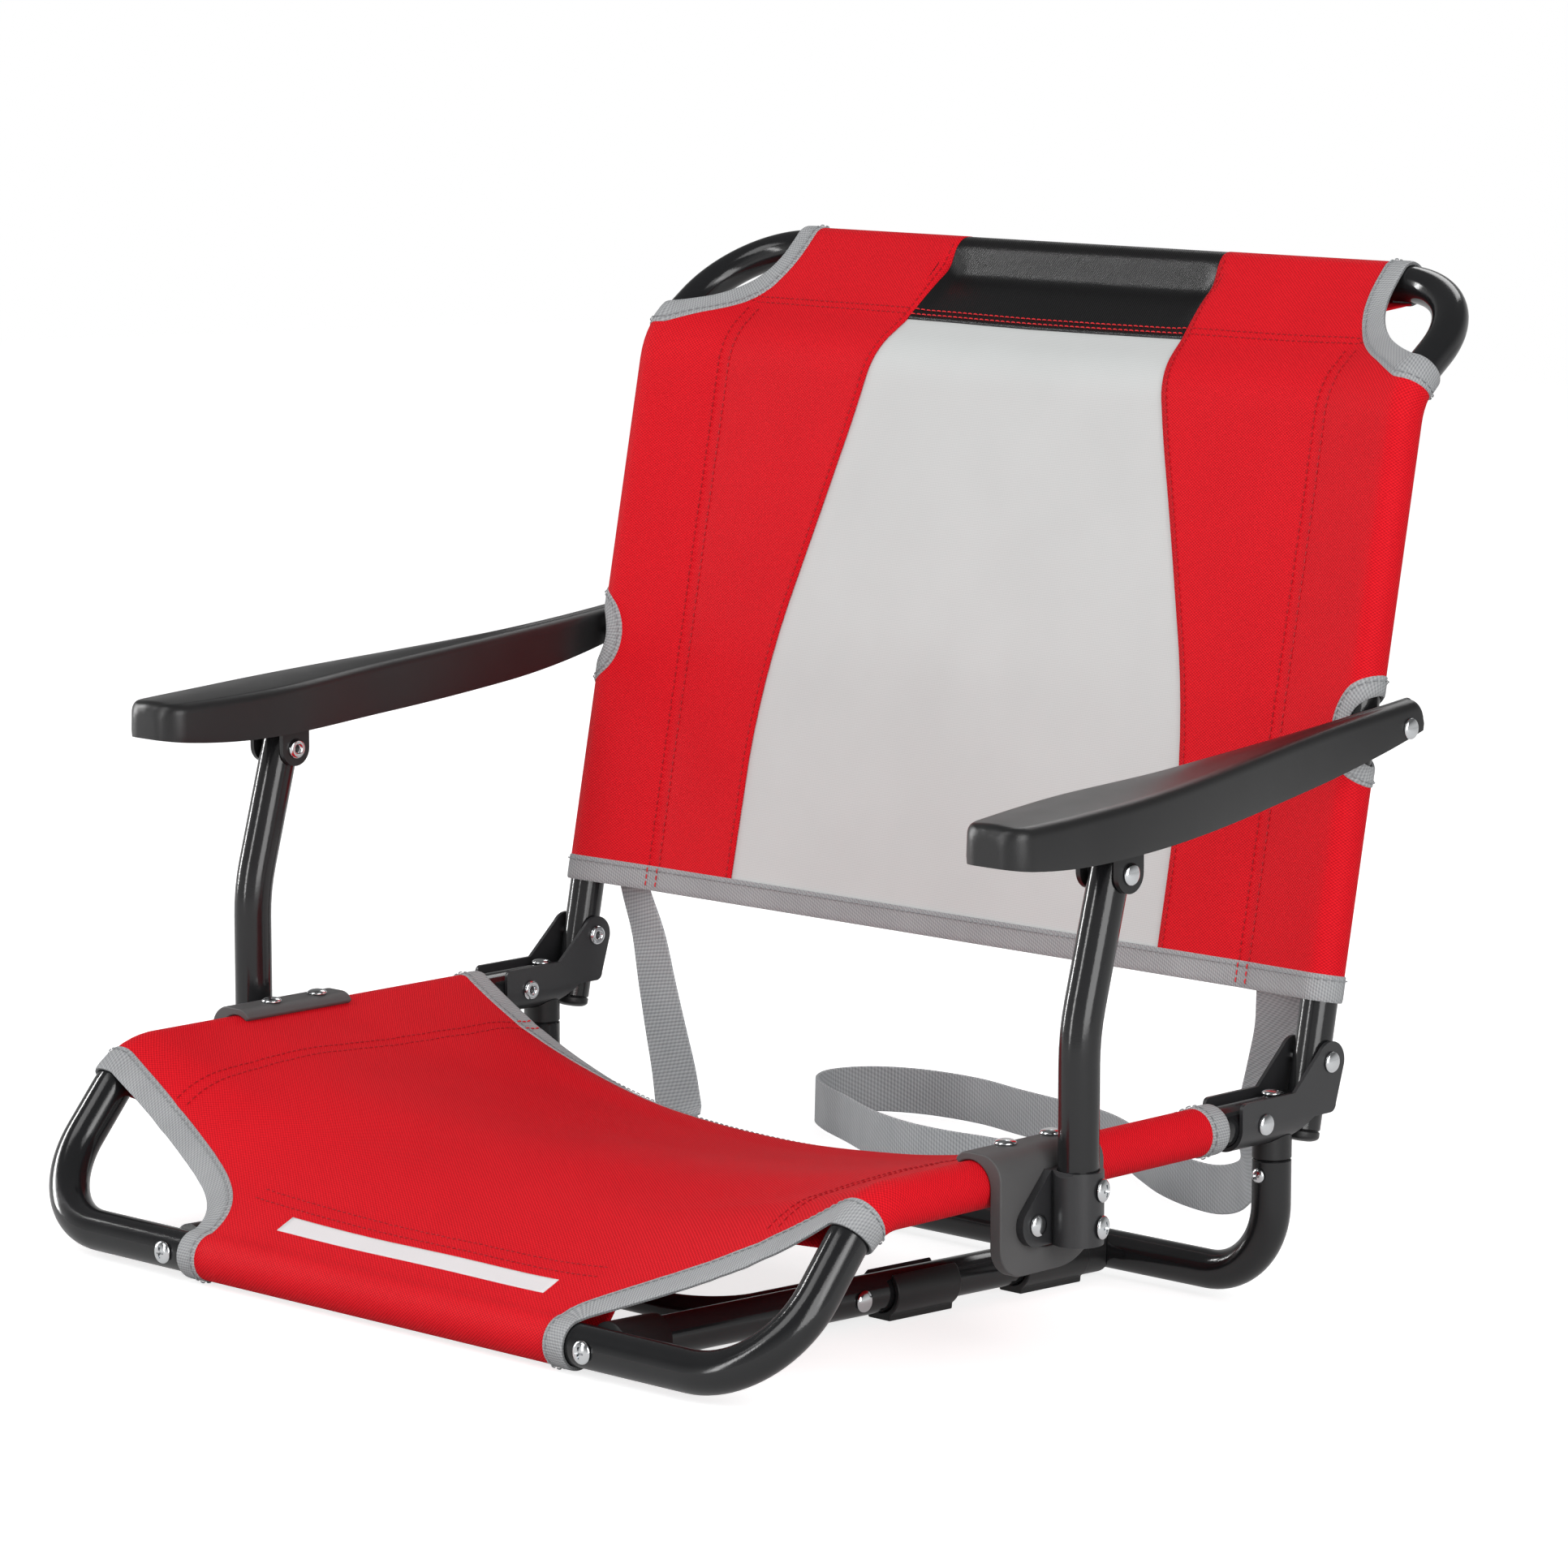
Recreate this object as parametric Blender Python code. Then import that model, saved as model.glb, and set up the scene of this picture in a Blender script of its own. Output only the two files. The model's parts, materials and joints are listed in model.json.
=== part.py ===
"""Folding stadium chair: a low tube frame with a sling seat, a reclined back whose top is bent
rearwards, and armrests that fold with the back on a parallel linkage.

Metres, +Z up, front towards -Y. The seat frame is modelled with its rails level; the whole of it is
then pitched about X so that the base rails lie level and the four foot pads stand on Z = 0.
"""
from math import atan2, cos, hypot, pi, radians, sin, sqrt, tan

import bmesh
import bpy
from mathutils import Matrix, Vector

# Fits and sheet thicknesses
FIT = 0.0003
STEEL_SHEET = 0.002
FABRIC = 0.0012
SLEEVE_EASE = 0.00035

# Seat frame tube: rails, drooping front legs and the front bar, whose axis is the seat frame's origin
SEAT_TUBE = 0.020
RAIL_X = 0.249
RAIL_Z = 0.070
FRONT_RUN = 0.060
FRONT_FOLD_RADIUS = 0.040
FRONT_CORNER_RADIUS = 0.048
RAIL_END_GAP = 0.0008

# Rear leg frame
LEG_TUBE = 0.019
LEG_Y = 0.346
REAR_DROP = 0.011
LEG_CORNER_RADIUS = 0.038
LEG_TOP_Z = 0.049
PLUG_SPIGOT_RADIUS = 0.0065
PLUG_SPIGOT_DEPTH = 0.014
LEG_SCREW_Z = 0.042

# Base rails, their saddles and foot pads
BASE_TUBE = 0.019
BASE_X = 0.143
SADDLE_WALL = 0.0017
FRONT_SADDLE_END = 0.036
REAR_SADDLE_LENGTH = 0.0155
SADDLE_WEB = 0.0054
SADDLE_LIP = 0.003
PAD_LENGTH = 0.044
FRONT_PAD_Y = 0.208
REAR_PAD_BEFORE_LEG = 0.045
PAD_WALL = 0.0027
PAD_BELOW_TUBE = 0.0038
PAD_FOOT_HALF_WIDTH = 0.007
PAD_OPEN_ANGLE = 50

# Bench hook between the base rails, swinging on the base rail rivets
HOOK_TUBE = 0.0127
HOOK_AXLE_Y = 0.165
HOOK_REACH = 0.077
HOOK_TAIL = 0.013
HOOK_CORNER_RADIUS = 0.030
HOOK_SIDE_GAP = 0.0004

# Back frame
BACK_TUBE = 0.018
BACK_PIVOT_BEHIND_LEG = 0.029
BACK_PIVOT_Z = 0.093
BACK_LEAN = radians(11.5)
BACK_LENGTH = 0.300
TOP_LENGTH = 0.096
TOP_BEND = radians(34)
TOP_FOLD_RADIUS = 0.060
TOP_CORNER_RADIUS = 0.050
BACK_TAIL = 0.034
CAP_LENGTH = 0.0055
CAP_SPIGOT_RADIUS = 0.006
CAP_SPIGOT_DEPTH = 0.009

# Hinge brackets at the rear ends of the rails
BRACKET_BEFORE_LEG = 0.037
BRACKET_TOP = 0.012
BRACKET_TOP_BEHIND_LEG = 0.002
BRACKET_HEEL_DROP = 0.0015
BRACKET_HEEL_RADIUS = 0.004
BRACKET_HEEL_BEHIND_LEG = 0.017
BRACKET_FLOOR_BEHIND_LEG = 0.003
EAR_RADIUS = 0.010
BRACKET_RIVET_BEFORE_LEG = 0.020

# Arm linkage: support and back are parallel links of the same length
LINK_Y = 0.0387
LINK_Z = 0.158
SUPPORT_PIVOT_Y = 0.1513
SUPPORT_PIVOT_Z = 0.052
ARM_TUBE = 0.019
ARM_TUBE_Y = 0.170
ARM_TUBE_BOTTOM_Z = 0.043
ARM_BEND_Z = 0.138
ARM_BEND_RADIUS = 0.100
ARM_TUBE_OVERRUN = 0.007

# Saddle plates on the rails
PLATE_FRONT_Y = 0.131
PLATE_REAR_Y = 0.202
PLATE_BOTTOM_Z = 0.0285
PLATE_TOP = 0.0155
PLATE_SIDE = 0.0185
PLATE_SHOULDER_RADIUS = 0.012
PLATE_INNER_REACH = 0.008
PLATE_FRONT_CORNER = 0.015
PLATE_REAR_CORNER = 0.031
PLATE_RIVET_YS = (0.155, 0.186)
SLOT_CENTRE = (0.013, -0.006)
SLOT_HALF_SIZE = (0.0125, 0.006)

# Arm brackets
EAR_PLIES = 2
COLLAR_BOTTOM_Z = 0.042
COLLAR_TOP_Z = 0.076
CLAMP_SCREW_ZS = (0.0505, 0.0675)
CLAMP_SCREW_ANGLE = radians(15)

# Armrests: moulded channels, blunt in front, widest above the support and narrow at the back tube
ARMREST_TIP_Y = 0.103
ARMREST_BEHIND_PIVOT = 0.0103
ARMREST_UNDERSIDE_Z = 0.218
ARMREST_RISE = 0.024
ARMREST_HEIGHT = 0.0225
ARMREST_CROWN = 0.004
ARMREST_FRONT_INNER_REACH = 0.0236
ARMREST_FRONT_OUTER_REACH = 0.0224
ARMREST_REAR_GAP = 0.004
ARMREST_REAR_WIDTH = 0.0135
ARMREST_NARROW_FROM_Y = 0.165
ARMREST_NARROW_TO_Y = 0.390
ARMREST_INNER_NARROW_TO_Y = 0.250
ARMREST_NOSE_RADIUS = 0.011
ARMREST_INNER_FLARE = 0.010
ARMREST_INNER_FLARE_RUN = 0.090
ARMREST_OUTER_FLARE = 0.002
ARMREST_OUTER_FLARE_RUN = 0.040
ARMREST_WALL = 0.0026
ARMREST_EDGE_RADIUS = 0.0045
LUG_THICKNESS = 0.0026
LUG_RADIUS = 0.009
LUG_GAP = 0.0004

# Fasteners
RIVET_SHANK = 0.003
RIVET_HEAD_RADIUS = 0.0052
RIVET_HEAD_HEIGHT = 0.0024
SCREW_SHANK = 0.0025
SCREW_HEAD_RADIUS = 0.0055
SCREW_HEAD_HEIGHT = 0.0026
SMALL_SCREW_HEAD_RADIUS = 0.0036
SMALL_SCREW_HEAD_HEIGHT = 0.0020
SMALL_SCREW_SHANK = 0.002

# Seat sling
SLING_FRONT_Y = 0.079
SLING_BRACKET_GAP = 0.009
SLING_REAR_SCALLOP = 0.013
SLING_CREST = (
    (0.034, 0.024), (0.080, 0.039), (0.130, 0.048), (0.200, 0.038), (0.260, 0.033), (0.310, 0.025),
)
SLING_POWER = 2.4
SLING_FRONT_POWER = 3.4
SLING_SADDLE_GAP = 0.0035
SLING_SCALLOP_POWER = 2.2
SLING_DEPARTURE = radians(118)
SLEEVE_FLAP = 0.044
FRONT_FLAP = 0.034
FLAP_GAP = 0.0007

# Back cover
HEM_S = 0.0285
ARMHOLE_FROM_S = 0.134
ARMHOLE_TO_S = 0.184
SLEEVE_TOP_S = 0.336
PANEL_CORNER_CUT = 0.046
MESH_HEM_HALF_WIDTH = 0.146
MESH_WAIST_S = 0.145
MESH_WAIST_HALF_WIDTH = 0.1445
MESH_NECK_S = 0.325
MESH_NECK_HALF_WIDTH = 0.094
MESH_TOP_HALF_WIDTH = 0.087
BACK_SAG = 0.004
BACK_FLAP = 0.047
TOP_FLAP = 0.026
FLAP_TANGENT = 110

# Carry strap: flat webbing, sewn behind both ends of the back cover's hem
STRAP_WIDTH = 0.0254
STRAP_THICKNESS = 0.0016
STRAP_SPACING = 0.018
STRAP_INSET = 0.029
STRAP_SEAM = 0.018
STRAP_FLOOR_GAP = 0.001
STRAP_DEPTH = 0.210

# Mesh resolution
TUBE_SIDES = 16
HOLE_SIDES = 12
HEAD_SIDES = 10
BEND_STEP = radians(10)
FOLD_STEPS = 3

# Derived places
SEAT_RADIUS = SEAT_TUBE / 2
LEG_RADIUS = LEG_TUBE / 2
BASE_RADIUS = BASE_TUBE / 2
BACK_RADIUS = BACK_TUBE / 2
ARM_RADIUS = ARM_TUBE / 2
HOOK_RADIUS = HOOK_TUBE / 2
BASE_RUN = hypot(LEG_Y, REAR_DROP)
PITCH = atan2(REAR_DROP, LEG_Y)
SLEEVE_RADIUS = SEAT_RADIUS + SLEEVE_EASE + FABRIC / 2
SLEEVE_OUTSIDE = SLEEVE_RADIUS + FABRIC / 2
BACK_SLEEVE_RADIUS = BACK_RADIUS + SLEEVE_EASE + FABRIC / 2
BACK_PIVOT_Y = LEG_Y + BACK_PIVOT_BEHIND_LEG
BRACKET_FRONT_Y = LEG_Y - BRACKET_BEFORE_LEG
BRACKET_RIVET_Y = LEG_Y - BRACKET_RIVET_BEFORE_LEG
SLING_REAR_Y = BRACKET_FRONT_Y - SLING_BRACKET_GAP
SLING_FRONT_HALF_WIDTH = BASE_X - BASE_RADIUS - FIT - SADDLE_WALL - SLING_SADDLE_GAP
REAR_PAD_Y = BASE_RUN - REAR_PAD_BEFORE_LEG
BACK_PIVOT = Vector((0, BACK_PIVOT_Y, BACK_PIVOT_Z))
SUPPORT_PIVOT = Vector((0, SUPPORT_PIVOT_Y, SUPPORT_PIVOT_Z))
LINK = Vector((0, LINK_Y, LINK_Z))
ARM_LUG = SUPPORT_PIVOT + LINK
ARM_REAR = BACK_PIVOT + LINK
ARMREST_END_Y = ARM_REAR.y + ARMREST_BEHIND_PIVOT
LEAN_UP = Vector((0, sin(BACK_LEAN), cos(BACK_LEAN)))
LEAN_REAR = Vector((0, cos(BACK_LEAN), -sin(BACK_LEAN)))
TOP_UP = Vector((0, sin(BACK_LEAN + TOP_BEND), cos(BACK_LEAN + TOP_BEND)))
BACK_FOLD = BACK_PIVOT + LEAN_UP * BACK_LENGTH
TOP_BAR = BACK_FOLD + TOP_UP * TOP_LENGTH
PANEL_TOP_HALF_WIDTH = RAIL_X - PANEL_CORNER_CUT
PLATE_OUTER_X = RAIL_X + PLATE_SIDE
PLATE_INNER = SLEEVE_OUTSIDE + FIT
COLLAR_RADIUS = ARM_RADIUS + FIT + STEEL_SHEET
ARM_X = PLATE_OUTER_X + FIT + COLLAR_RADIUS
ARMREST_FRONT_INNER_X = ARM_X - ARMREST_FRONT_INNER_REACH
ARMREST_FRONT_OUTER_X = ARM_X + ARMREST_FRONT_OUTER_REACH
ARMREST_REAR_INNER_X = RAIL_X + BACK_RADIUS + ARMREST_REAR_GAP
ARMREST_REAR_OUTER_X = ARMREST_REAR_INNER_X + ARMREST_REAR_WIDTH
EAR_OUTER_X = PLATE_OUTER_X + FIT + EAR_PLIES * STEEL_SHEET
BRACKET_INNER = SEAT_RADIUS + FIT
BRACKET_OUTER = BRACKET_INNER + STEEL_SHEET
HOOK_X = BASE_X - BASE_RADIUS - HOOK_SIDE_GAP - HOOK_RADIUS
FLOOR_TO_BASE_AXIS = BASE_RADIUS + PAD_BELOW_TUBE
TAIL_FOOT = BACK_PIVOT - LEAN_UP * BACK_TAIL
RAIL_END_Y = TAIL_FOOT.y - BACK_RADIUS / cos(BACK_LEAN) - RAIL_END_GAP

# The origin lies on the floor below the middle of the frame's length
PITCHED_TOP_Y = TOP_BAR.y * cos(PITCH) - TOP_BAR.z * sin(PITCH)
REAR_REACH = PITCHED_TOP_Y + BACK_SLEEVE_RADIUS + FABRIC / 2
FRONT_REACH = -(SEAT_RADIUS + FIT + SCREW_HEAD_HEIGHT)
ORIGIN_SHIFT = Vector((0, -(FRONT_REACH + REAR_REACH) / 2, FLOOR_TO_BASE_AXIS))

SIDES = (("right", 1), ("left", -1))
AXES = {"X": Vector((1, 0, 0)), "Y": Vector((0, 1, 0)), "Z": Vector((0, 0, 1))}


def clear_scene():
    for old in list(bpy.data.objects):
        bpy.data.objects.remove(old, do_unlink=True)


def material(name, colour, roughness, metallic=0.0):
    made = bpy.data.materials.new(name)
    made.use_nodes = True
    shader = made.node_tree.nodes["Principled BSDF"]
    shader.inputs["Base Color"].default_value = (*colour, 1)
    shader.inputs["Roughness"].default_value = roughness
    shader.inputs["Metallic"].default_value = metallic
    return made


def empty(name, parent=None, location=(0, 0, 0), pitch=0.0):
    made = bpy.data.objects.new(name, None)
    bpy.context.collection.objects.link(made)
    made.parent = parent
    made.location = location
    made.rotation_euler = (pitch, 0, 0)
    return made


def add(name, bm, finish, parent, pivot=Vector()):
    """Makes a named object from a mesh in seat frame coordinates, with its origin at the pivot."""
    if all(edge.is_manifold for edge in bm.edges):
        bmesh.ops.recalc_face_normals(bm, faces=bm.faces)
    bmesh.ops.translate(bm, verts=bm.verts, vec=-pivot)
    mesh = bpy.data.meshes.new(name)
    bm.to_mesh(mesh)
    bm.free()
    mesh.shade_smooth()
    mesh.set_sharp_from_angle(angle=radians(40))
    made = bpy.data.objects.new(name, mesh)
    bpy.context.collection.objects.link(made)
    made.parent = parent
    if finish is not None:
        mesh.materials.append(finish)
    return made


def combine(target, bm, operation, parent, pivot=Vector()):
    """Cuts, joins or intersects the target with a guide body that is itself left out."""
    guide = add(f"{target.name}_{operation.lower()}_guide", bm, None, parent, pivot)
    guide.hide_render = True
    guide.display_type = "WIRE"
    modifier = target.modifiers.new(operation.title(), "BOOLEAN")
    modifier.operation = operation
    modifier.solver = "EXACT"
    modifier.object = guide


def arc(centre, radius, start, end, steps):
    """Points of an arc in a plane; the angles are in degrees."""
    points = []
    for step in range(steps + 1):
        angle = radians(start + (end - start) * step / steps)
        points.append((centre[0] + radius * cos(angle), centre[1] + radius * sin(angle)))
    return points


def prism(outline, axis, low, high, bm=None):
    """Extrudes a plane outline along an axis; X takes (y, z) points, Y takes (x, z), Z takes (x, y)."""
    bm = bm or bmesh.new()
    place = {
        "X": lambda a, b, t: (t, a, b),
        "Y": lambda a, b, t: (a, t, b),
        "Z": lambda a, b, t: (a, b, t),
    }[axis]
    ends = []
    for level in (low, high):
        ends.append([bm.verts.new(place(a, b, level)) for a, b in outline])
    count = len(outline)
    bm.faces.new(ends[0])
    bm.faces.new(list(reversed(ends[1])))
    for i in range(count):
        j = (i + 1) % count
        bm.faces.new((ends[0][j], ends[0][i], ends[1][i], ends[1][j]))
    return bm


def frame_across(axis):
    """Two unit vectors across an axis."""
    helper = Vector((0, 0, 1)) if abs(axis.z) < 0.9 else Vector((1, 0, 0))
    first = axis.cross(helper).normalized()
    return first, axis.cross(first).normalized()


def turned(profile, base, axis, sides=HEAD_SIDES, bm=None):
    """Revolves a profile of (distance along the axis, radius) points; its ends lie on the axis."""
    bm = bm or bmesh.new()
    axis = axis.normalized()
    first, second = frame_across(axis)
    rings = []
    for along, radius in profile:
        centre = base + axis * along
        if radius == 0:
            rings.append([bm.verts.new(centre)])
            continue
        ring = []
        for k in range(sides):
            angle = 2 * pi * k / sides
            ring.append(bm.verts.new(centre + (first * cos(angle) + second * sin(angle)) * radius))
        rings.append(ring)
    for low, high in zip(rings, rings[1:]):
        for k in range(sides):
            j = (k + 1) % sides
            corners = [low[k % len(low)], low[j % len(low)], high[j % len(high)], high[k % len(high)]]
            bm.faces.new(list(dict.fromkeys(corners)))
    return bm


def rod(start, end, radius, sides=HOLE_SIDES, bm=None):
    axis = end - start
    return turned([(0, 0), (0, radius), (axis.length, radius), (axis.length, 0)], start, axis, sides, bm)


def domed_rivet(seat, far, shank, tail_head=True, head=RIVET_HEAD_RADIUS, height=RIVET_HEAD_HEIGHT):
    """A rivet whose domed head sits on the point seat and whose shank reaches the point far."""
    axis = far - seat
    grip = axis.length
    profile = [(-height, 0), (-height * 0.86, head * 0.5), (-height * 0.4, head * 0.88), (0, head)]
    profile += [(0, shank), (grip, shank)]
    if tail_head:
        profile += [(grip, head * 0.9), (grip + height * 0.75, head * 0.6), (grip + height * 0.75, 0)]
    else:
        profile += [(grip, 0)]
    return turned(profile, seat, axis)


def filleted(corners):
    """A path through corner points, each given with its bend radius."""
    path = [Vector(corners[0][0])]
    for (before, _), (corner, radius), (after, _) in zip(corners, corners[1:], corners[2:]):
        corner = Vector(corner)
        to_before = (Vector(before) - corner).normalized()
        to_after = (Vector(after) - corner).normalized()
        half = to_before.angle(to_after) / 2
        reach = radius / tan(half)
        centre = corner + (to_before + to_after).normalized() * (radius / sin(half))
        start = corner + to_before * reach - centre
        turn = pi - 2 * half
        axis = (-to_before).cross(to_after).normalized()
        steps = max(3, round(turn / BEND_STEP))
        for step in range(steps + 1):
            path.append(centre + Matrix.Rotation(turn * step / steps, 3, axis) @ start)
    path.append(Vector(corners[-1][0]))
    return path


def tangents(path):
    """Unit tangents of a path, turned half way at each of its points."""
    runs = [(b - a).normalized() for a, b in zip(path, path[1:])]
    middles = [(a + b).normalized() for a, b in zip(runs, runs[1:])]
    return [runs[0]] + middles + [runs[-1]]


def tube(path, radius, sides=TUBE_SIDES):
    """Sweeps a round section along a path, carried over from ring to ring without twist."""
    bm = bmesh.new()
    directions = tangents(path)
    first, second = frame_across(directions[0])
    rings = []
    for index, (point, direction) in enumerate(zip(path, directions)):
        stretch = 1.0
        if index:
            turn = directions[index - 1].rotation_difference(direction)
            first = turn @ first
            second = turn @ second
        if 0 < index < len(path) - 1:
            run = (path[index + 1] - point).normalized()
            stretch = 1 / direction.dot(run)
        bend = Vector()
        if stretch > 1:
            ahead = (path[index + 1] - point).normalized()
            behind = (point - path[index - 1]).normalized()
            bend = (ahead - behind).normalized()
        ring = []
        for k in range(sides):
            angle = 2 * pi * (k + 0.5) / sides
            offset = (first * cos(angle) + second * sin(angle)) * radius
            offset += bend * offset.dot(bend) * (stretch - 1)
            ring.append(bm.verts.new(point + offset))
        rings.append(ring)
    for low, high in zip(rings, rings[1:]):
        for k in range(sides):
            j = (k + 1) % sides
            bm.faces.new((low[k], low[j], high[j], high[k]))
    bm.faces.new(list(reversed(rings[0])))
    bm.faces.new(rings[-1])
    return bm


def drill(target, holes, parent, pivot=Vector()):
    """Cuts round holes, given as (start, end, radius), in one pass."""
    bm = bmesh.new()
    for start, end, radius in holes:
        rod(start, end, radius, bm=bm)
    combine(target, bm, "DIFFERENCE", parent, pivot)


def solidify(target, thickness, offset=0.0):
    modifier = target.modifiers.new("Thickness", "SOLIDIFY")
    modifier.thickness = thickness
    modifier.offset = offset
    modifier.use_even_offset = offset != 0


def build_seat_frame(finish, parent):
    path = filleted([
        ((-RAIL_X, RAIL_END_Y, RAIL_Z), 0),
        ((-RAIL_X, FRONT_RUN, RAIL_Z), FRONT_FOLD_RADIUS),
        ((-RAIL_X, 0, 0), FRONT_CORNER_RADIUS),
        ((RAIL_X, 0, 0), FRONT_CORNER_RADIUS),
        ((RAIL_X, FRONT_RUN, RAIL_Z), FRONT_FOLD_RADIUS),
        ((RAIL_X, RAIL_END_Y, RAIL_Z), 0),
    ])
    frame = add("seat_frame", tube(path, SEAT_RADIUS), finish, parent)
    holes = []
    for _, side in SIDES:
        x = side * RAIL_X
        across = Vector((0, SEAT_TUBE, 0))
        screw = Vector((side * BASE_X, 0, 0))
        holes.append((screw - across, screw + across, SCREW_SHANK + 2 * FIT))
        for y in PLATE_RIVET_YS:
            top = Vector((x, y, RAIL_Z + SEAT_TUBE))
            holes.append((Vector((x, y, RAIL_Z)), top, RIVET_SHANK + FIT))
        wide = Vector((SEAT_TUBE, 0, 0))
        rivet = Vector((x, BRACKET_RIVET_Y, RAIL_Z))
        holes.append((rivet - wide, rivet + wide, RIVET_SHANK + FIT))
        tall = Vector((0, 0, SEAT_TUBE))
        upright = Vector((x, LEG_Y, RAIL_Z))
        holes.append((upright - tall, upright + tall, RIVET_SHANK + FIT))
    drill(frame, holes, parent)


def build_rear_legs(finish, plug_finish, bright, parent):
    foot = -REAR_DROP
    path = filleted([
        ((-RAIL_X, LEG_Y, LEG_TOP_Z), 0),
        ((-RAIL_X, LEG_Y, foot), LEG_CORNER_RADIUS),
        ((RAIL_X, LEG_Y, foot), LEG_CORNER_RADIUS),
        ((RAIL_X, LEG_Y, LEG_TOP_Z), 0),
    ])
    legs = add("rear_leg_frame", tube(path, LEG_RADIUS), finish, parent)
    holes = []
    for label, side in SIDES:
        axis = Vector((side * RAIL_X, LEG_Y, 0))
        bore_floor = LEG_TOP_Z - PLUG_SPIGOT_DEPTH - FIT
        bore_top = axis + Vector((0, 0, LEG_TOP_Z + FIT))
        holes.append((axis + Vector((0, 0, bore_floor)), bore_top, PLUG_SPIGOT_RADIUS + FIT))
        screw_inner = axis + Vector((0, -PLUG_SPIGOT_RADIUS, LEG_SCREW_Z))
        screw_seat = axis + Vector((0, -LEG_RADIUS - FIT, LEG_SCREW_Z))
        clear = Vector((0, -LEG_RADIUS, 0))
        holes.append((screw_inner, screw_inner + clear, SMALL_SCREW_SHANK + FIT))
        build_leg_plug(label, axis, plug_finish, parent)
        tip = screw_inner + Vector((0, -2 * FIT, 0))
        screw = domed_rivet(screw_seat, tip, SMALL_SCREW_SHANK, False,
                            SMALL_SCREW_HEAD_RADIUS, SMALL_SCREW_HEAD_HEIGHT)
        add(f"leg_screw_{label}", screw, bright, parent)
    drill(legs, holes, parent)


def build_leg_plug(label, axis, finish, parent):
    """A plug with a spigot in the upright and a saddle that fits the round bottom of the bracket."""
    shoulder = LEG_TOP_Z + FIT
    top = RAIL_Z - BRACKET_OUTER / 2
    profile = [
        (LEG_TOP_Z - PLUG_SPIGOT_DEPTH, 0),
        (LEG_TOP_Z - PLUG_SPIGOT_DEPTH, PLUG_SPIGOT_RADIUS),
        (shoulder, PLUG_SPIGOT_RADIUS),
        (shoulder, LEG_RADIUS),
        (top, LEG_RADIUS),
        (top, 0),
    ]
    plug = add(f"leg_plug_{label}", turned(profile, axis, AXES["Z"], TUBE_SIDES), finish, parent)
    rail = Vector((axis.x, axis.y, RAIL_Z))
    along = Vector((0, LEG_TUBE, 0))
    cutter = rod(rail - along, rail + along, BRACKET_OUTER + FIT, 2 * TUBE_SIDES)
    combine(plug, cutter, "DIFFERENCE", parent)
    rivet_end = Vector((axis.x, axis.y, LEG_TOP_Z - FIT))
    drill(plug, [(rivet_end, rail, RIVET_SHANK + FIT)], parent)


def build_base(finish, plastic, bright, parent):
    for label, side in SIDES:
        x = side * BASE_X
        front = Vector((x, SEAT_RADIUS + FIT + SADDLE_WEB + FIT, 0))
        rear_saddle_start = BASE_RUN - LEG_RADIUS - FIT - REAR_SADDLE_LENGTH + SADDLE_LIP
        rear = Vector((x, BASE_RUN - LEG_RADIUS - FIT - SADDLE_WEB - FIT, 0))
        rail = add(f"base_rail_{label}", tube([front, rear], BASE_RADIUS), finish, parent)
        axle = Vector((x, HOOK_AXLE_Y, 0))
        wide = Vector((BASE_TUBE, 0, 0))
        drill(rail, [(axle - wide, axle + wide, RIVET_SHANK + FIT)], parent)
        build_saddle(f"front_saddle_{label}", x, SEAT_RADIUS - SADDLE_LIP, FRONT_SADDLE_END, 0,
                     SEAT_RADIUS, front.y - FIT, FRONT_SADDLE_END + FIT, plastic, parent, True)
        build_saddle(f"rear_saddle_{label}", x, rear_saddle_start, BASE_RUN - LEG_RADIUS + SADDLE_LIP,
                     BASE_RUN, LEG_RADIUS, rear_saddle_start - FIT, rear.y + FIT, plastic, parent, False)
        screw_seat = Vector((x, -SEAT_RADIUS - FIT, 0))
        screw_tip = Vector((x, front.y - 2 * FIT, 0))
        screw = domed_rivet(screw_seat, screw_tip, SCREW_SHANK, False, SCREW_HEAD_RADIUS, SCREW_HEAD_HEIGHT)
        add(f"front_screw_{label}", screw, bright, parent)
        for place, y in (("front", FRONT_PAD_Y), ("rear", REAR_PAD_Y)):
            build_pad(f"{place}_pad_{label}", x, y, plastic, parent)
        outer = Vector((x + side * (BASE_RADIUS + FIT), HOOK_AXLE_Y, 0))
        inner = Vector((side * (HOOK_X - HOOK_RADIUS - FIT), HOOK_AXLE_Y, 0))
        add(f"hook_rivet_{label}", domed_rivet(outer, inner, RIVET_SHANK), bright, parent)


def build_saddle(name, x, start, end, bar_y, bar_radius, bore_start, bore_end, finish, parent, screwed):
    """A moulded end piece: a sleeve over the base rail with a face that fits the cross tube."""
    radius = BASE_RADIUS + FIT + SADDLE_WALL
    body = rod(Vector((x, start, 0)), Vector((x, end, 0)), radius, TUBE_SIDES)
    saddle = add(name, body, finish, parent)
    half = Vector((SEAT_TUBE, 0, 0))
    bar = Vector((x, bar_y, 0))
    combine(saddle, rod(bar - half, bar + half, bar_radius + FIT, 2 * TUBE_SIDES), "DIFFERENCE", parent)
    bore = rod(Vector((x, bore_start, 0)), Vector((x, bore_end, 0)), BASE_RADIUS + FIT, 2 * TUBE_SIDES)
    combine(saddle, bore, "DIFFERENCE", parent)
    if screwed:
        drill(saddle, [(Vector((x, 0, 0)), Vector((x, bore_start + FIT, 0)), SCREW_SHANK + FIT)], parent)


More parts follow.
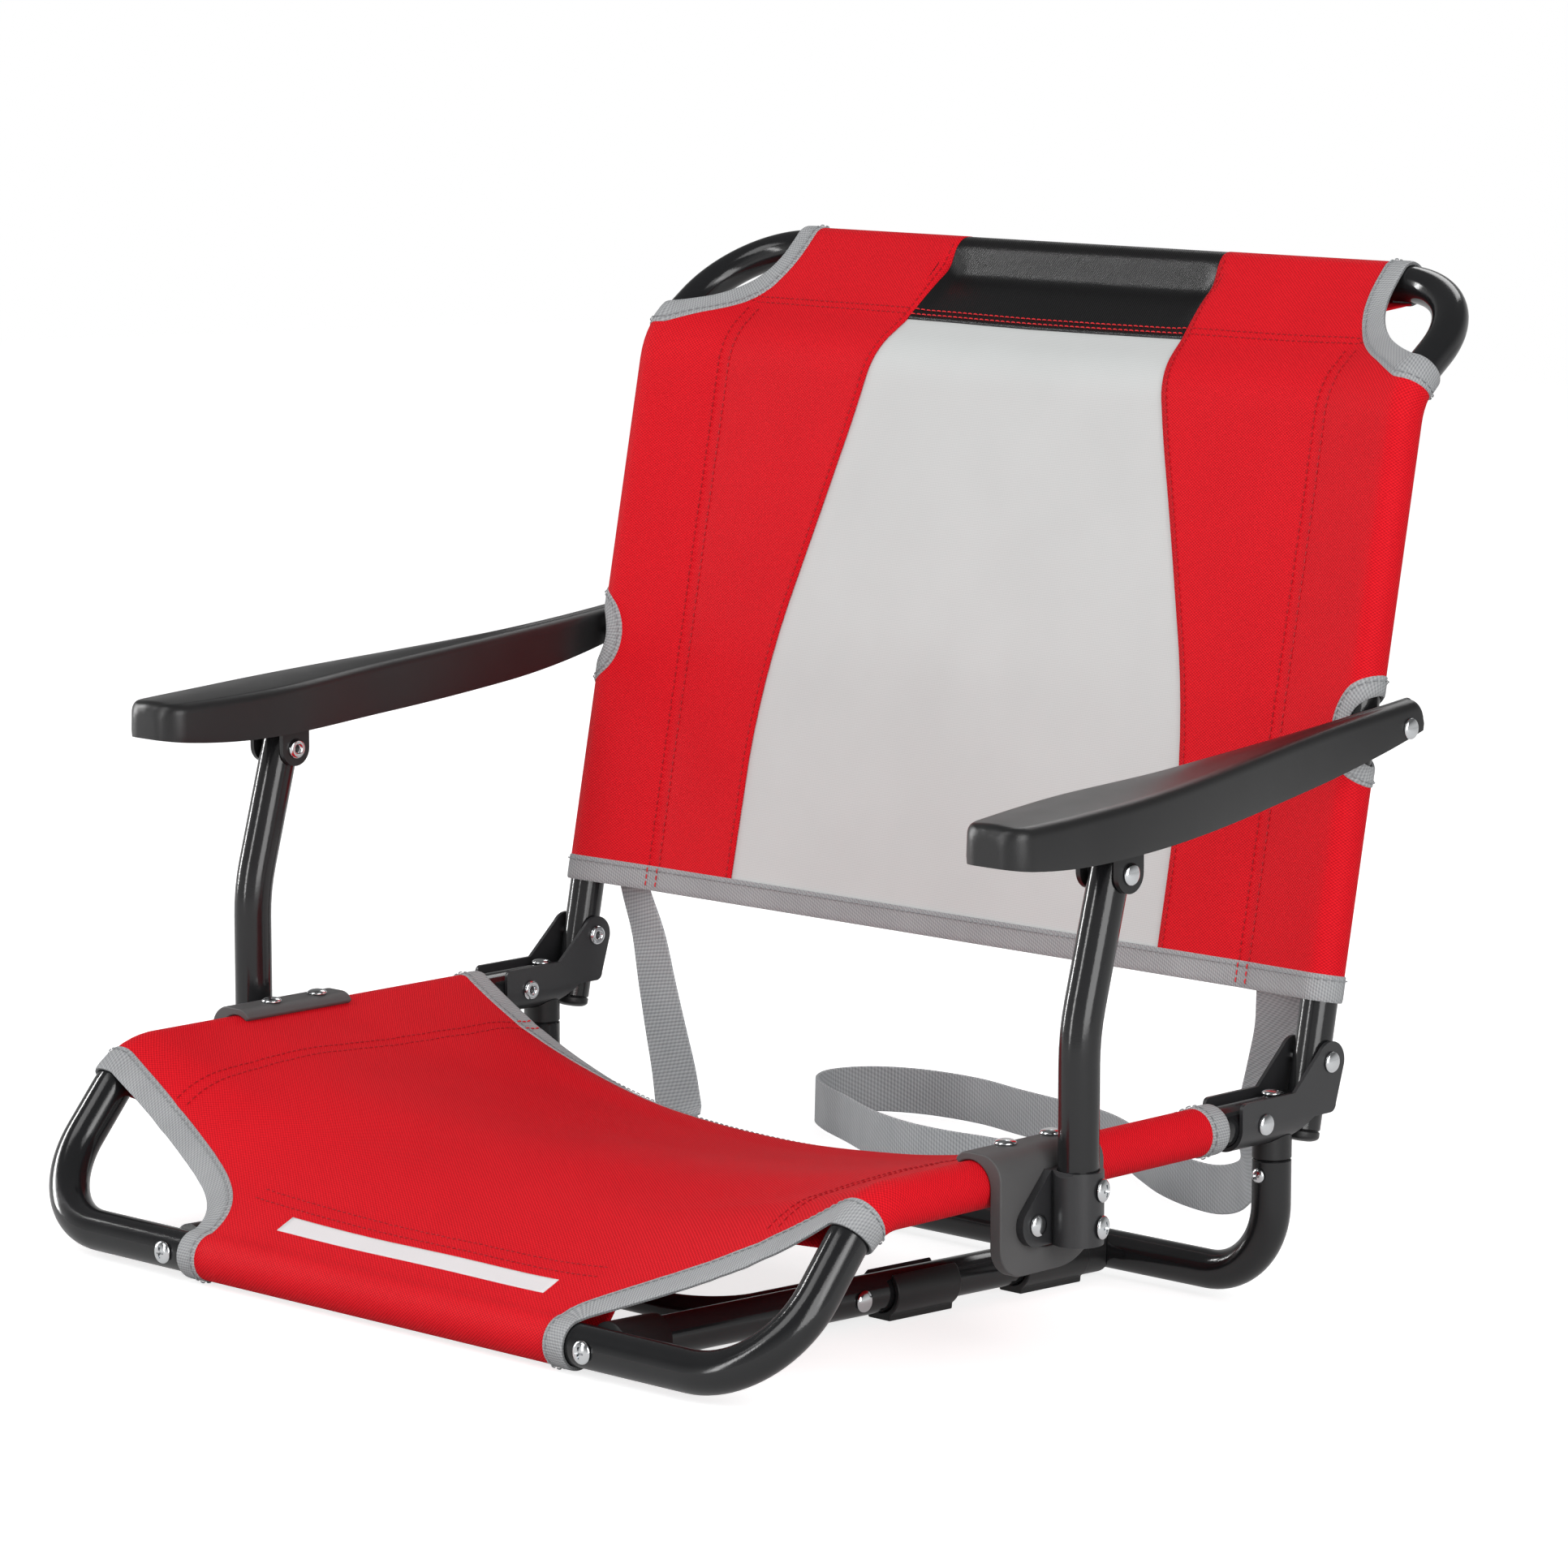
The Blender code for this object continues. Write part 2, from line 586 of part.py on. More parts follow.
def build_pad(name, x, y, finish, parent):
    """A clip-on foot: a C that snaps round the base rail, with a flat sole."""
    inside = BASE_RADIUS + FIT
    outside = inside + PAD_WALL
    sole = -FLOOR_TO_BASE_AXIS
    outline = arc((x, 0), outside, 180 - PAD_OPEN_ANGLE, 235, 7)
    outline += [(x - PAD_FOOT_HALF_WIDTH, sole), (x + PAD_FOOT_HALF_WIDTH, sole)]
    outline += arc((x, 0), outside, 305, 360 + PAD_OPEN_ANGLE, 7)
    outline += arc((x, 0), inside, 360 + PAD_OPEN_ANGLE, 180 - PAD_OPEN_ANGLE, 16)
    add(name, prism(outline, "Y", y - PAD_LENGTH / 2, y + PAD_LENGTH / 2), finish, parent)


def build_bench_hook(finish, parent):
    """A U tube whose arms lie beside the base rails; it swings down in front of the bench."""
    axle = Vector((0, HOOK_AXLE_Y, 0))
    front = HOOK_AXLE_Y - HOOK_REACH
    tail = HOOK_AXLE_Y + HOOK_TAIL
    path = filleted([
        ((-HOOK_X, tail, 0), 0),
        ((-HOOK_X, front, 0), HOOK_CORNER_RADIUS),
        ((HOOK_X, front, 0), HOOK_CORNER_RADIUS),
        ((HOOK_X, tail, 0), 0),
    ])
    hook = add("bench_hook", tube(path, HOOK_RADIUS, HOLE_SIDES), finish, parent, axle)
    wide = Vector((HOOK_TUBE, 0, 0))
    holes = []
    for _, side in SIDES:
        arm = axle + Vector((side * HOOK_X, 0, 0))
        holes.append((arm - wide, arm + wide, RIVET_SHANK + FIT))
    drill(hook, holes, parent, axle)


def bracket_section(x):
    """The bracket's U section round the rail, with walls up past the ears."""
    wall_top = BACK_PIVOT_Z + 2 * EAR_RADIUS
    outline = [(x - BRACKET_OUTER, wall_top)]
    outline += arc((x, RAIL_Z), BRACKET_OUTER, 180, 360, 12)
    outline += [(x + BRACKET_OUTER, wall_top), (x + BRACKET_INNER, wall_top)]
    outline += arc((x, RAIL_Z), BRACKET_INNER, 360, 180, 12)
    outline += [(x - BRACKET_INNER, wall_top)]
    return outline


def bracket_side_outline():
    """The bracket seen from the side: a sleeve along the rail and an ear rising to the pivot."""
    pivot = (BACK_PIVOT_Y, BACK_PIVOT_Z)
    below = RAIL_Z - 2 * BRACKET_OUTER
    top = RAIL_Z + BRACKET_TOP
    heel = RAIL_Z - BRACKET_HEEL_DROP
    floor_end = LEG_Y + BRACKET_FLOOR_BEHIND_LEG
    outline = [(BRACKET_FRONT_Y, below), (BRACKET_FRONT_Y, top), (LEG_Y + BRACKET_TOP_BEHIND_LEG, top)]
    outline += arc(pivot, EAR_RADIUS, 142, -12, 10)
    outline += arc((BACK_PIVOT_Y, heel + BRACKET_HEEL_RADIUS), BRACKET_HEEL_RADIUS, 0, -90, 3)
    outline += [(LEG_Y + BRACKET_HEEL_BEHIND_LEG, heel)]
    outline += [(floor_end, RAIL_Z - BRACKET_INNER), (floor_end, below)]
    return outline


def build_hinge_brackets(finish, bright, parent):
    for label, side in SIDES:
        x = side * RAIL_X
        rear = BACK_PIVOT_Y + 2 * EAR_RADIUS
        bracket = add(f"hinge_bracket_{label}", prism(bracket_section(x), "Y", BRACKET_FRONT_Y - FIT, rear),
                      finish, parent)
        shape = prism(bracket_side_outline(), "X", x - 2 * BRACKET_OUTER, x + 2 * BRACKET_OUTER)
        combine(bracket, shape, "INTERSECT", parent)
        wide = Vector((2 * BRACKET_OUTER, 0, 0))
        pivot = Vector((x, BACK_PIVOT_Y, BACK_PIVOT_Z))
        rivet = Vector((x, BRACKET_RIVET_Y, RAIL_Z))
        upright = Vector((x, LEG_Y, RAIL_Z))
        deep = Vector((0, 0, -2 * BRACKET_OUTER))
        radius = RIVET_SHANK + FIT
        drill(bracket, [
            (pivot - wide, pivot + wide, radius),
            (rivet - wide, rivet + wide, radius),
            (upright, upright + deep, radius),
        ], parent)
        reach = Vector((side * (BRACKET_OUTER + FIT), 0, 0))
        body = domed_rivet(pivot + reach, pivot - reach, RIVET_SHANK)
        add(f"hinge_pivot_rivet_{label}", body, bright, parent)
        body = domed_rivet(rivet + reach, rivet - reach, RIVET_SHANK)
        add(f"bracket_side_rivet_{label}", body, bright, parent)
        seat = Vector((x, LEG_Y, RAIL_Z + SEAT_RADIUS + FIT))
        end = Vector((x, LEG_Y, LEG_TOP_Z + FIT))
        add(f"bracket_top_rivet_{label}", domed_rivet(seat, end, RIVET_SHANK, False), bright, parent)


def build_back_frame(finish, plastic, parent):
    path = filleted([
        (Vector((-RAIL_X, 0, 0)) + TAIL_FOOT, 0),
        (Vector((-RAIL_X, 0, 0)) + BACK_FOLD, TOP_FOLD_RADIUS),
        (Vector((-RAIL_X, 0, 0)) + TOP_BAR, TOP_CORNER_RADIUS),
        (Vector((RAIL_X, 0, 0)) + TOP_BAR, TOP_CORNER_RADIUS),
        (Vector((RAIL_X, 0, 0)) + BACK_FOLD, TOP_FOLD_RADIUS),
        (Vector((RAIL_X, 0, 0)) + TAIL_FOOT, 0),
    ])
    frame = add("back_frame", tube(path, BACK_RADIUS), finish, parent, BACK_PIVOT)
    holes = []
    wide = Vector((BACK_TUBE, 0, 0))
    for label, side in SIDES:
        shift = Vector((side * RAIL_X, 0, 0))
        pivot = shift + BACK_PIVOT
        holes.append((pivot - wide, pivot + wide, RIVET_SHANK + FIT))
        arm = shift + ARM_REAR
        holes.append((arm, arm + side * wide, RIVET_SHANK + FIT))
        foot = shift + TAIL_FOOT
        bore_end = foot + LEAN_UP * (CAP_SPIGOT_DEPTH + FIT)
        holes.append((foot - LEAN_UP * FIT, bore_end, CAP_SPIGOT_RADIUS + FIT))
        profile = [
            (CAP_SPIGOT_DEPTH, 0), (CAP_SPIGOT_DEPTH, CAP_SPIGOT_RADIUS), (-FIT, CAP_SPIGOT_RADIUS),
            (-FIT, BACK_RADIUS), (-CAP_LENGTH * 0.55, BACK_RADIUS),
            (-CAP_LENGTH * 0.88, BACK_RADIUS * 0.7), (-CAP_LENGTH, 0),
        ]
        cap = turned(profile, foot, LEAN_UP, TUBE_SIDES)
        add(f"back_end_cap_{label}", cap, plastic, parent, BACK_PIVOT)
    drill(frame, holes, parent, BACK_PIVOT)


def plate_section(x, side):
    """The saddle plate's section: flat top over the rail, round shoulder and a thick side wall."""
    bend = PLATE_SIDE - PLATE_SHOULDER_RADIUS
    rest = PLATE_TOP - PLATE_SHOULDER_RADIUS
    inner_end = 120
    bottom = PLATE_BOTTOM_Z - RAIL_Z - FIT
    points = [(-PLATE_INNER_REACH, PLATE_TOP)]
    points += arc((bend, rest), PLATE_SHOULDER_RADIUS, 90, 0, 6)
    points += [(PLATE_SIDE, bottom), (PLATE_INNER, bottom)]
    points += arc((0, 0), PLATE_INNER, 0, inner_end, 9)
    return [(x + side * a, RAIL_Z + b) for a, b in points]


def build_saddle_plates(finish, bright, parent):
    top_z = RAIL_Z + PLATE_TOP
    for label, side in SIDES:
        x = side * RAIL_X
        body = prism(plate_section(x, side), "Y", PLATE_FRONT_Y - FIT, PLATE_REAR_Y + FIT)
        plate = add(f"saddle_plate_{label}", body, finish, parent)
        front = (PLATE_FRONT_Y + PLATE_FRONT_CORNER, PLATE_BOTTOM_Z + PLATE_FRONT_CORNER)
        rear = (PLATE_REAR_Y - PLATE_REAR_CORNER, PLATE_BOTTOM_Z + PLATE_REAR_CORNER)
        outline = [(PLATE_FRONT_Y, top_z + PLATE_SIDE)]
        outline += arc(front, PLATE_FRONT_CORNER, 180, 270, 6)
        outline += arc(rear, PLATE_REAR_CORNER, 270, 360, 8)
        outline += [(PLATE_REAR_Y, top_z + PLATE_SIDE)]
        far = x + side * 2 * PLATE_SIDE
        near = x - side * 2 * PLATE_SIDE
        combine(plate, prism(outline, "X", near, far), "INTERSECT", parent)
        build_plate_slot(plate, near, far, parent)
        pivot = SUPPORT_PIVOT + Vector((x, 0, 0))
        wide = Vector((2 * PLATE_SIDE, 0, 0))
        holes = [(pivot, pivot + side * wide, RIVET_SHANK + FIT)]
        for place, y in zip(("front", "rear"), PLATE_RIVET_YS):
            seat = Vector((x, y, top_z + FIT))
            end = Vector((x, y, RAIL_Z + FIT))
            holes.append((end, seat + Vector((0, 0, SEAT_TUBE)), RIVET_SHANK + FIT))
            add(f"plate_rivet_{place}_{label}", domed_rivet(seat, end, RIVET_SHANK, False), bright, parent)
        drill(plate, holes, parent)


def build_plate_slot(plate, near, far, parent):
    """The rounded slot that leaves room below the arm bracket."""
    centre_y = SUPPORT_PIVOT_Y + SLOT_CENTRE[0]
    centre_z = SUPPORT_PIVOT_Z + SLOT_CENTRE[1]
    outline = []
    for y, z in arc((0, 0), 1, 0, 345, 23):
        outline.append((centre_y + y * SLOT_HALF_SIZE[0], centre_z + z * SLOT_HALF_SIZE[1]))
    combine(plate, prism(outline, "X", near, far), "DIFFERENCE", parent)


def bracket_plan(side):
    """The arm bracket in plan: a strap round the arm tube whose two ends meet in the flat ear."""
    inner = -COLLAR_RADIUS
    outer = inner + EAR_PLIES * STEEL_SHEET
    front = SUPPORT_PIVOT_Y - ARM_TUBE_Y - 2 * EAR_RADIUS
    meet = sqrt(COLLAR_RADIUS ** 2 - outer ** 2)
    start = 180 + atan2(meet, -outer) * 180 / pi
    points = [(outer, front), (inner, front)]
    points += arc((0, 0), COLLAR_RADIUS, 180, start - 360, 18)
    return [(side * (ARM_X + a), ARM_TUBE_Y + b) for a, b in points]


def build_arm_support(label, side, finish, bright, parent, axis_empty):
    pivot = SUPPORT_PIVOT
    lug = ARM_LUG
    bend = Vector((0, ARM_TUBE_Y, ARM_BEND_Z))
    shift = Vector((side * ARM_X, 0, 0))
    top = lug + (lug - bend).normalized() * ARM_TUBE_OVERRUN
    path = filleted([
        (shift + Vector((0, ARM_TUBE_Y, ARM_TUBE_BOTTOM_Z)), 0),
        (shift + bend, ARM_BEND_RADIUS),
        (shift + top, 0),
    ])
    support = add(f"arm_support_{label}", tube(path, ARM_RADIUS), finish, axis_empty, pivot)
    wide = Vector((ARM_TUBE, 0, 0))
    holes = [(shift + lug - wide, shift + lug + wide, RIVET_SHANK + FIT)]
    out = Vector((side * cos(CLAMP_SCREW_ANGLE), sin(CLAMP_SCREW_ANGLE), 0))
    screw_holes = []
    for place, z in zip(("lower", "upper"), CLAMP_SCREW_ZS):
        centre = shift + Vector((0, ARM_TUBE_Y, z))
        seat = centre + out * (COLLAR_RADIUS + FIT)
        screw_holes.append((centre, centre + out * 2 * COLLAR_RADIUS, SCREW_SHANK + FIT))
        end = centre + out * FIT
        screw = domed_rivet(seat, end, SCREW_SHANK, False, SCREW_HEAD_RADIUS, SCREW_HEAD_HEIGHT)
        add(f"clamp_screw_{place}_{label}", screw, bright, axis_empty, pivot)
    drill(support, holes + screw_holes, axis_empty, pivot)

    bracket = add(f"arm_bracket_{label}", prism(bracket_plan(side), "Z", COLLAR_BOTTOM_Z, COLLAR_TOP_Z),
                  finish, axis_empty, pivot)
    outline = [(ARM_TUBE_Y + 2 * COLLAR_RADIUS, COLLAR_BOTTOM_Z - FIT)]
    outline += [(ARM_TUBE_Y + 2 * COLLAR_RADIUS, COLLAR_TOP_Z + FIT)]
    outline += [(ARM_TUBE_Y - ARM_RADIUS, COLLAR_TOP_Z + FIT)]
    outline += arc((pivot.y, pivot.z), EAR_RADIUS, 140, 270, 9)
    combine(bracket, prism(outline, "X", 0, side * 2 * ARM_X), "INTERSECT", axis_empty, pivot)
    below = shift + Vector((0, ARM_TUBE_Y, 0))
    above = shift + Vector((0, ARM_TUBE_Y, 2 * COLLAR_TOP_Z))
    combine(bracket, rod(below, above, ARM_RADIUS + FIT, TUBE_SIDES), "DIFFERENCE", axis_empty, pivot)
    ear = Vector((side * PLATE_OUTER_X, pivot.y, pivot.z))
    ear_hole = (ear - side * wide, ear + side * wide, RIVET_SHANK + FIT)
    drill(bracket, screw_holes + [ear_hole], axis_empty, pivot)
    seat = Vector((side * (EAR_OUTER_X + FIT), pivot.y, pivot.z))
    end = Vector((side * (RAIL_X + PLATE_INNER - FIT), pivot.y, pivot.z))
    add(f"arm_pivot_rivet_{label}", domed_rivet(seat, end, RIVET_SHANK), bright, parent)


def smooth(t):
    t = min(1.0, max(0.0, t))
    return t * t * (3 - 2 * t)


def nose_taper(y, run):
    """How far the armrest is still drawn in towards its nose: 1 at the tip, 0 beyond the run."""
    return max(0.0, 1 - (y - ARMREST_TIP_Y) / run) ** 2


def armrest_edges(y):
    """Inner and outer edge of the armrest in plan at a distance y from the front bar."""
    narrowing = smooth((y - ARMREST_NARROW_FROM_Y) / (ARMREST_NARROW_TO_Y - ARMREST_NARROW_FROM_Y))
    inner_span = ARMREST_INNER_NARROW_TO_Y - ARMREST_NARROW_FROM_Y
    inner_narrowing = smooth((y - ARMREST_NARROW_FROM_Y) / inner_span)
    inner = ARMREST_FRONT_INNER_X + (ARMREST_REAR_INNER_X - ARMREST_FRONT_INNER_X) * inner_narrowing
    outer = ARMREST_FRONT_OUTER_X + (ARMREST_REAR_OUTER_X - ARMREST_FRONT_OUTER_X) * narrowing
    inner += ARMREST_INNER_FLARE * nose_taper(y, ARMREST_INNER_FLARE_RUN)
    outer -= ARMREST_OUTER_FLARE * nose_taper(y, ARMREST_OUTER_FLARE_RUN)
    before = max(0.0, 1 - (y - ARMREST_TIP_Y) / ARMREST_NOSE_RADIUS)
    corner = ARMREST_NOSE_RADIUS * (1 - sqrt(1 - before ** 2))
    return inner + corner, outer - corner


def armrest_heights(y):
    """Underside and top of the armrest at a distance y from the front bar."""
    along = (y - ARMREST_TIP_Y) / (ARMREST_END_Y - ARMREST_TIP_Y)
    bottom = ARMREST_UNDERSIDE_Z + ARMREST_RISE * along ** 2
    return bottom, bottom + ARMREST_HEIGHT + ARMREST_CROWN * sin(pi * along)


def armrest_section(y, side):
    """The channel's outline over the top at y, from the inner bottom edge to the outer one."""
    inner, outer = armrest_edges(y)
    bottom, top = armrest_heights(y)
    radius = ARMREST_EDGE_RADIUS
    points = [(inner, bottom)]
    points += arc((inner + radius, top - radius), radius, 180, 90, 3)
    points += arc((outer - radius, top - radius), radius, 90, 0, 3)
    points += [(outer, bottom)]
    return [Vector((side * x, y, z)) for x, z in points]


def build_armrest(label, side, finish, bright, parent):
    stations = [ARMREST_TIP_Y + ARMREST_NOSE_RADIUS * t for t in (0, 0.1, 0.3, 0.6, 1.0)]
    tail_steps = 10
    for step in range(1, tail_steps + 1):
        stations.append(stations[4] + (ARMREST_END_Y - stations[4]) * step / tail_steps)
    bm = bmesh.new()
    rows = [[bm.verts.new(point) for point in armrest_section(y, side)] for y in stations]
    for low, high in zip(rows, rows[1:]):
        for a, b, c, d in zip(low, low[1:], high[1:], high):
            bm.faces.new((a, b, c, d) if side > 0 else (d, c, b, a))
    bm.faces.new(rows[0][::-1] if side > 0 else rows[0])
    bm.faces.new(rows[-1] if side > 0 else rows[-1][::-1])
    armrest = add(f"armrest_{label}", bm, finish, parent, ARM_REAR)
    solidify(armrest, ARMREST_WALL, -1.0)

    lug_top = armrest_heights(ARM_LUG.y)[1] - ARMREST_WALL / 2
    outline = arc((ARM_LUG.y, ARM_LUG.z), LUG_RADIUS, 180, 360, 8)
    outline += [(ARM_LUG.y + LUG_RADIUS, lug_top), (ARM_LUG.y - LUG_RADIUS, lug_top)]
    lugs = bmesh.new()
    near = ARM_RADIUS + LUG_GAP
    for flank in (-1, 1):
        start = side * ARM_X + flank * near
        prism(outline, "X", start, start + flank * LUG_THICKNESS, lugs)
    combine(armrest, lugs, "UNION", parent, ARM_REAR)

    lug = ARM_LUG + Vector((side * ARM_X, 0, 0))
    wide = Vector((ARM_TUBE, 0, 0))
    rear = ARM_REAR + Vector((side * ARMREST_REAR_INNER_X, 0, 0))
    drill(armrest, [
        (lug - wide, lug + wide, RIVET_SHANK + FIT),
        (rear - wide, rear + wide, RIVET_SHANK + FIT),
    ], parent, ARM_REAR)
    reach = Vector((side * (near + LUG_THICKNESS + FIT), 0, 0))
    rivet = domed_rivet(lug + reach, lug - reach, RIVET_SHANK)
    add(f"arm_lug_rivet_{label}", rivet, bright, parent, ARM_REAR)
    rear_x = armrest_edges(ARM_REAR.y)[1]
    seat = Vector((side * (rear_x + FIT), ARM_REAR.y, ARM_REAR.z))
    end = Vector((side * (RAIL_X + FIT), ARM_REAR.y, ARM_REAR.z))
    add(f"arm_rear_rivet_{label}", domed_rivet(seat, end, RIVET_SHANK, False), bright, parent, ARM_REAR)


def eased(knots, place):
    """Smooth curve through (place, value) knots, straight beyond its ends."""
    last = len(knots) - 1
    index = max(0, min(last - 1, sum(1 for knot in knots if knot[0] <= place) - 1))
    slopes = []
    for k in (index, index + 1):
        before = knots[max(0, k - 1)]
        after = knots[min(last, k + 1)]
        slopes.append((after[1] - before[1]) / (after[0] - before[0]))
    (start, low), (end, high) = knots[index], knots[index + 1]
    run = end - start
    t = min(1.0, max(0.0, (place - start) / run))
    level = low + (high - low) * t * t * (3 - 2 * t)
    return level + run * t * (1 - t) * (slopes[0] * (1 - t) - slopes[1] * t)


def sling_surface_z(x, y):
    """Height of the seat cloth: up from the front bar to a crest, then a sag towards the rear edge."""
    edge = RAIL_Z + SLEEVE_RADIUS * sin(SLING_DEPARTURE)
    span = RAIL_X + SLEEVE_RADIUS * cos(SLING_DEPARTURE)
    ahead = min(1.0, max(0.0, y / SLING_FRONT_Y))
    side = SLEEVE_RADIUS + (edge - SLEEVE_RADIUS) * sin(ahead * pi / 2)
    middle = eased(((0.0, SLEEVE_RADIUS),) + SLING_CREST, y)
    power = SLING_POWER + (SLING_FRONT_POWER - SLING_POWER) * (1 - ahead)
    return middle + (side - middle) * (abs(x) / span) ** power


def wrap_points(side, steps):
    """The sleeve round a rail from the seam below the cloth, round the outside, to the top."""
    centre = (side * RAIL_X, RAIL_Z)
    end = SLING_DEPARTURE * 180 / pi
    loop = arc((0, 0), SLEEVE_RADIUS, -85, end, steps)
    return [(centre[0] + side * a, centre[1] + b) for a, b in loop]


def build_seat_sling(finish, parent):
    """One cloth with sleeves round both rails and round the front bar, and scalloped corners."""
    span = RAIL_X + SLEEVE_RADIUS * cos(SLING_DEPARTURE)
    columns = 12
    lengthwise = 8
    flap_gap = FABRIC + FLAP_GAP
    seam_x = RAIL_X - SLEEVE_FLAP
    bm = bmesh.new()

    def rear_edge(x):
        return SLING_REAR_Y - SLING_REAR_SCALLOP * (1 - (x / RAIL_X) ** 2)

    def section(y_share):
        points = []
        for side in (-1, 1):
            loop = wrap_points(side, 9)
            y_edge = SLING_FRONT_Y + (SLING_REAR_Y - SLING_FRONT_Y) * y_share
            flap_end = (side * seam_x, sling_surface_z(seam_x, y_edge) - flap_gap * 1.15)
            half_way = ((flap_end[0] + loop[0][0]) / 2, (flap_end[1] + loop[0][1]) / 2)
            flank = [flap_end, half_way] + loop[:-1]
            points.append([Vector((x, y_edge, z)) for x, z in flank])
        sheet = []
        for column in range(columns + 1):
            x = -span + 2 * span * column / columns
            y = SLING_FRONT_Y + (rear_edge(x) - SLING_FRONT_Y) * y_share
            sheet.append(Vector((x, y, sling_surface_z(x, y))))
        return points[0], sheet, list(reversed(points[1]))

    rows = []
    front_sheet = None
    for step in range(lengthwise + 1):
        left, sheet, right = section(step / lengthwise)
        row = [bm.verts.new(point) for point in left + sheet + right]
        if step == 0:
            front_sheet = row[len(left):len(left) + columns + 1]
        rows.append(row)
    for low, high in zip(rows, rows[1:]):
        for a, b, c, d in zip(low, low[1:], high[1:], high):
            bm.faces.new((a, b, c, d))

    front_rows = [front_sheet]
    slope_steps = 4
    for step in range(1, slope_steps + 1):
        y = SLING_FRONT_Y * (1 - step / slope_steps)
        share = (y / SLING_FRONT_Y) ** SLING_SCALLOP_POWER
        half = SLING_FRONT_HALF_WIDTH + (span - SLING_FRONT_HALF_WIDTH) * share
        front_rows.append([bm.verts.new((x, y, sling_surface_z(x, y))) for x in across(half, columns)])
    for y, z in arc((0, 0), SLEEVE_RADIUS, 90, 320, 10)[1:]:
        front_rows.append([bm.verts.new((x, y, z)) for x in across(SLING_FRONT_HALF_WIDTH, columns)])
    last = []
    for x in across(SLING_FRONT_HALF_WIDTH, columns):
        last.append(bm.verts.new((x, FRONT_FLAP, sling_surface_z(x, FRONT_FLAP) - flap_gap * 1.5)))
    front_rows.append(last)
    for low, high in zip(front_rows, front_rows[1:]):
        for a, b, c, d in zip(low, low[1:], high[1:], high):
            bm.faces.new((d, c, b, a))
    sling = add("seat_sling", bm, finish, parent)
    solidify(sling, FABRIC)
    holes = []
    for _, side in SIDES:
        for y in PLATE_RIVET_YS:
            foot = Vector((side * RAIL_X, y, RAIL_Z + SEAT_RADIUS / 2))
            holes.append((foot, foot + Vector((0, 0, SEAT_TUBE)), RIVET_SHANK + FIT))
    drill(sling, holes, parent)


def across(half, columns):
    return [-half + 2 * half * column / columns for column in range(columns + 1)]


def back_place(x, s, n):
    """A point of the back: s along the tube line from the pivot, n behind it, rounded at the fold."""
    reach = TOP_FOLD_RADIUS * tan(TOP_BEND / 2)
    bend_length = TOP_FOLD_RADIUS * TOP_BEND
    start = BACK_LENGTH - reach
    if s <= start:
        base = BACK_PIVOT + LEAN_UP * s
        rear = LEAN_REAR
    else:
        turn = min(1.0, (s - start) / bend_length) * TOP_BEND
        angle = BACK_LEAN + turn
        centre = BACK_PIVOT + LEAN_UP * start + LEAN_REAR * TOP_FOLD_RADIUS
        rear = Vector((0, cos(angle), -sin(angle)))
        base = centre - rear * TOP_FOLD_RADIUS
        beyond = max(0.0, s - start - bend_length)
        base = base + TOP_UP * beyond
    return base + rear * n + Vector((x, 0, 0))


def top_bar_s():
    """Distance along the tube line at which the top bar's axis lies."""
    reach = TOP_FOLD_RADIUS * tan(TOP_BEND / 2)
    return BACK_LENGTH + TOP_LENGTH - 2 * reach + TOP_FOLD_RADIUS * TOP_BEND


def mesh_half_width(s):
    """Half width of the mesh panel: full at the hem and waist, drawn in at the neck."""
    if s < MESH_WAIST_S:
        t = smooth((s - HEM_S) / (MESH_WAIST_S - HEM_S))
        return MESH_HEM_HALF_WIDTH + (MESH_WAIST_HALF_WIDTH - MESH_HEM_HALF_WIDTH) * t
    if s < MESH_NECK_S:
        t = (s - MESH_WAIST_S) / (MESH_NECK_S - MESH_WAIST_S)
        return MESH_WAIST_HALF_WIDTH + (MESH_NECK_HALF_WIDTH - MESH_WAIST_HALF_WIDTH) * t
    t = min(1.0, (s - MESH_NECK_S) / (top_bar_s() - MESH_NECK_S))
    return MESH_NECK_HALF_WIDTH + (MESH_TOP_HALF_WIDTH - MESH_NECK_HALF_WIDTH) * t


def cover_depth(x):
    """Depth of the back cover's cloth: on the front of the tubes, a little slack in the middle."""
    return -BACK_SLEEVE_RADIUS + BACK_SAG * (1 - (x / RAIL_X) ** 2)


def top_sleeve(bm, last_row, xs):
    """Carries a row of cloth over the top bar and down behind it to the seam."""
    s_bar = top_bar_s()
    rows = [last_row]
    for a, b in arc((0, 0), BACK_SLEEVE_RADIUS, 180, -36, 10)[1:]:
        rows.append([bm.verts.new(back_place(x, s_bar + b, a)) for x in xs])
    seam = []
    for x in xs:
        seam.append(bm.verts.new(back_place(x, s_bar - TOP_FLAP, cover_depth(x) + FABRIC + 2 * FLAP_GAP)))
    rows.append(seam)
    for low, high in zip(rows, rows[1:]):
        for a, b, c, d in zip(low, low[1:], high[1:], high):
            bm.faces.new((a, b, c, d))


def panel_levels():
    """Rows of the back cover along the tube line, close together round the fold."""
    fold_start = BACK_LENGTH - TOP_FOLD_RADIUS * tan(TOP_BEND / 2)
    fold_length = TOP_FOLD_RADIUS * TOP_BEND
    fold_rows = [fold_start + fold_length * step / FOLD_STEPS for step in range(FOLD_STEPS + 1)]
    rows = []
    runs = (
        (HEM_S, ARMHOLE_FROM_S, 3),
        (ARMHOLE_FROM_S, ARMHOLE_TO_S, 2),
        (ARMHOLE_TO_S, fold_start, 3),
    )
    for low, high, steps in runs:
        rows += [low + (high - low) * step / steps for step in range(steps)]
    return rows + fold_rows + [SLEEVE_TOP_S]


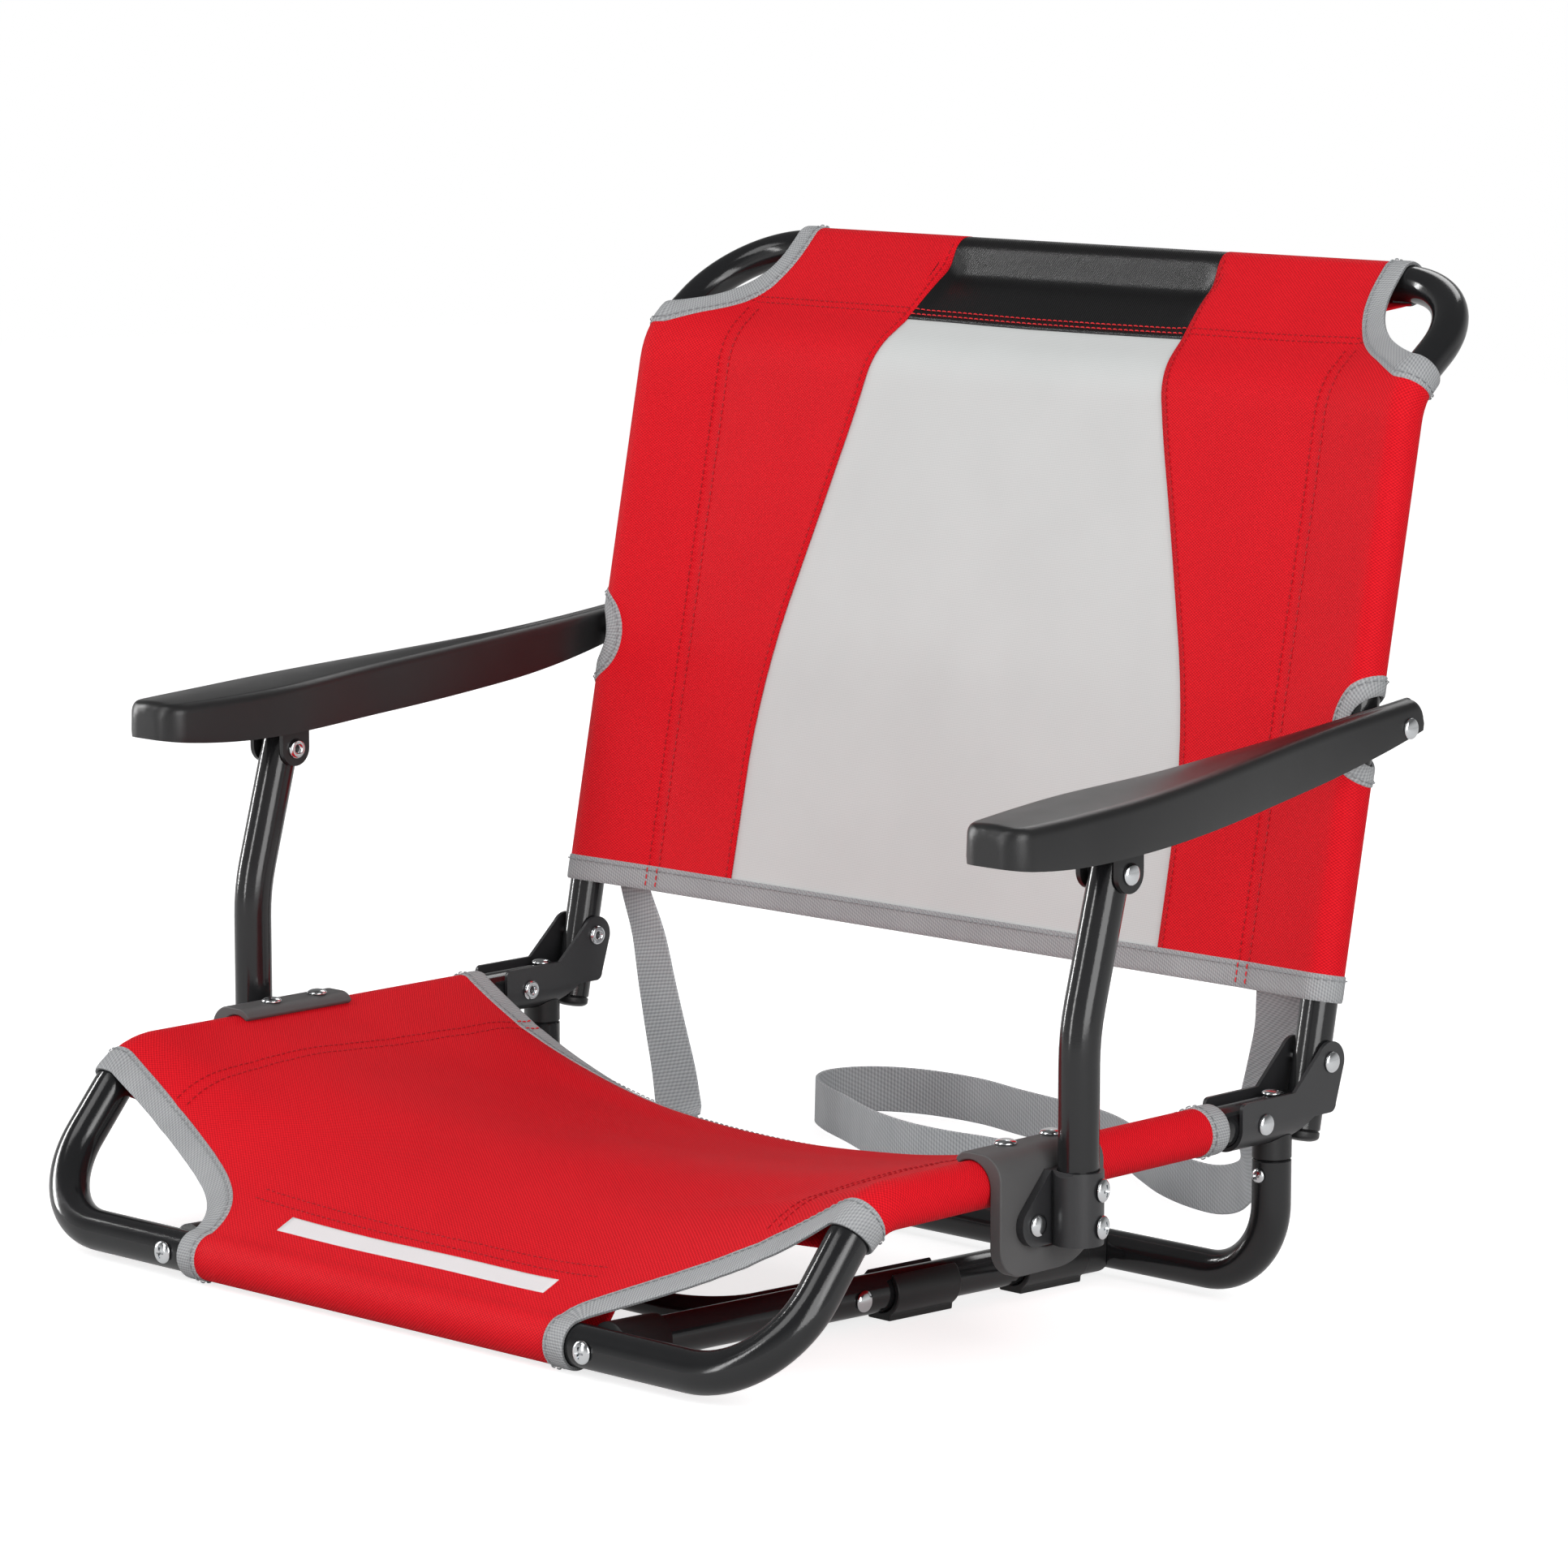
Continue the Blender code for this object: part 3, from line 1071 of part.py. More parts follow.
def build_side_panel(label, side, finish, parent):
    """A side panel: a sleeve round the back tube with an armhole, and a sleeve over the top bar."""
    bm = bmesh.new()
    s_bar = top_bar_s()
    sheet_columns = 5
    wrap = arc((0, 0), BACK_SLEEVE_RADIUS, FLAP_TANGENT, -90, 10)
    seam = flap_line()[1]
    rows = []
    for s in panel_levels():
        row = []
        row.append(back_place(side * (RAIL_X + seam.x), s, seam.y))
        for x, n in wrap[:-1]:
            row.append(back_place(side * (RAIL_X + x), s, n))
        inner = mesh_half_width(s) + FIT
        for column in range(sheet_columns + 1):
            x = RAIL_X + (inner - RAIL_X) * column / sheet_columns
            row.append(back_place(side * x, s, cover_depth(x)))
        rows.append([bm.verts.new(point) for point in row])
    open_from = 2
    open_to = 9
    levels = panel_levels()
    for index, (low, high) in enumerate(zip(rows, rows[1:])):
        in_armhole = ARMHOLE_FROM_S <= levels[index] < ARMHOLE_TO_S
        for k, (a, b, c, d) in enumerate(zip(low, low[1:], high[1:], high)):
            if in_armhole and open_from <= k < open_to:
                continue
            bm.faces.new((a, b, c, d))
    sheet = rows[-1][len(wrap):]
    steps = 4
    for step in range(1, steps + 1):
        t = step / steps
        s = SLEEVE_TOP_S + (s_bar - SLEEVE_TOP_S) * t
        outer = PANEL_TOP_HALF_WIDTH + (RAIL_X - PANEL_TOP_HALF_WIDTH) * (1 - t) ** 2.4
        inner = mesh_half_width(s) + FIT
        xs = [outer + (inner - outer) * column / sheet_columns for column in range(sheet_columns + 1)]
        upper = [bm.verts.new(back_place(side * x, s, cover_depth(x))) for x in xs]
        if step == steps:
            for vert, x in zip(upper, xs):
                vert.co = back_place(side * x, s, -BACK_SLEEVE_RADIUS)
        for a, b, c, d in zip(sheet, sheet[1:], upper[1:], upper):
            bm.faces.new((a, b, c, d))
        sheet = upper
    top_sleeve(bm, sheet, [side * x for x in xs])
    bmesh.ops.delete(bm, geom=[vert for vert in bm.verts if not vert.link_faces], context="VERTS")
    panel = add(f"back_side_panel_{label}", bm, finish, parent, BACK_PIVOT)
    solidify(panel, FABRIC)


def build_mesh_panel(finish, parent):
    """The middle of the back cover, sewn between the side panels, with its own top sleeve."""
    bm = bmesh.new()
    columns = 6
    s_bar = top_bar_s()
    levels = panel_levels() + [SLEEVE_TOP_S + (s_bar - SLEEVE_TOP_S) * t for t in (0.33, 0.66, 1.0)]
    rows = []
    xs = []
    for s in levels:
        xs = across(mesh_half_width(s) - FIT, columns)
        depth = [-BACK_SLEEVE_RADIUS if s == s_bar else cover_depth(x) for x in xs]
        rows.append([bm.verts.new(back_place(x, s, n)) for x, n in zip(xs, depth)])
    for low, high in zip(rows, rows[1:]):
        for a, b, c, d in zip(low, low[1:], high[1:], high):
            bm.faces.new((a, b, c, d))
    top_sleeve(bm, rows[-1], xs)
    panel = add("back_mesh_panel", bm, finish, parent, BACK_PIVOT)
    solidify(panel, FABRIC)


# The strap's route behind the chair from left to right: x as a share of the strap ends' x, distance behind
# those ends as a share of the strap's depth, height as a share of the hem's above the floor stretch, and
# how far the webbing has turned from hanging flat (0) to standing on its edge (1)
STRAP_ROUTE = (
    (-1.005, 0.028, 0.865, 0.00),
    (-1.016, 0.071, 0.714, 0.00),
    (-1.030, 0.119, 0.540, 0.00),
    (-1.041, 0.171, 0.367, 0.12),
    (-1.039, 0.228, 0.201, 0.40),
    (-1.007, 0.285, 0.076, 0.75),
    (-0.929, 0.323, 0.012, 0.95),
    (-0.811, 0.323, 0.000, 1.00),
    (-0.638, 0.285, 0.000, 1.00),
    (-0.433, 0.242, 0.000, 1.00),
    (-0.205, 0.209, 0.000, 1.00),
    (0.023, 0.200, 0.000, 1.00),
    (0.205, 0.228, 0.000, 1.00),
    (0.282, 0.304, 0.000, 1.00),
    (0.219, 0.380, 0.000, 1.00),
    (0.036, 0.409, 0.000, 1.00),
    (-0.173, 0.400, 0.000, 1.00),
    (-0.301, 0.385, 0.000, 1.00),
    (-0.437, 0.395, 0.000, 1.00),
    (-0.592, 0.447, 0.000, 1.00),
    (-0.765, 0.542, 0.000, 1.00),
    (-0.925, 0.628, 0.000, 1.00),
    (-1.016, 0.709, 0.000, 1.00),
    (-1.048, 0.804, 0.000, 1.00),
    (-1.007, 0.914, 0.000, 1.00),
    (-0.893, 0.985, 0.000, 1.00),
    (-0.720, 1.000, 0.000, 1.00),
    (-0.551, 0.961, 0.000, 1.00),
    (-0.401, 0.933, 0.000, 1.00),
    (-0.246, 0.904, 0.000, 1.00),
    (-0.109, 0.838, 0.000, 1.00),
    (0.023, 0.738, 0.000, 1.00),
    (0.164, 0.638, 0.000, 1.00),
    (0.301, 0.571, 0.000, 1.00),
    (0.428, 0.523, 0.012, 1.00),
    (0.542, 0.461, 0.065, 0.92),
    (0.629, 0.385, 0.148, 0.70),
    (0.711, 0.300, 0.284, 0.40),
    (0.793, 0.214, 0.457, 0.15),
    (0.879, 0.133, 0.654, 0.00),
    (0.948, 0.066, 0.827, 0.00),
)


def flap_line():
    """The back cover's seam flap in section, behind the cloth: its ends as (x from the tube, depth)."""
    outer = arc((0, 0), BACK_SLEEVE_RADIUS, FLAP_TANGENT, FLAP_TANGENT, 1)[0]
    inner = (-BACK_FLAP, cover_depth(RAIL_X - BACK_FLAP) + FABRIC + FLAP_GAP)
    return Vector(outer), Vector(inner)


def strap_end(side, s):
    """A point of the strap sewn behind the flap, and the flap's run inwards, in the base frame."""
    outer, inner = flap_line()
    run = (inner - outer).normalized()
    share = (outer.x + STRAP_INSET) / (outer.x - inner.x)
    middle = outer.lerp(inner, share) + Vector((run.y, -run.x)) * (FABRIC / 2 + FIT + STRAP_THICKNESS / 2)
    pitched = Matrix.Rotation(PITCH, 3, "X")
    place = pitched @ back_place(side * (RAIL_X + middle.x), s, middle.y)
    inwards = pitched @ (Vector((side * run.x, 0, 0)) + LEAN_REAR * run.y)
    return place, inwards


def smooth_route(points, spacing):
    """Points at about the given spacing on a smooth curve through the route's own points."""
    made = []
    last = len(points) - 1
    for index in range(last):
        p0, p1, p2, p3 = (points[min(last, max(0, index + k))] for k in (-1, 0, 1, 2))
        steps = max(1, round((p2.xyz - p1.xyz).length / spacing))
        for step in range(steps):
            t = step / steps
            made.append(0.5 * ((p1 * 2) + (p2 - p0) * t + (p0 * 2 - p1 * 5 + p2 * 4 - p3) * t ** 2
                               + (p1 * 3 - p0 - p2 * 3 + p3) * t ** 3))
    made.append(points[last])
    return made


def strap_route():
    """The whole route in the base frame; the fourth value is the webbing's turn."""
    hem, _ = strap_end(1, HEM_S)
    floor = STRAP_WIDTH / 2 + STRAP_FLOOR_GAP - FLOOR_TO_BASE_AXIS
    sewn = [HEM_S + STRAP_SEAM * share for share in (1, 0.5, 0)]
    route = [Vector((*strap_end(-1, s)[0], 0)) for s in sewn]
    for x, behind, height, turn in STRAP_ROUTE:
        z = floor + (hem.z - floor) * height
        route.append(Vector((x * hem.x, hem.y + behind * STRAP_DEPTH, z, turn)))
    route += [Vector((*strap_end(1, s)[0], 0)) for s in reversed(sewn)]
    return route


def build_strap(finish, parent):
    """Flat webbing that hangs from the hem's ends and stands on its edge on the floor behind."""
    line = smooth_route(strap_route(), STRAP_SPACING)
    path = [point.xyz for point in line]
    bm = bmesh.new()
    rings = []
    for point, centre, direction in zip(line, path, tangents(path)):
        inwards = strap_end(1 if point.x > 0 else -1, HEM_S)[1]
        turn = smooth(point.w)
        width = inwards * (1 - turn) + AXES["Z"] * turn
        width = (width - direction * width.dot(direction)).normalized()
        half_w = width * STRAP_WIDTH / 2
        half_t = direction.cross(width).normalized() * STRAP_THICKNESS / 2
        corners = (half_w + half_t, half_t - half_w, -half_w - half_t, half_w - half_t)
        rings.append([bm.verts.new(centre + corner) for corner in corners])
    for low, high in zip(rings, rings[1:]):
        for k in range(4):
            j = (k + 1) % 4
            bm.faces.new((low[k], low[j], high[j], high[k]))
    bm.faces.new(rings[0])
    bm.faces.new(rings[-1])
    add("carry_strap", bm, finish, parent)


def build_chair():
    clear_scene()
    black_paint = material("black_powder_coat", (0.025, 0.026, 0.028), 0.32)
    black_plastic = material("black_plastic", (0.03, 0.03, 0.031), 0.45)
    charcoal = material("charcoal_plastic", (0.045, 0.043, 0.042), 0.5)
    zinc = material("bright_zinc", (0.72, 0.74, 0.76), 0.25, 1.0)
    red_cloth = material("red_polyester", (0.58, 0.008, 0.018), 0.8)
    grey_mesh = material("light_mesh", (0.66, 0.65, 0.64), 0.7)
    webbing = material("grey_webbing", (0.26, 0.28, 0.29), 0.85)

    base = empty("base_axis", None, ORIGIN_SHIFT)
    seat = empty("seat_axis", base, (0, 0, 0), PITCH)
    back = empty("back_fold_axis", seat, BACK_PIVOT)
    hook = empty("hook_axis", base, (0, HOOK_AXLE_Y, 0))

    build_seat_frame(black_paint, seat)
    build_rear_legs(black_paint, black_plastic, zinc, seat)
    build_base(black_paint, black_plastic, zinc, base)
    build_bench_hook(black_paint, hook)
    build_hinge_brackets(black_paint, zinc, seat)
    build_back_frame(black_paint, black_plastic, back)
    build_saddle_plates(charcoal, zinc, seat)
    for label, side in SIDES:
        support = empty(f"support_axis_{label}", seat, SUPPORT_PIVOT)
        build_arm_support(label, side, black_paint, zinc, seat, support)
        arm = empty(f"armrest_axis_{label}", back, LINK)
        build_armrest(label, side, black_plastic, zinc, arm)
        build_side_panel(label, side, red_cloth, back)
    build_seat_sling(red_cloth, seat)
    build_mesh_panel(grey_mesh, back)
    build_strap(webbing, base)


build_chair()
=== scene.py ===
"""Looks of the folding stadium chair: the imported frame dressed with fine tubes, moulded parts, bright
fasteners, sewn cloth with taped edges and stitching, and a webbing carry strap.

Metres, +Z up, front towards -Y. Most shapes are written in the seat frame, whose rails are level and whose
origin is the front bar's axis; SEAT pitches it onto the floor, and BASE places what lies level below it.
"""
import json
from math import atan2, cos, exp, hypot, pi, radians, sin, sqrt, tan

import bmesh
import bpy
from mathutils import Matrix, Vector, noise


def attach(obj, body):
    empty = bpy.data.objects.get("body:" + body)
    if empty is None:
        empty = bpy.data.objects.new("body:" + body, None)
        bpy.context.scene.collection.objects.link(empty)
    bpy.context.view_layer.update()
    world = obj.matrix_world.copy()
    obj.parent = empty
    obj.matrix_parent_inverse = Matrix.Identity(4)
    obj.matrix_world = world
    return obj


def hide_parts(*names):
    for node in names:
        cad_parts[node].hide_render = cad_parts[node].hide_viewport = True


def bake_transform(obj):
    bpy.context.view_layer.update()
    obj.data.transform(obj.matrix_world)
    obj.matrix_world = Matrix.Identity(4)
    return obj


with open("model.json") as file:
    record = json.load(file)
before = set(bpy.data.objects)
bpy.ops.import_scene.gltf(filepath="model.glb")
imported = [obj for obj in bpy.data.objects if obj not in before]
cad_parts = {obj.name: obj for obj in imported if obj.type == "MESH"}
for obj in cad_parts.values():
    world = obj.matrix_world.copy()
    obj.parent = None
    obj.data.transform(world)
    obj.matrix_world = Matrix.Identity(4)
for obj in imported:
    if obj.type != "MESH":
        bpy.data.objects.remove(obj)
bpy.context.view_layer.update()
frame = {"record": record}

# The front bar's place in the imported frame
FRONT_BAR_Y = -0.243122

# Fits and sheet thicknesses
FIT = 0.0003
STEEL_SHEET = 0.002
FABRIC = 0.0008
SLEEVE_EASE = 0.0007

# Seat frame tube: rails, drooping front legs and the front bar
SEAT_RADIUS = 0.010
RAIL_X = 0.249
RAIL_Z = 0.070
FRONT_RUN = 0.060
FRONT_FOLD_RADIUS = 0.040
FRONT_CORNER_RADIUS = 0.048
RAIL_END_GAP = 0.0008

# Rear leg frame
LEG_RADIUS = 0.0095
LEG_Y = 0.346
REAR_DROP = 0.011
LEG_CORNER_RADIUS = 0.038
LEG_TOP_Z = 0.049
LEG_SCREW_Z = 0.042
LEG_SCREW_TIP = 0.0071

# Base rails, their saddles and foot pads
BASE_RADIUS = 0.0095
BASE_X = 0.143
SADDLE_WALL = 0.0017
FRONT_SADDLE_END = 0.036
REAR_SADDLE_LENGTH = 0.0155
SADDLE_WEB = 0.0054
SADDLE_LIP = 0.003
PAD_LENGTH = 0.044
FRONT_PAD_Y = 0.208
REAR_PAD_BEFORE_LEG = 0.045
PAD_WALL = 0.0027
PAD_BELOW_TUBE = 0.0038
PAD_FOOT_HALF_WIDTH = 0.007
PAD_OPEN_ANGLE = 50

# Bench hook
HOOK_RADIUS = 0.00635
HOOK_AXLE_Y = 0.165
HOOK_REACH = 0.077
HOOK_TAIL = 0.013
HOOK_CORNER_RADIUS = 0.030
HOOK_SIDE_GAP = 0.0004

# Back frame
BACK_RADIUS = 0.009
BACK_PIVOT = Vector((0, 0.375, 0.093))
BACK_LEAN = radians(11.5)
BACK_LENGTH = 0.322
TOP_LENGTH = 0.0787
TOP_BEND = radians(43)
TOP_FOLD_RADIUS = 0.035
TOP_CORNER_RADIUS = 0.050
BACK_TAIL = 0.034
CAP_LENGTH = 0.0055

# Hinge brackets
BRACKET_FRONT_Y = 0.309
BRACKET_TOP = 0.012
BRACKET_TOP_BEHIND_LEG = 0.002
BRACKET_HEEL_DROP = 0.0015
BRACKET_HEEL_RADIUS = 0.004
BRACKET_HEEL_BEHIND_LEG = 0.017
BRACKET_FLOOR_BEHIND_LEG = 0.003
BRACKET_RIVET_Y = 0.326
EAR_RADIUS = 0.010

# Arm linkage
LINK = Vector((0, 0.0387, 0.158))
SUPPORT_PIVOT = Vector((0, 0.1513, 0.052))
ARM_RADIUS = 0.0095
ARM_TUBE_Y = 0.170
ARM_TUBE_BOTTOM_Z = 0.043
ARM_BEND_Z = 0.138
ARM_BEND_RADIUS = 0.100
ARM_TUBE_OVERRUN = 0.007

# Saddle plates on the rails
PLATE_FRONT_Y = 0.131
PLATE_REAR_Y = 0.202
PLATE_BOTTOM_Z = 0.0285
PLATE_TOP = 0.0155
PLATE_SIDE = 0.0185
PLATE_INNER = 0.01185
PLATE_SHOULDER_RADIUS = 0.012
PLATE_ROLL = 0.008
PLATE_FRONT_CORNER = 0.015
PLATE_REAR_CORNER = 0.031
PLATE_RIVET_YS = (0.155, 0.186)
SLOT_CENTRE = (0.013, -0.006)
SLOT_HALF_SIZE = (0.0125, 0.006)

# Arm brackets
EAR_PLIES = 2
COLLAR_BOTTOM_Z = 0.042
COLLAR_TOP_Z = 0.076
CLAMP_SCREW_ZS = (0.0505, 0.0675)
CLAMP_SCREW_ANGLE = radians(15)

# Armrests
ARMREST_TIP_Y = 0.103
ARMREST_BEHIND_PIVOT = 0.0103
ARMREST_UNDERSIDE_Z = 0.218
ARMREST_RISE = 0.024
ARMREST_HEIGHT = 0.0225
ARMREST_CROWN = 0.004
ARMREST_FRONT_INNER_REACH = 0.0236
ARMREST_FRONT_OUTER_REACH = 0.0224
ARMREST_REAR_GAP = 0.004
ARMREST_REAR_WIDTH = 0.0135
ARMREST_NARROW_FROM_Y = 0.165
ARMREST_NARROW_TO_Y = 0.390
ARMREST_INNER_NARROW_TO_Y = 0.250
ARMREST_NOSE_RADIUS = 0.011
ARMREST_INNER_FLARE = 0.010
ARMREST_INNER_FLARE_RUN = 0.090
ARMREST_OUTER_FLARE = 0.002
ARMREST_OUTER_FLARE_RUN = 0.040
ARMREST_NOSE_TUCK = 0.0040
ARMREST_NOSE_TUCK_RUN = 0.060
ARMREST_REAR_TUCK = 0.0065
ARMREST_REAR_TUCK_RUN = 0.090
ARMREST_WALL = 0.0026
ARMREST_EDGE_RADIUS = 0.0055
ARMREST_TOP_CROWN = 0.0008
ARMREST_LIP = (0.0006, 0.0040)
ARMREST_LIP_FLARE = 0.0004
ARMREST_STATIONS = (12, 60, 6)
ARMREST_STATION_POWER = 1.25
LUG_THICKNESS = 0.0026
LUG_RADIUS = 0.009
LUG_GAP = 0.0004

# Fasteners
RIVET_SHANK = 0.003
RIVET_HEAD_RADIUS = 0.0052
RIVET_HEAD_HEIGHT = 0.0024
SCREW_SHANK = 0.0025
SCREW_HEAD_RADIUS = 0.0055
SCREW_HEAD_HEIGHT = 0.0026
SMALL_SCREW_HEAD_RADIUS = 0.0036
SMALL_SCREW_HEAD_HEIGHT = 0.0020
SMALL_SCREW_SHANK = 0.002

# Seat sling
SLING_FRONT_Y = 0.079
SLEEVE_FRONT = 0.0485
SLING_REAR_Y = 0.300
SLING_REAR_SCALLOP = 0.013
SLING_CREST = (
    (0.034, 0.024), (0.080, 0.039), (0.130, 0.048), (0.200, 0.0405), (0.245, 0.0355), (0.270, 0.0335),
    (0.290, 0.022),
)
SLING_POWER = 2.25
SLING_FRONT_POWER = 3.4
SLING_FRONT_HALF_WIDTH = 0.131
SLING_SCALLOP_POWERS = {1: 1.38, -1: 2.3}
SLING_DEPARTURE = 118
SLEEVE_SEAM_ANGLE = -85
SLEEVE_FLAP = 0.044
FRONT_FLAP = 0.034
FRONT_WRAP = 230
FLAP_GAP = 0.0019
SEAT_FLAP = 0.040
FRONT_FLAP_ROWS = (0.030, 0.015)
SLEEVE_BLEND = 0.02
SLEEVE_BLEND_POWER = 6

# Back cover
HEM_S = 0.0285
ARMHOLE_S = 0.159
ARMHOLE_HALF_HEIGHT = 0.0175
ARMHOLE_FRONT_ANGLE = -85
SLEEVE_TOP_S = 0.336
PANEL_TOP_HALF_WIDTH = 0.203
MESH_HEM_HALF_WIDTH = 0.146
MESH_WAIST_S = 0.145
MESH_WAIST_HALF_WIDTH = 0.1445
MESH_NECK_S = 0.325
MESH_NECK_HALF_WIDTH = 0.094
MESH_TOP_HALF_WIDTH = 0.087
MESH_LAP = 0.008
MESH_TOP_S = 0.356
MESH_EASE = 0.042
BLACK_SLEEVE_S = 0.3475
BACK_CREASE = 0.0092
BACK_SAG = 0.002
BAR_RECESS = (
    (0.000, 0.0000), (0.004, 0.0009), (0.008, 0.0042), (0.0125, 0.0088), (0.017, 0.0108), (0.023, 0.0101),
    (0.030, 0.0094), (0.040, 0.0092),
)
BACK_FLAP = 0.047
BAR_WRAP = 216
TOP_FLAP = 0.026
FLAP_TANGENT = 110
PANEL_FLAP = 0.036
BAR_FLAP = 0.024
PANEL_TOP_POWER = 3.0
MESH_LIFT = -0.0011
BLACK_SLEEVE_LIFT = -0.0002
BLACK_SLEEVE_LAP = 0.006
RECESS_EDGE_INSET = 0.006
RECESS_EDGE_FADE = 0.016
RECESS_FOOT_FADE = 0.004
BACK_SAG_FADE = 0.05

# Slack of the cloth, and how far stitches draw and pucker it
SLACK = 0.0011
SIDE_SLACK_FADE = 0.03
FRONT_SLACK_FADE = 0.02
BAR_SLACK_FADE = 0.04
SEAM_DRAW = 0.0004
FRONT_SEAM_DRAW = 0.0003
SEAM_DRAW_WIDTH = 0.004
PUCKER_WIDTH = 0.010

# Tape, stitches and label
TAPE_WIDTH = 0.012
HEM_TAPE_WIDTH = 0.0125
ARMHOLE_TAPE_WIDTH = 0.0095
TAPE_HALF_THICKNESS = 0.0011
STITCH_LENGTH = 0.0026
STITCH_PITCH = 0.0036
STITCH_RADIUS = 0.00036
# Rings of one stitch: share of its half length, height over the cloth and size in thread radii
STITCH_RINGS = ((-1, -0.6, 0.4), (-0.75, 0.25, 0.9), (0, 0.6, 1.0), (0.75, 0.25, 0.9), (1, -0.6, 0.4))
SEAM_X = 0.2045
FRONT_SEAM_X = 0.118
SEAM_GAP = 0.007
THREAD_GAP = 0.0037
LABEL_X = (-0.085, 0.096)
LABEL_Y = (0.0115, 0.0217)
LABEL_LIFT = 0.00015
LABEL_THICKNESS = 0.0003
SEAT_SEAM_FRONT_Y = 0.054
BACK_SEAM_OVERRUN = 0.012
TACK_INSET = 0.0012
TACK_SHIFT = 0.0002
EDGE_STITCH_INSET = 0.003
TAPE_STITCH_INSET = 0.0022
BRIGHT_LIFT = 0.0002

# Carry strap
STRAP_WIDTH = 0.0254
STRAP_THICKNESS = 0.0016
STRAP_SPACING = 0.006
STRAP_INSET = 0.029
STRAP_SEAM = 0.018
STRAP_FLOOR_GAP = 0.001
STRAP_DEPTH = 0.210
STRAP_LEFT_TWIST = radians(42)
STRAP_EDGE = 0.0006

# The photograph's camera, in the seat frame
CAMERA_AZIMUTH = radians(43.6)
CAMERA_ELEVATION = radians(8.75)
CAMERA_DISTANCE = 3.0033
CAMERA_TARGET = Vector((0, 0.271, 0.211))
CAMERA_LENS = 140.5
CAMERA_SENSOR = 36.0

# Light
FLOOR_HALF_SIZE = 6.0
FLOOR_ROUGHNESS = 0.9
FLOOR_GLOW = 0.77
FLOOR_COLOUR = (0.55, 0.55, 0.55, 1)
FLOOR_GLOW_IN_GLOSS = 0.25
SURROUND = 0.42
HORIZON_IN_GLOSS = 0.60
OVERHEAD_IN_GLOSS = 0.15
GLOSS_FADE = (0.05, 0.45)
LAMP_TARGET = (0, 0.05, 0.2)
LAMPS = (
    ("key", (-0.6, -2.2, 2.4), (1.6, 1.2), 17),
    ("left_strip", (-0.55, -2.35, 0.80), (0.30, 1.5), 14),
    ("rim_strip", (-2.3, -0.75, 0.80), (0.25, 1.5), 11),
    ("front", (2.25, -0.95, 0.90), (1.4, 1.7), 32),
    ("side", (2.4, -0.4, 1.6), (0.9, 1.8), 10),
    ("rear", (-0.8, 2.2, 2.2), (1.6, 1.0), 15),
)
# Strip lamps that are seen in gloss alone
STREAKS = (
    ("rim_streak", (-2.3, -0.75, 0.80), (0.16, 1.5), 24),
)

# Mesh resolution
TUBE_SIDES = 40
HEAD_SIDES = 28
BORE_SIDES = 48
RAIL_CUT_SIDES = 64
HOOK_SIDES = 32
THREAD_SIDES = 6
ARMHOLE_SIDES = 72
ARMHOLE_ROWS = 26
BEND_STEP = radians(4)
CLOTH_STEP = 0.004
SLEEVE_STEP = 0.0014
BAR_WRAP_STEP = 0.0016
FRONT_STEP = 0.0032
PANEL_TOP_STEP = 0.003
BAR_SLEEVE_STEP = 0.002
LABEL_STEPS = (0.003, 0.001)
EDGE_STEP = 0.0015
HEM_STEP = 0.002
CORNER_STEP = 0.0012
TAPE_STEP = 0.0018
NORMAL_STEP = 0.0004
LOOK_AHEAD = 0.0005
BEVEL_ANGLE = radians(35)
SHARP_ANGLE = radians(40)

# Eased edges of the rigid parts
TUBE_END_ROUND = 0.0006
HOOK_END_ROUND = 0.0012
SADDLE_EDGE = 0.0004
CAP_EDGE = 0.0005
HINGE_BRACKET_EDGE = 0.0005
HINGE_BRACKET_CORNER = 0.003
PLUG_EDGE = 0.0006
PAD_EDGE = 0.0007
PLATE_EDGE = 0.0008
ARM_BRACKET_EDGE = 0.0008

# Derived places
BASE_RUN = hypot(LEG_Y, REAR_DROP)
PITCH = atan2(REAR_DROP, LEG_Y)
SLEEVE_RADIUS = SEAT_RADIUS + SLEEVE_EASE + FABRIC / 2
BACK_SLEEVE_RADIUS = BACK_RADIUS + SLEEVE_EASE + FABRIC / 2
SPAN = RAIL_X + SLEEVE_RADIUS * cos(radians(SLING_DEPARTURE))
REAR_PAD_Y = BASE_RUN - REAR_PAD_BEFORE_LEG
ARM_LUG = SUPPORT_PIVOT + LINK
ARM_REAR = BACK_PIVOT + LINK
ARMREST_END_Y = ARM_REAR.y + ARMREST_BEHIND_PIVOT
LEAN_UP = Vector((0, sin(BACK_LEAN), cos(BACK_LEAN)))
LEAN_REAR = Vector((0, cos(BACK_LEAN), -sin(BACK_LEAN)))
TOP_UP = Vector((0, sin(BACK_LEAN + TOP_BEND), cos(BACK_LEAN + TOP_BEND)))
BACK_FOLD = BACK_PIVOT + LEAN_UP * BACK_LENGTH
TOP_BAR = BACK_FOLD + TOP_UP * TOP_LENGTH
FOLD_REACH = TOP_FOLD_RADIUS * tan(TOP_BEND / 2)
BAR_S = BACK_LENGTH + TOP_LENGTH - 2 * FOLD_REACH + TOP_FOLD_RADIUS * TOP_BEND
FRONT_DROOP = atan2(RAIL_Z, FRONT_RUN)
RAIL_BEND_Y = FRONT_RUN + FRONT_FOLD_RADIUS * tan(FRONT_DROOP / 2)
PLATE_OUTER_X = RAIL_X + PLATE_SIDE
COLLAR_RADIUS = ARM_RADIUS + FIT + STEEL_SHEET
ARM_X = PLATE_OUTER_X + FIT + COLLAR_RADIUS
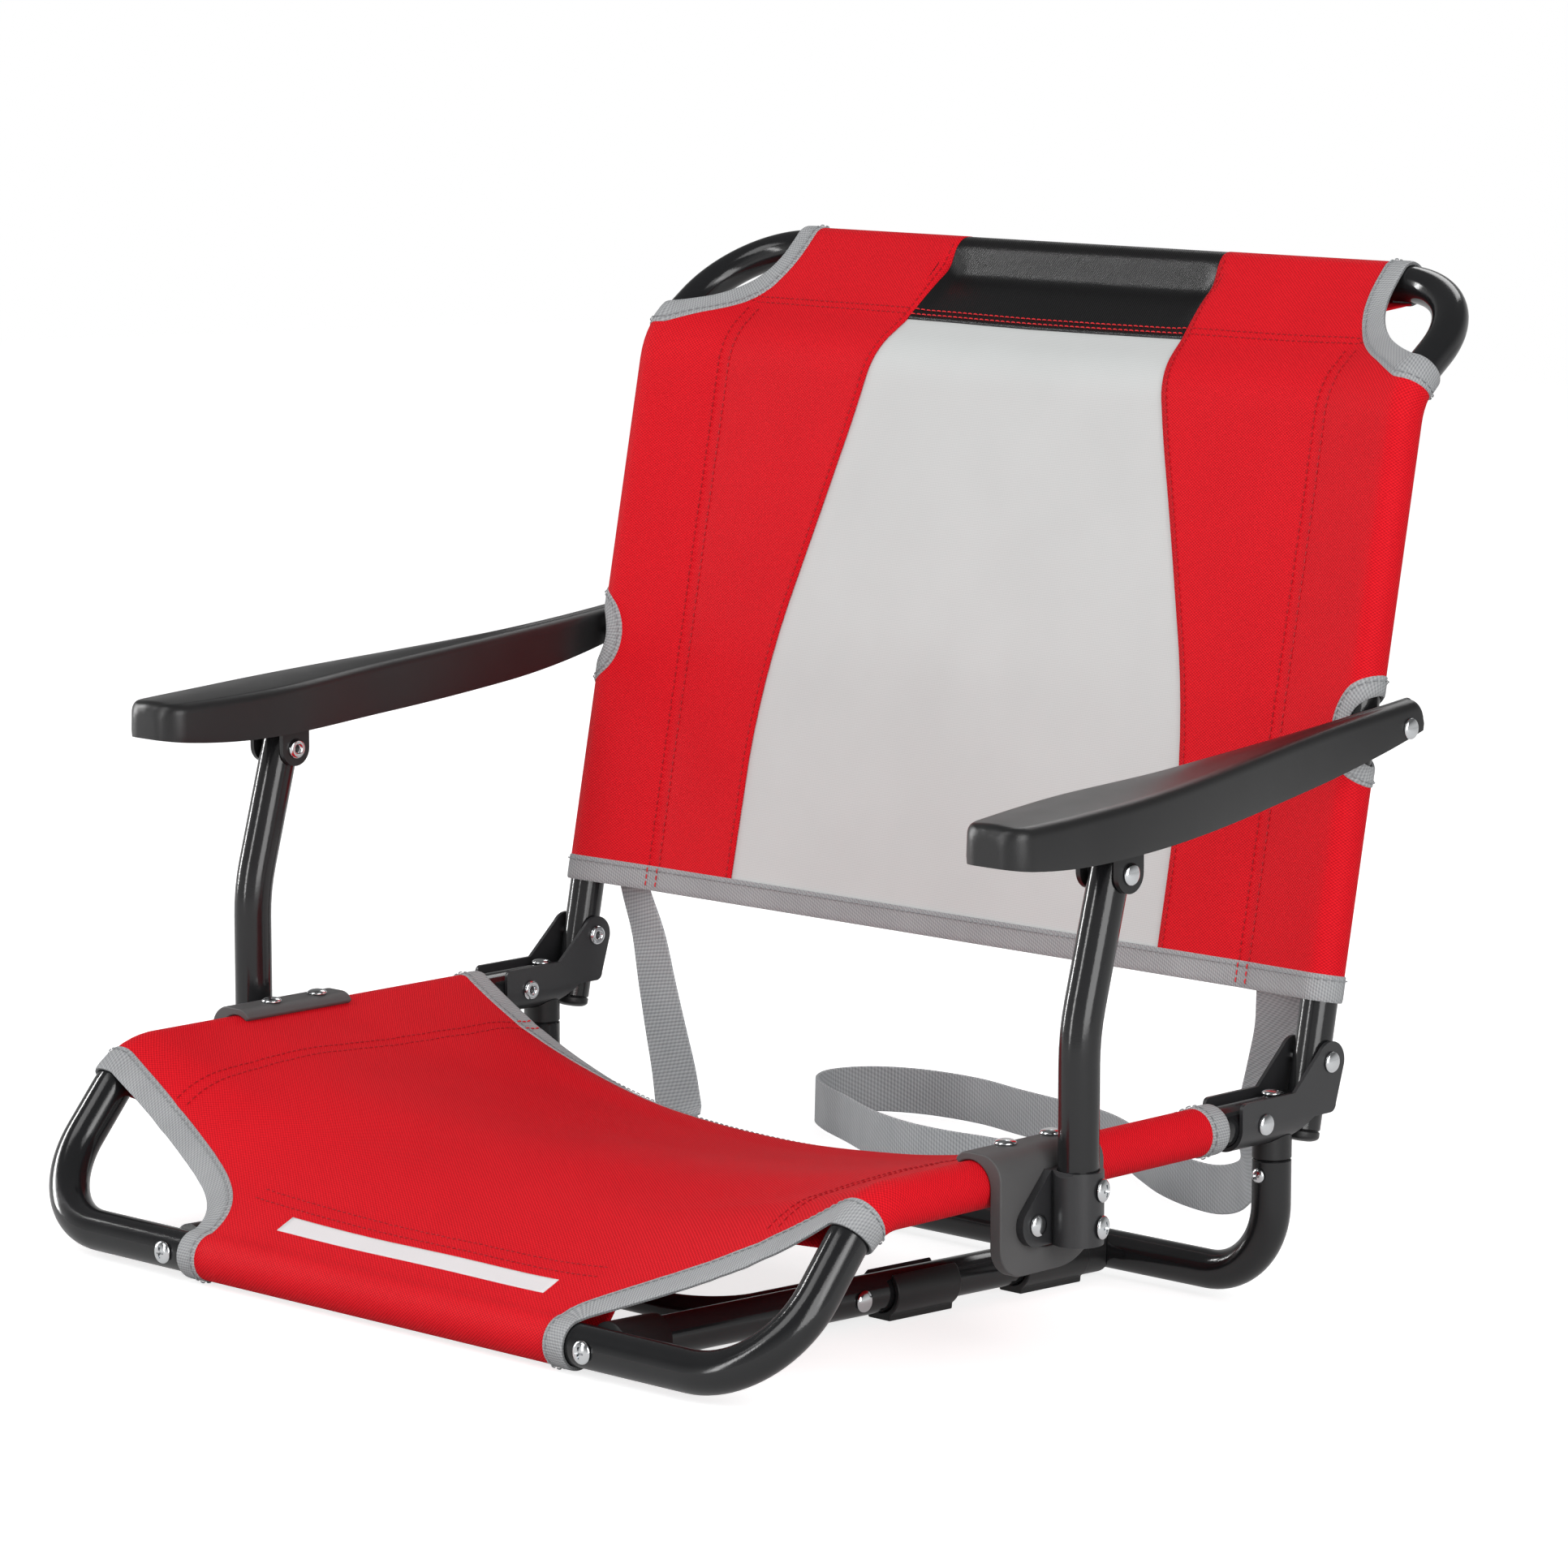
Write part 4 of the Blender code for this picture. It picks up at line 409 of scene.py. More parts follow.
ARMREST_FRONT_INNER_X = ARM_X - ARMREST_FRONT_INNER_REACH
ARMREST_FRONT_OUTER_X = ARM_X + ARMREST_FRONT_OUTER_REACH
ARMREST_REAR_INNER_X = RAIL_X + BACK_RADIUS + ARMREST_REAR_GAP
ARMREST_REAR_OUTER_X = ARMREST_REAR_INNER_X + ARMREST_REAR_WIDTH
EAR_OUTER_X = PLATE_OUTER_X + FIT + EAR_PLIES * STEEL_SHEET
BRACKET_INNER = SEAT_RADIUS + FIT
BRACKET_OUTER = BRACKET_INNER + STEEL_SHEET
HOOK_X = BASE_X - BASE_RADIUS - HOOK_SIDE_GAP - HOOK_RADIUS
FLOOR_TO_BASE_AXIS = BASE_RADIUS + PAD_BELOW_TUBE
TAIL_FOOT = BACK_PIVOT - LEAN_UP * BACK_TAIL
RAIL_END_Y = TAIL_FOOT.y - BACK_RADIUS / cos(BACK_LEAN) - RAIL_END_GAP
ORIGIN_SHIFT = Vector((0, FRONT_BAR_Y, FLOOR_TO_BASE_AXIS))

BASE = Matrix.Translation(ORIGIN_SHIFT)
SEAT = BASE @ Matrix.Rotation(PITCH, 4, "X")
SIDES = (("right", 1), ("left", -1))
X_AXIS = Vector((1, 0, 0))
Z_AXIS = Vector((0, 0, 1))
BODY_OF = {node: body for body, nodes in frame["record"]["behaviour"]["bodies"].items() for node in nodes}


# Node materials

def put(tree, socket, value):
    """Links a socket to another one, or sets it to a plain value."""
    if isinstance(value, bpy.types.NodeSocket):
        tree.links.new(value, socket)
    else:
        socket.default_value = value


class Finish:
    """A node material under construction around its Principled shader."""

    def __init__(self, name, slot, **values):
        self.material = bpy.data.materials.new(name)
        self.material.use_nodes = True
        self.material["slot"] = slot
        self.tree = self.material.node_tree
        self.shader = self.tree.nodes["Principled BSDF"]
        for socket, value in values.items():
            self.shader.inputs[socket.replace("_", " ")].default_value = value

    def node(self, kind, **inputs):
        made = self.tree.nodes.new(kind)
        for socket, value in inputs.items():
            put(self.tree, made.inputs[socket.replace("_", " ")], value)
        return made

    def math(self, operation, first, second=0.0):
        made = self.tree.nodes.new("ShaderNodeMath")
        made.operation = operation
        put(self.tree, made.inputs[0], first)
        put(self.tree, made.inputs[1], second)
        return made.outputs[0]

    def place(self):
        return self.node("ShaderNodeTexCoord").outputs["Object"]

    def flat(self):
        """The cloth's own coordinates in metres."""
        split = self.node("ShaderNodeSeparateXYZ", Vector=self.node("ShaderNodeUVMap").outputs["UV"])
        return split.outputs["X"], split.outputs["Y"]

    def noise(self, scale, detail=2.0):
        made = self.node("ShaderNodeTexNoise", Vector=self.place(), Scale=scale, Detail=detail)
        return made.outputs["Fac"]

    def wave(self, along, pitch):
        """A wave between 0 and 1 with the given pitch in metres."""
        turned_value = self.math("SINE", self.math("MULTIPLY", along, 2 * pi / pitch))
        return self.math("MULTIPLY", self.math("ADD", turned_value, 1.0), 0.5)

    def shade(self, factor, dark, light):
        mix = self.tree.nodes.new("ShaderNodeMix")
        mix.data_type = "RGBA"
        put(self.tree, mix.inputs["Factor"], factor)
        for socket in mix.inputs:
            if socket.type == "RGBA" and socket.name in ("A", "B"):
                socket.default_value = (*(dark if socket.name == "A" else light), 1)
        colour = [socket for socket in mix.outputs if socket.type == "RGBA"][0]
        put(self.tree, self.shader.inputs["Base Color"], colour)

    def weigh(self, *parts):
        """The sum of values times their weights."""
        total = self.math("MULTIPLY", *parts[0])
        for value, weight in parts[1:]:
            total = self.math("ADD", total, self.math("MULTIPLY", value, weight))
        return total

    def cloud(self):
        """An uneven dye."""
        return self.noise(22.0, 3.0)

    def slub(self):
        """Thicker and thinner threads."""
        return self.noise(900.0, 1.0)

    def rough(self, factor, low, high):
        span = self.node("ShaderNodeMapRange", Value=factor, To_Min=low, To_Max=high)
        put(self.tree, self.shader.inputs["Roughness"], span.outputs["Result"])

    def relief(self, height, distance, strength=1.0):
        bump = self.node("ShaderNodeBump", Height=height, Distance=distance, Strength=strength)
        put(self.tree, self.shader.inputs["Normal"], bump.outputs["Normal"])


def grained(name, slot, dark, light, roughness, grain, depth, **values):
    """Paint, moulded plastic or plated metal: a cloudy colour and a fine grain."""
    made = Finish(name, slot, **values)
    made.shade(made.noise(35.0, 4.0), dark, light)
    made.rough(made.noise(60.0, 5.0), *roughness)
    made.relief(made.noise(grain), depth)
    return made.material


def twill(name, slot, dark, light, pitch, **values):
    """Smooth fine cloth whose ribs run across the bias, with slubs and a cloudy dye."""
    made = Finish(name, slot, **values)
    u, v = made.flat()
    rib = made.wave(made.math("ADD", u, v), pitch)
    thread = made.wave(made.math("SUBTRACT", u, made.math("MULTIPLY", v, 0.6)), pitch * 0.62)
    weave = made.weigh((rib, 0.65), (thread, 0.35))
    made.shade(made.weigh((weave, 0.5), (made.cloud(), 0.35), (made.slub(), 0.15)), dark, light)
    made.rough(weave, 0.34, 0.22)
    made.relief(weave, 0.00010, 0.6)
    return made.material


def basket(name, slot, dark, light, pitch, **values):
    """Coarse plain weave: rows of short floats set like bricks, with slubs and a cloudy dye."""
    made = Finish(name, slot, **values)
    u, v = made.flat()
    sway = made.math("MULTIPLY", made.math("SUBTRACT", made.noise(300.0, 1.0), 0.5), 0.0006)
    across = made.math("SINE", made.math("MULTIPLY", made.math("ADD", u, sway), 2 * pi / pitch[0]))
    along = made.math("SINE", made.math("MULTIPLY", v, 2 * pi / pitch[1]))
    cell = made.math("ADD", made.math("MULTIPLY", made.math("MULTIPLY", across, along), 0.5), 0.5)
    made.shade(made.weigh((cell, 0.66), (made.cloud(), 0.12), (made.slub(), 0.22)), dark, light)
    made.rough(cell, 0.7, 0.55)
    made.relief(cell, 0.00022, 0.8)
    return made.material


def ribbed(name, slot, dark, light, pitch, **values):
    """Narrow webbing: ribs across its run, broken into picks."""
    made = Finish(name, slot, **values)
    u, v = made.flat()
    rib = made.wave(u, pitch)
    pick = made.wave(made.math("ADD", v, made.math("MULTIPLY", u, 0.5)), pitch * 1.3)
    weave = made.weigh((rib, 0.6), (pick, 0.4))
    made.shade(made.weigh((weave, 0.7), (made.noise(40.0), 0.3)), dark, light)
    made.rough(weave, 0.7, 0.85)
    made.relief(weave, 0.0003, 0.8)
    return made.material


def netting(name, slot, dark, light, pitch, **values):
    """Fine knitted mesh: rows of small holes, shown as darker dots between lighter threads."""
    made = Finish(name, slot, **values)
    u, v = made.flat()
    gap = made.math("ADD", 0.5, made.math("MULTIPLY", made.wave(u, pitch), 0.5))
    hole = made.math("MULTIPLY", made.wave(v, pitch * 0.8), gap)
    thread = made.math("ADD", 0.75, made.math("MULTIPLY", made.noise(18.0, 3.0), 0.4))
    made.shade(made.math("SUBTRACT", thread, made.math("MULTIPLY", hole, 0.6)), dark, light)
    made.rough(hole, 0.55, 0.75)
    made.relief(hole, 0.0002, -0.5)
    return made.material


PAINT = grained("black_powder_coat", "black_paint", (0.0095, 0.0097, 0.0105), (0.0135, 0.0138, 0.0148),
                (0.10, 0.17), 1500.0, 0.00003, Specular_IOR_Level=0.5)
STAMPED = grained("black_stamped_steel", "black_paint", (0.018, 0.018, 0.0195), (0.026, 0.026, 0.028),
                  (0.30, 0.40), 1800.0, 0.00004, Specular_IOR_Level=0.6)
PLASTIC = grained("black_moulded_plastic", "black_plastic", (0.0125, 0.0125, 0.0130),
                  (0.0180, 0.0180, 0.0186), (0.29, 0.37), 2600.0, 0.00005, Specular_IOR_Level=0.42)
CHARCOAL = grained("charcoal_plastic", "charcoal_plastic", (0.074, 0.0725, 0.073), (0.094, 0.092, 0.093),
                   (0.46, 0.58), 2200.0, 0.00006, Specular_IOR_Level=0.3)
ZINC = grained("bright_zinc", "bright_zinc", (0.66, 0.68, 0.70), (0.78, 0.79, 0.80),
               (0.10, 0.20), 3000.0, 0.00001, Metallic=1.0)
RED = basket("red_oxford_cloth", "red_cloth", (0.36, 0.0030, 0.0085), (0.94, 0.0150, 0.0250),
             (0.0020, 0.0015), Specular_IOR_Level=0.05)
BLACK_CLOTH = twill("black_sleeve_cloth", "black_paint", (0.003, 0.003, 0.0033), (0.011, 0.011, 0.0115),
                    0.0009, Specular_IOR_Level=0.34)
TAPE = ribbed("grey_binding_tape", "grey_webbing", (0.20, 0.206, 0.214), (0.49, 0.497, 0.507), 0.0013,
              Specular_IOR_Level=0.2)
WEBBING = ribbed("grey_webbing", "grey_webbing", (0.26, 0.275, 0.29), (0.62, 0.635, 0.65), 0.0019,
                 Specular_IOR_Level=0.2)
NET = netting("light_mesh", "light_mesh", (0.476, 0.487, 0.483), (0.624, 0.638, 0.633), 0.0011,
              Specular_IOR_Level=0.2)
THREAD = grained("red_thread", "red_cloth", (0.62, 0.010, 0.016), (0.80, 0.020, 0.028),
                 (0.5, 0.65), 4000.0, 0.00004, Specular_IOR_Level=0.3)
# A darker copy of the red thread for the stitches sunk into the red cloth: its darkness is painted shade of
# their dimples
SHADED_THREAD = grained("shaded_red_thread", "red_cloth", (0.32, 0.0030, 0.007), (0.44, 0.005, 0.011),
                      (0.5, 0.65), 4000.0, 0.00004, Specular_IOR_Level=0.2)
GREY_THREAD = grained("grey_thread", "grey_webbing", (0.24, 0.255, 0.265), (0.36, 0.375, 0.385),
                      (0.6, 0.75), 4000.0, 0.00004, Specular_IOR_Level=0.3)
LABEL = netting("white_label", "light_mesh", (0.66, 0.62, 0.63), (0.80, 0.77, 0.78), 0.0007,
                Specular_IOR_Level=0.2)


# Mesh making

def smooth(t):
    t = min(1.0, max(0.0, t))
    return t * t * (3 - 2 * t)


def piece(name, bm, finish, body, nodes=(), where=SEAT, bevel=0.0):
    """A visible piece from a mesh in seat or base coordinates, on its body and in place of its nodes."""
    bmesh.ops.transform(bm, matrix=where, verts=bm.verts)
    mesh = bpy.data.meshes.new(name)
    bm.to_mesh(mesh)
    bm.free()
    mesh.shade_smooth()
    mesh.materials.append(finish)
    made = bpy.data.objects.new(name, mesh)
    bpy.context.collection.objects.link(made)
    if bevel:
        modifier = made.modifiers.new("Edges", "BEVEL")
        modifier.width = bevel
        modifier.segments = 2
        modifier.limit_method = "ANGLE"
        modifier.angle_limit = BEVEL_ANGLE
        modifier.harden_normals = True
    else:
        mesh.set_sharp_from_angle(angle=SHARP_ANGLE)
    if body:
        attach(made, body)
    if nodes:
        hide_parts(*nodes)
    return made


def stand_in(node, bm, finish, where=SEAT, bevel=0.0):
    """A finer body in the place of one rigid CAD node."""
    bmesh.ops.recalc_face_normals(bm, faces=bm.faces)
    return piece(f"fine_{node}", bm, finish, BODY_OF[node], [node], where, bevel)


def boolean(bm, tool, operation):
    """The first body cut by, joined to or kept inside the second; both are used up."""
    bodies = []
    for body in (bm, tool):
        bmesh.ops.recalc_face_normals(body, faces=body.faces)
        mesh = bpy.data.meshes.new("working_body")
        body.to_mesh(mesh)
        body.free()
        made = bpy.data.objects.new("working_body", mesh)
        bpy.context.collection.objects.link(made)
        bodies.append(made)
    modifier = bodies[0].modifiers.new("Boolean", "BOOLEAN")
    modifier.operation = operation
    modifier.solver = "EXACT"
    modifier.object = bodies[1]
    result = bmesh.new()
    result.from_object(bodies[0], bpy.context.evaluated_depsgraph_get())
    for made in bodies:
        mesh = made.data
        bpy.data.objects.remove(made)
        bpy.data.meshes.remove(mesh)
    return result


def arc(centre, radius, start, end, steps):
    """Points of an arc in a plane; the angles are in degrees."""
    points = []
    for step in range(steps + 1):
        angle = radians(start + (end - start) * step / steps)
        points.append((centre[0] + radius * cos(angle), centre[1] + radius * sin(angle)))
    return points


def prism(outline, axis, low, high, bm=None):
    """Extrudes a plane outline along an axis; X takes (y, z) points, Y takes (x, z), Z takes (x, y)."""
    bm = bm or bmesh.new()
    place = {
        "X": lambda a, b, t: (t, a, b),
        "Y": lambda a, b, t: (a, t, b),
        "Z": lambda a, b, t: (a, b, t),
    }[axis]
    ends = [[bm.verts.new(place(a, b, level)) for a, b in outline] for level in (low, high)]
    bm.faces.new(ends[0])
    bm.faces.new(ends[1][::-1])
    count = len(outline)
    for i in range(count):
        j = (i + 1) % count
        bm.faces.new((ends[0][j], ends[0][i], ends[1][i], ends[1][j]))
    return bm


def frame_across(axis):
    """Two unit vectors across an axis."""
    helper = Z_AXIS if abs(axis.z) < 0.9 else X_AXIS
    first = axis.cross(helper).normalized()
    return first, axis.cross(first).normalized()


def skin(bm, rings, closed=True):
    """Faces between neighbouring rings of vertices."""
    for low, high in zip(rings, rings[1:]):
        count = len(low)
        for k in range(count if closed else count - 1):
            j = (k + 1) % count
            bm.faces.new((low[k], low[j], high[j], high[k]))


def cap(bm, rings):
    """Faces over both ends of a row of rings."""
    bm.faces.new(rings[0][::-1])
    bm.faces.new(rings[-1])


def flat_to_uv(bm, flat):
    """Gives each face corner the flat cloth coordinates of its vertex."""
    layer = bm.loops.layers.uv.new("flat")
    for face in bm.faces:
        for loop in face.loops:
            loop[layer].uv = loop.vert[flat].xy


def around(count):
    """Angles of a full turn in even steps."""
    return [2 * pi * k / count for k in range(count)]


def circle(bm, centre, first, second, radius, sides):
    """A ring of vertices round a centre, in the plane of two unit vectors."""
    return [bm.verts.new(centre + (first * cos(a) + second * sin(a)) * radius) for a in around(sides)]


def turned(profile, base, axis, sides=HEAD_SIDES, bm=None):
    """Revolves a profile of (distance along the axis, radius) points; its ends lie on the axis."""
    bm = bm or bmesh.new()
    axis = axis.normalized()
    first, second = frame_across(axis)
    rings = []
    for along, radius in profile:
        centre = base + axis * along
        if radius:
            rings.append(circle(bm, centre, first, second, radius, sides))
        else:
            rings.append([bm.verts.new(centre)])
    for low, high in zip(rings, rings[1:]):
        for k in range(sides):
            j = (k + 1) % sides
            corners = [low[k % len(low)], low[j % len(low)], high[j % len(high)], high[k % len(high)]]
            bm.faces.new(list(dict.fromkeys(corners)))
    return bm


def rod(start, end, radius, sides=HEAD_SIDES, bm=None):
    axis = end - start
    return turned([(0, 0), (0, radius), (axis.length, radius), (axis.length, 0)], start, axis, sides, bm)


def filleted(corners):
    """A path through corner points, each given with its bend radius."""
    path = [Vector(corners[0][0])]
    for (before, _), (corner, radius), (after, _) in zip(corners, corners[1:], corners[2:]):
        corner = Vector(corner)
        to_before = (Vector(before) - corner).normalized()
        to_after = (Vector(after) - corner).normalized()
        half = to_before.angle(to_after) / 2
        reach = radius / tan(half)
        centre = corner + (to_before + to_after).normalized() * (radius / sin(half))
        start = corner + to_before * reach - centre
        turn = pi - 2 * half
        axis = (-to_before).cross(to_after).normalized()
        steps = max(3, round(turn / BEND_STEP))
        for step in range(steps + 1):
            path.append(centre + Matrix.Rotation(turn * step / steps, 3, axis) @ start)
    path.append(Vector(corners[-1][0]))
    return path


def tangents(path):
    """Unit tangents of a path, turned half way at each of its points."""
    runs = [(b - a).normalized() for a, b in zip(path, path[1:])]
    middles = [(a + b).normalized() for a, b in zip(runs, runs[1:])]
    return [runs[0]] + middles + [runs[-1]]


def tube(path, radius, sides=TUBE_SIDES, end_round=TUBE_END_ROUND):
    """Sweeps a round section along a path without twist, with its two end edges eased."""
    bm = bmesh.new()
    directions = tangents(path)
    first, second = frame_across(directions[0])
    stations = []
    for index, (point, direction) in enumerate(zip(path, directions)):
        if index:
            turn = directions[index - 1].rotation_difference(direction)
            first = turn @ first
            second = turn @ second
        stations.append((point, first.copy(), second.copy(), radius))
    start, end = stations[0], stations[-1]
    inner_start = (start[0] + directions[0] * end_round, start[1], start[2], radius)
    inner_end = (end[0] - directions[-1] * end_round, end[1], end[2], radius)
    small = radius - end_round
    stations = [(*start[:3], small), inner_start] + stations[1:-1] + [inner_end, (*end[:3], small)]
    rings = [circle(bm, *station, sides) for station in stations]
    skin(bm, rings)
    cap(bm, rings)
    return bm


def domed_rivet(seat, far, shank, tail_head=True, head=RIVET_HEAD_RADIUS, height=RIVET_HEAD_HEIGHT):
    """A tubular rivet: a domed head on the point seat, a shank to the point far and a rolled end there."""
    axis = far - seat
    grip = axis.length
    profile = [(-height, 0)]
    for a, b in arc((0, 0), 1, 84, 6, 9):
        profile.append((-height * (0.12 + 0.88 * b), head * a))
    profile += [(-height * 0.12, head), (0, head * 0.97), (0, shank), (grip, shank)]
    if tail_head:
        for a, b in arc((0.66, 0), 0.34, 0, 180, 10):
            profile.append((grip + head * b, head * a))
        profile += [(grip - head * 0.3, head * 0.26), (grip - head * 0.3, 0)]
    else:
        profile.append((grip, 0))
    return turned(profile, seat, axis)


def cross_screw(seat, far, shank, head, height):
    """A pan-head screw with a cross recess in its head."""
    axis = (far - seat).normalized()
    first, second = frame_across(axis)
    body = domed_rivet(seat, far, shank, False, head, height)
    mouth = seat - axis * (height + FIT)
    floor = seat - axis * height * 0.3
    for long, short in ((first, second), (second, first)):
        recess = bmesh.new()
        ring_top = []
        ring_floor = []
        for a, b in ((1, 1), (-1, 1), (-1, -1), (1, -1)):
            ring_top.append(recess.verts.new(mouth + long * a * head * 0.62 + short * b * head * 0.13))
            ring_floor.append(recess.verts.new(floor + long * a * head * 0.3 + short * b * head * 0.09))
        skin(recess, [ring_top, ring_floor])
        recess.faces.new(ring_top)
        recess.faces.new(ring_floor[::-1])
        body = boolean(body, recess, "DIFFERENCE")
    return body


# Rigid parts

def rivet(name, seat, far, tail_head=True, where=SEAT):
    stand_in(name, domed_rivet(seat, far, RIVET_SHANK, tail_head), ZINC, where)


def u_path(right):
    """A bent tube's path, from the corners of its right half and their mirror images on the left."""
    left = [((-x, y, z), radius) for (x, y, z), radius in right]
    return filleted(left + right[::-1])


def dress_seat_frame():
    path = u_path([
        ((RAIL_X, RAIL_END_Y, RAIL_Z), 0),
        ((RAIL_X, FRONT_RUN, RAIL_Z), FRONT_FOLD_RADIUS),
        ((RAIL_X, 0, 0), FRONT_CORNER_RADIUS),
    ])
    stand_in("seat_frame", tube(path, SEAT_RADIUS), PAINT)


def dress_rear_legs():
    path = u_path([((RAIL_X, LEG_Y, LEG_TOP_Z), 0), ((RAIL_X, LEG_Y, -REAR_DROP), LEG_CORNER_RADIUS)])
    stand_in("rear_leg_frame", tube(path, LEG_RADIUS), PAINT)
    for label, side in SIDES:
        axis = Vector((side * RAIL_X, LEG_Y, 0))
        shoulder = LEG_TOP_Z + FIT
        top = RAIL_Z - BRACKET_OUTER / 2
        profile = [(shoulder, 0), (shoulder, LEG_RADIUS - PLUG_EDGE), (shoulder + PLUG_EDGE, LEG_RADIUS),
                   (top, LEG_RADIUS), (top, 0)]
        rail = Vector((axis.x, LEG_Y, RAIL_Z))
        along = Vector((0, 2 * LEG_RADIUS, 0))
        plug = boolean(turned(profile, axis, Z_AXIS, TUBE_SIDES),
                       rod(rail - along, rail + along, BRACKET_OUTER + FIT, RAIL_CUT_SIDES), "DIFFERENCE")
        stand_in(f"leg_plug_{label}", plug, PLASTIC)
        seat = axis + Vector((0, -LEG_RADIUS - FIT, LEG_SCREW_Z))
        tip = axis + Vector((0, -LEG_SCREW_TIP, LEG_SCREW_Z))
        screw = cross_screw(seat, tip, SMALL_SCREW_SHANK, SMALL_SCREW_HEAD_RADIUS, SMALL_SCREW_HEAD_HEIGHT)
        stand_in(f"leg_screw_{label}", screw, ZINC)


def dress_base():
    for label, side in SIDES:
        x = side * BASE_X
        front = Vector((x, SEAT_RADIUS + FIT + SADDLE_WEB + FIT, 0))
        rear_start = BASE_RUN - LEG_RADIUS - FIT - REAR_SADDLE_LENGTH + SADDLE_LIP
        rear = Vector((x, BASE_RUN - LEG_RADIUS - FIT - SADDLE_WEB - FIT, 0))
        stand_in(f"base_rail_{label}", tube([front, rear], BASE_RADIUS), PAINT, BASE)
        dress_saddle(f"front_saddle_{label}", x, SEAT_RADIUS - SADDLE_LIP, FRONT_SADDLE_END, 0,
                     SEAT_RADIUS, front.y - FIT, FRONT_SADDLE_END + FIT)
        dress_saddle(f"rear_saddle_{label}", x, rear_start, BASE_RUN - LEG_RADIUS + SADDLE_LIP,
                     BASE_RUN, LEG_RADIUS, rear_start - FIT, rear.y + FIT)
        seat = Vector((x, -SEAT_RADIUS - FIT, 0))
        tip = Vector((x, front.y - 2 * FIT, 0))
        screw = cross_screw(seat, tip, SCREW_SHANK, SCREW_HEAD_RADIUS, SCREW_HEAD_HEIGHT)
        stand_in(f"front_screw_{label}", screw, ZINC, BASE)
        for place, y in (("front", FRONT_PAD_Y), ("rear", REAR_PAD_Y)):
            dress_pad(f"{place}_pad_{label}", x, y)
        outer = Vector((x + side * (BASE_RADIUS + FIT), HOOK_AXLE_Y, 0))
        inner = Vector((side * (HOOK_X - HOOK_RADIUS - FIT), HOOK_AXLE_Y, 0))
        rivet(f"hook_rivet_{label}", outer, inner, where=BASE)


def dress_saddle(name, x, start, end, bar_y, bar_radius, bore_start, bore_end):
    """A moulded end piece: a sleeve over the base rail with a face that fits the cross tube."""
    radius = BASE_RADIUS + FIT + SADDLE_WALL
    half = Vector((2 * SEAT_RADIUS, 0, 0))
    bar = Vector((x, bar_y, 0))
    body = rod(Vector((x, start, 0)), Vector((x, end, 0)), radius, BORE_SIDES)
    body = boolean(body, rod(bar - half, bar + half, bar_radius + FIT, BORE_SIDES), "DIFFERENCE")
    bore = rod(Vector((x, bore_start, 0)), Vector((x, bore_end, 0)), BASE_RADIUS + FIT, BORE_SIDES)
    stand_in(name, boolean(body, bore, "DIFFERENCE"), PLASTIC, BASE, SADDLE_EDGE)


def dress_pad(name, x, y):
    """A clip-on foot: a C that snaps round the base rail, with a flat sole."""
    inside = BASE_RADIUS + FIT
    outside = inside + PAD_WALL
    outline = arc((x, 0), outside, 180 - PAD_OPEN_ANGLE, 235, 20)
    outline += [(x + edge * PAD_FOOT_HALF_WIDTH, -FLOOR_TO_BASE_AXIS) for edge in (-1, 1)]
    outline += arc((x, 0), outside, 305, 360 + PAD_OPEN_ANGLE, 20)
    outline += arc((x, 0), inside, 360 + PAD_OPEN_ANGLE, 180 - PAD_OPEN_ANGLE, 40)
    body = prism(outline, "Y", y - PAD_LENGTH / 2, y + PAD_LENGTH / 2)
    stand_in(name, body, PLASTIC, BASE, PAD_EDGE)


def dress_bench_hook():
    front = HOOK_AXLE_Y - HOOK_REACH
    tail = HOOK_AXLE_Y + HOOK_TAIL
    path = u_path([((HOOK_X, tail, 0), 0), ((HOOK_X, front, 0), HOOK_CORNER_RADIUS)])
    stand_in("bench_hook", tube(path, HOOK_RADIUS, HOOK_SIDES, HOOK_END_ROUND), PAINT, BASE)


def bracket_section(x):
    """The bracket's U section round the rail, with walls up past the ears."""
    wall_top = BACK_PIVOT.z + 2 * EAR_RADIUS
    outline = [(x - BRACKET_OUTER, wall_top)]
    outline += arc((x, RAIL_Z), BRACKET_OUTER, 180, 360, 36)
    outline += [(x + BRACKET_OUTER, wall_top), (x + BRACKET_INNER, wall_top)]
    outline += arc((x, RAIL_Z), BRACKET_INNER, 360, 180, 36)
    outline += [(x - BRACKET_INNER, wall_top)]
    return outline


def bracket_side_outline():
    """The bracket seen from the side: a sleeve along the rail and an ear rising to the pivot."""
    pivot = (BACK_PIVOT.y, BACK_PIVOT.z)
    below = RAIL_Z - 2 * BRACKET_OUTER
    top = RAIL_Z + BRACKET_TOP
    heel = RAIL_Z - BRACKET_HEEL_DROP
    floor_end = LEG_Y + BRACKET_FLOOR_BEHIND_LEG
    corner = HINGE_BRACKET_CORNER
    outline = [(BRACKET_FRONT_Y, below), (BRACKET_FRONT_Y, top - corner)]
    outline += arc((BRACKET_FRONT_Y + corner, top - corner), corner, 180, 90, 6)[1:]
    outline += [(LEG_Y + BRACKET_TOP_BEHIND_LEG, top)]
    outline += arc(pivot, EAR_RADIUS, 142, -12, 30)
    outline += arc((BACK_PIVOT.y, heel + BRACKET_HEEL_RADIUS), BRACKET_HEEL_RADIUS, 0, -90, 8)
    outline += [(LEG_Y + BRACKET_HEEL_BEHIND_LEG, heel)]
    outline += [(floor_end, RAIL_Z - BRACKET_INNER), (floor_end, below)]
    return outline


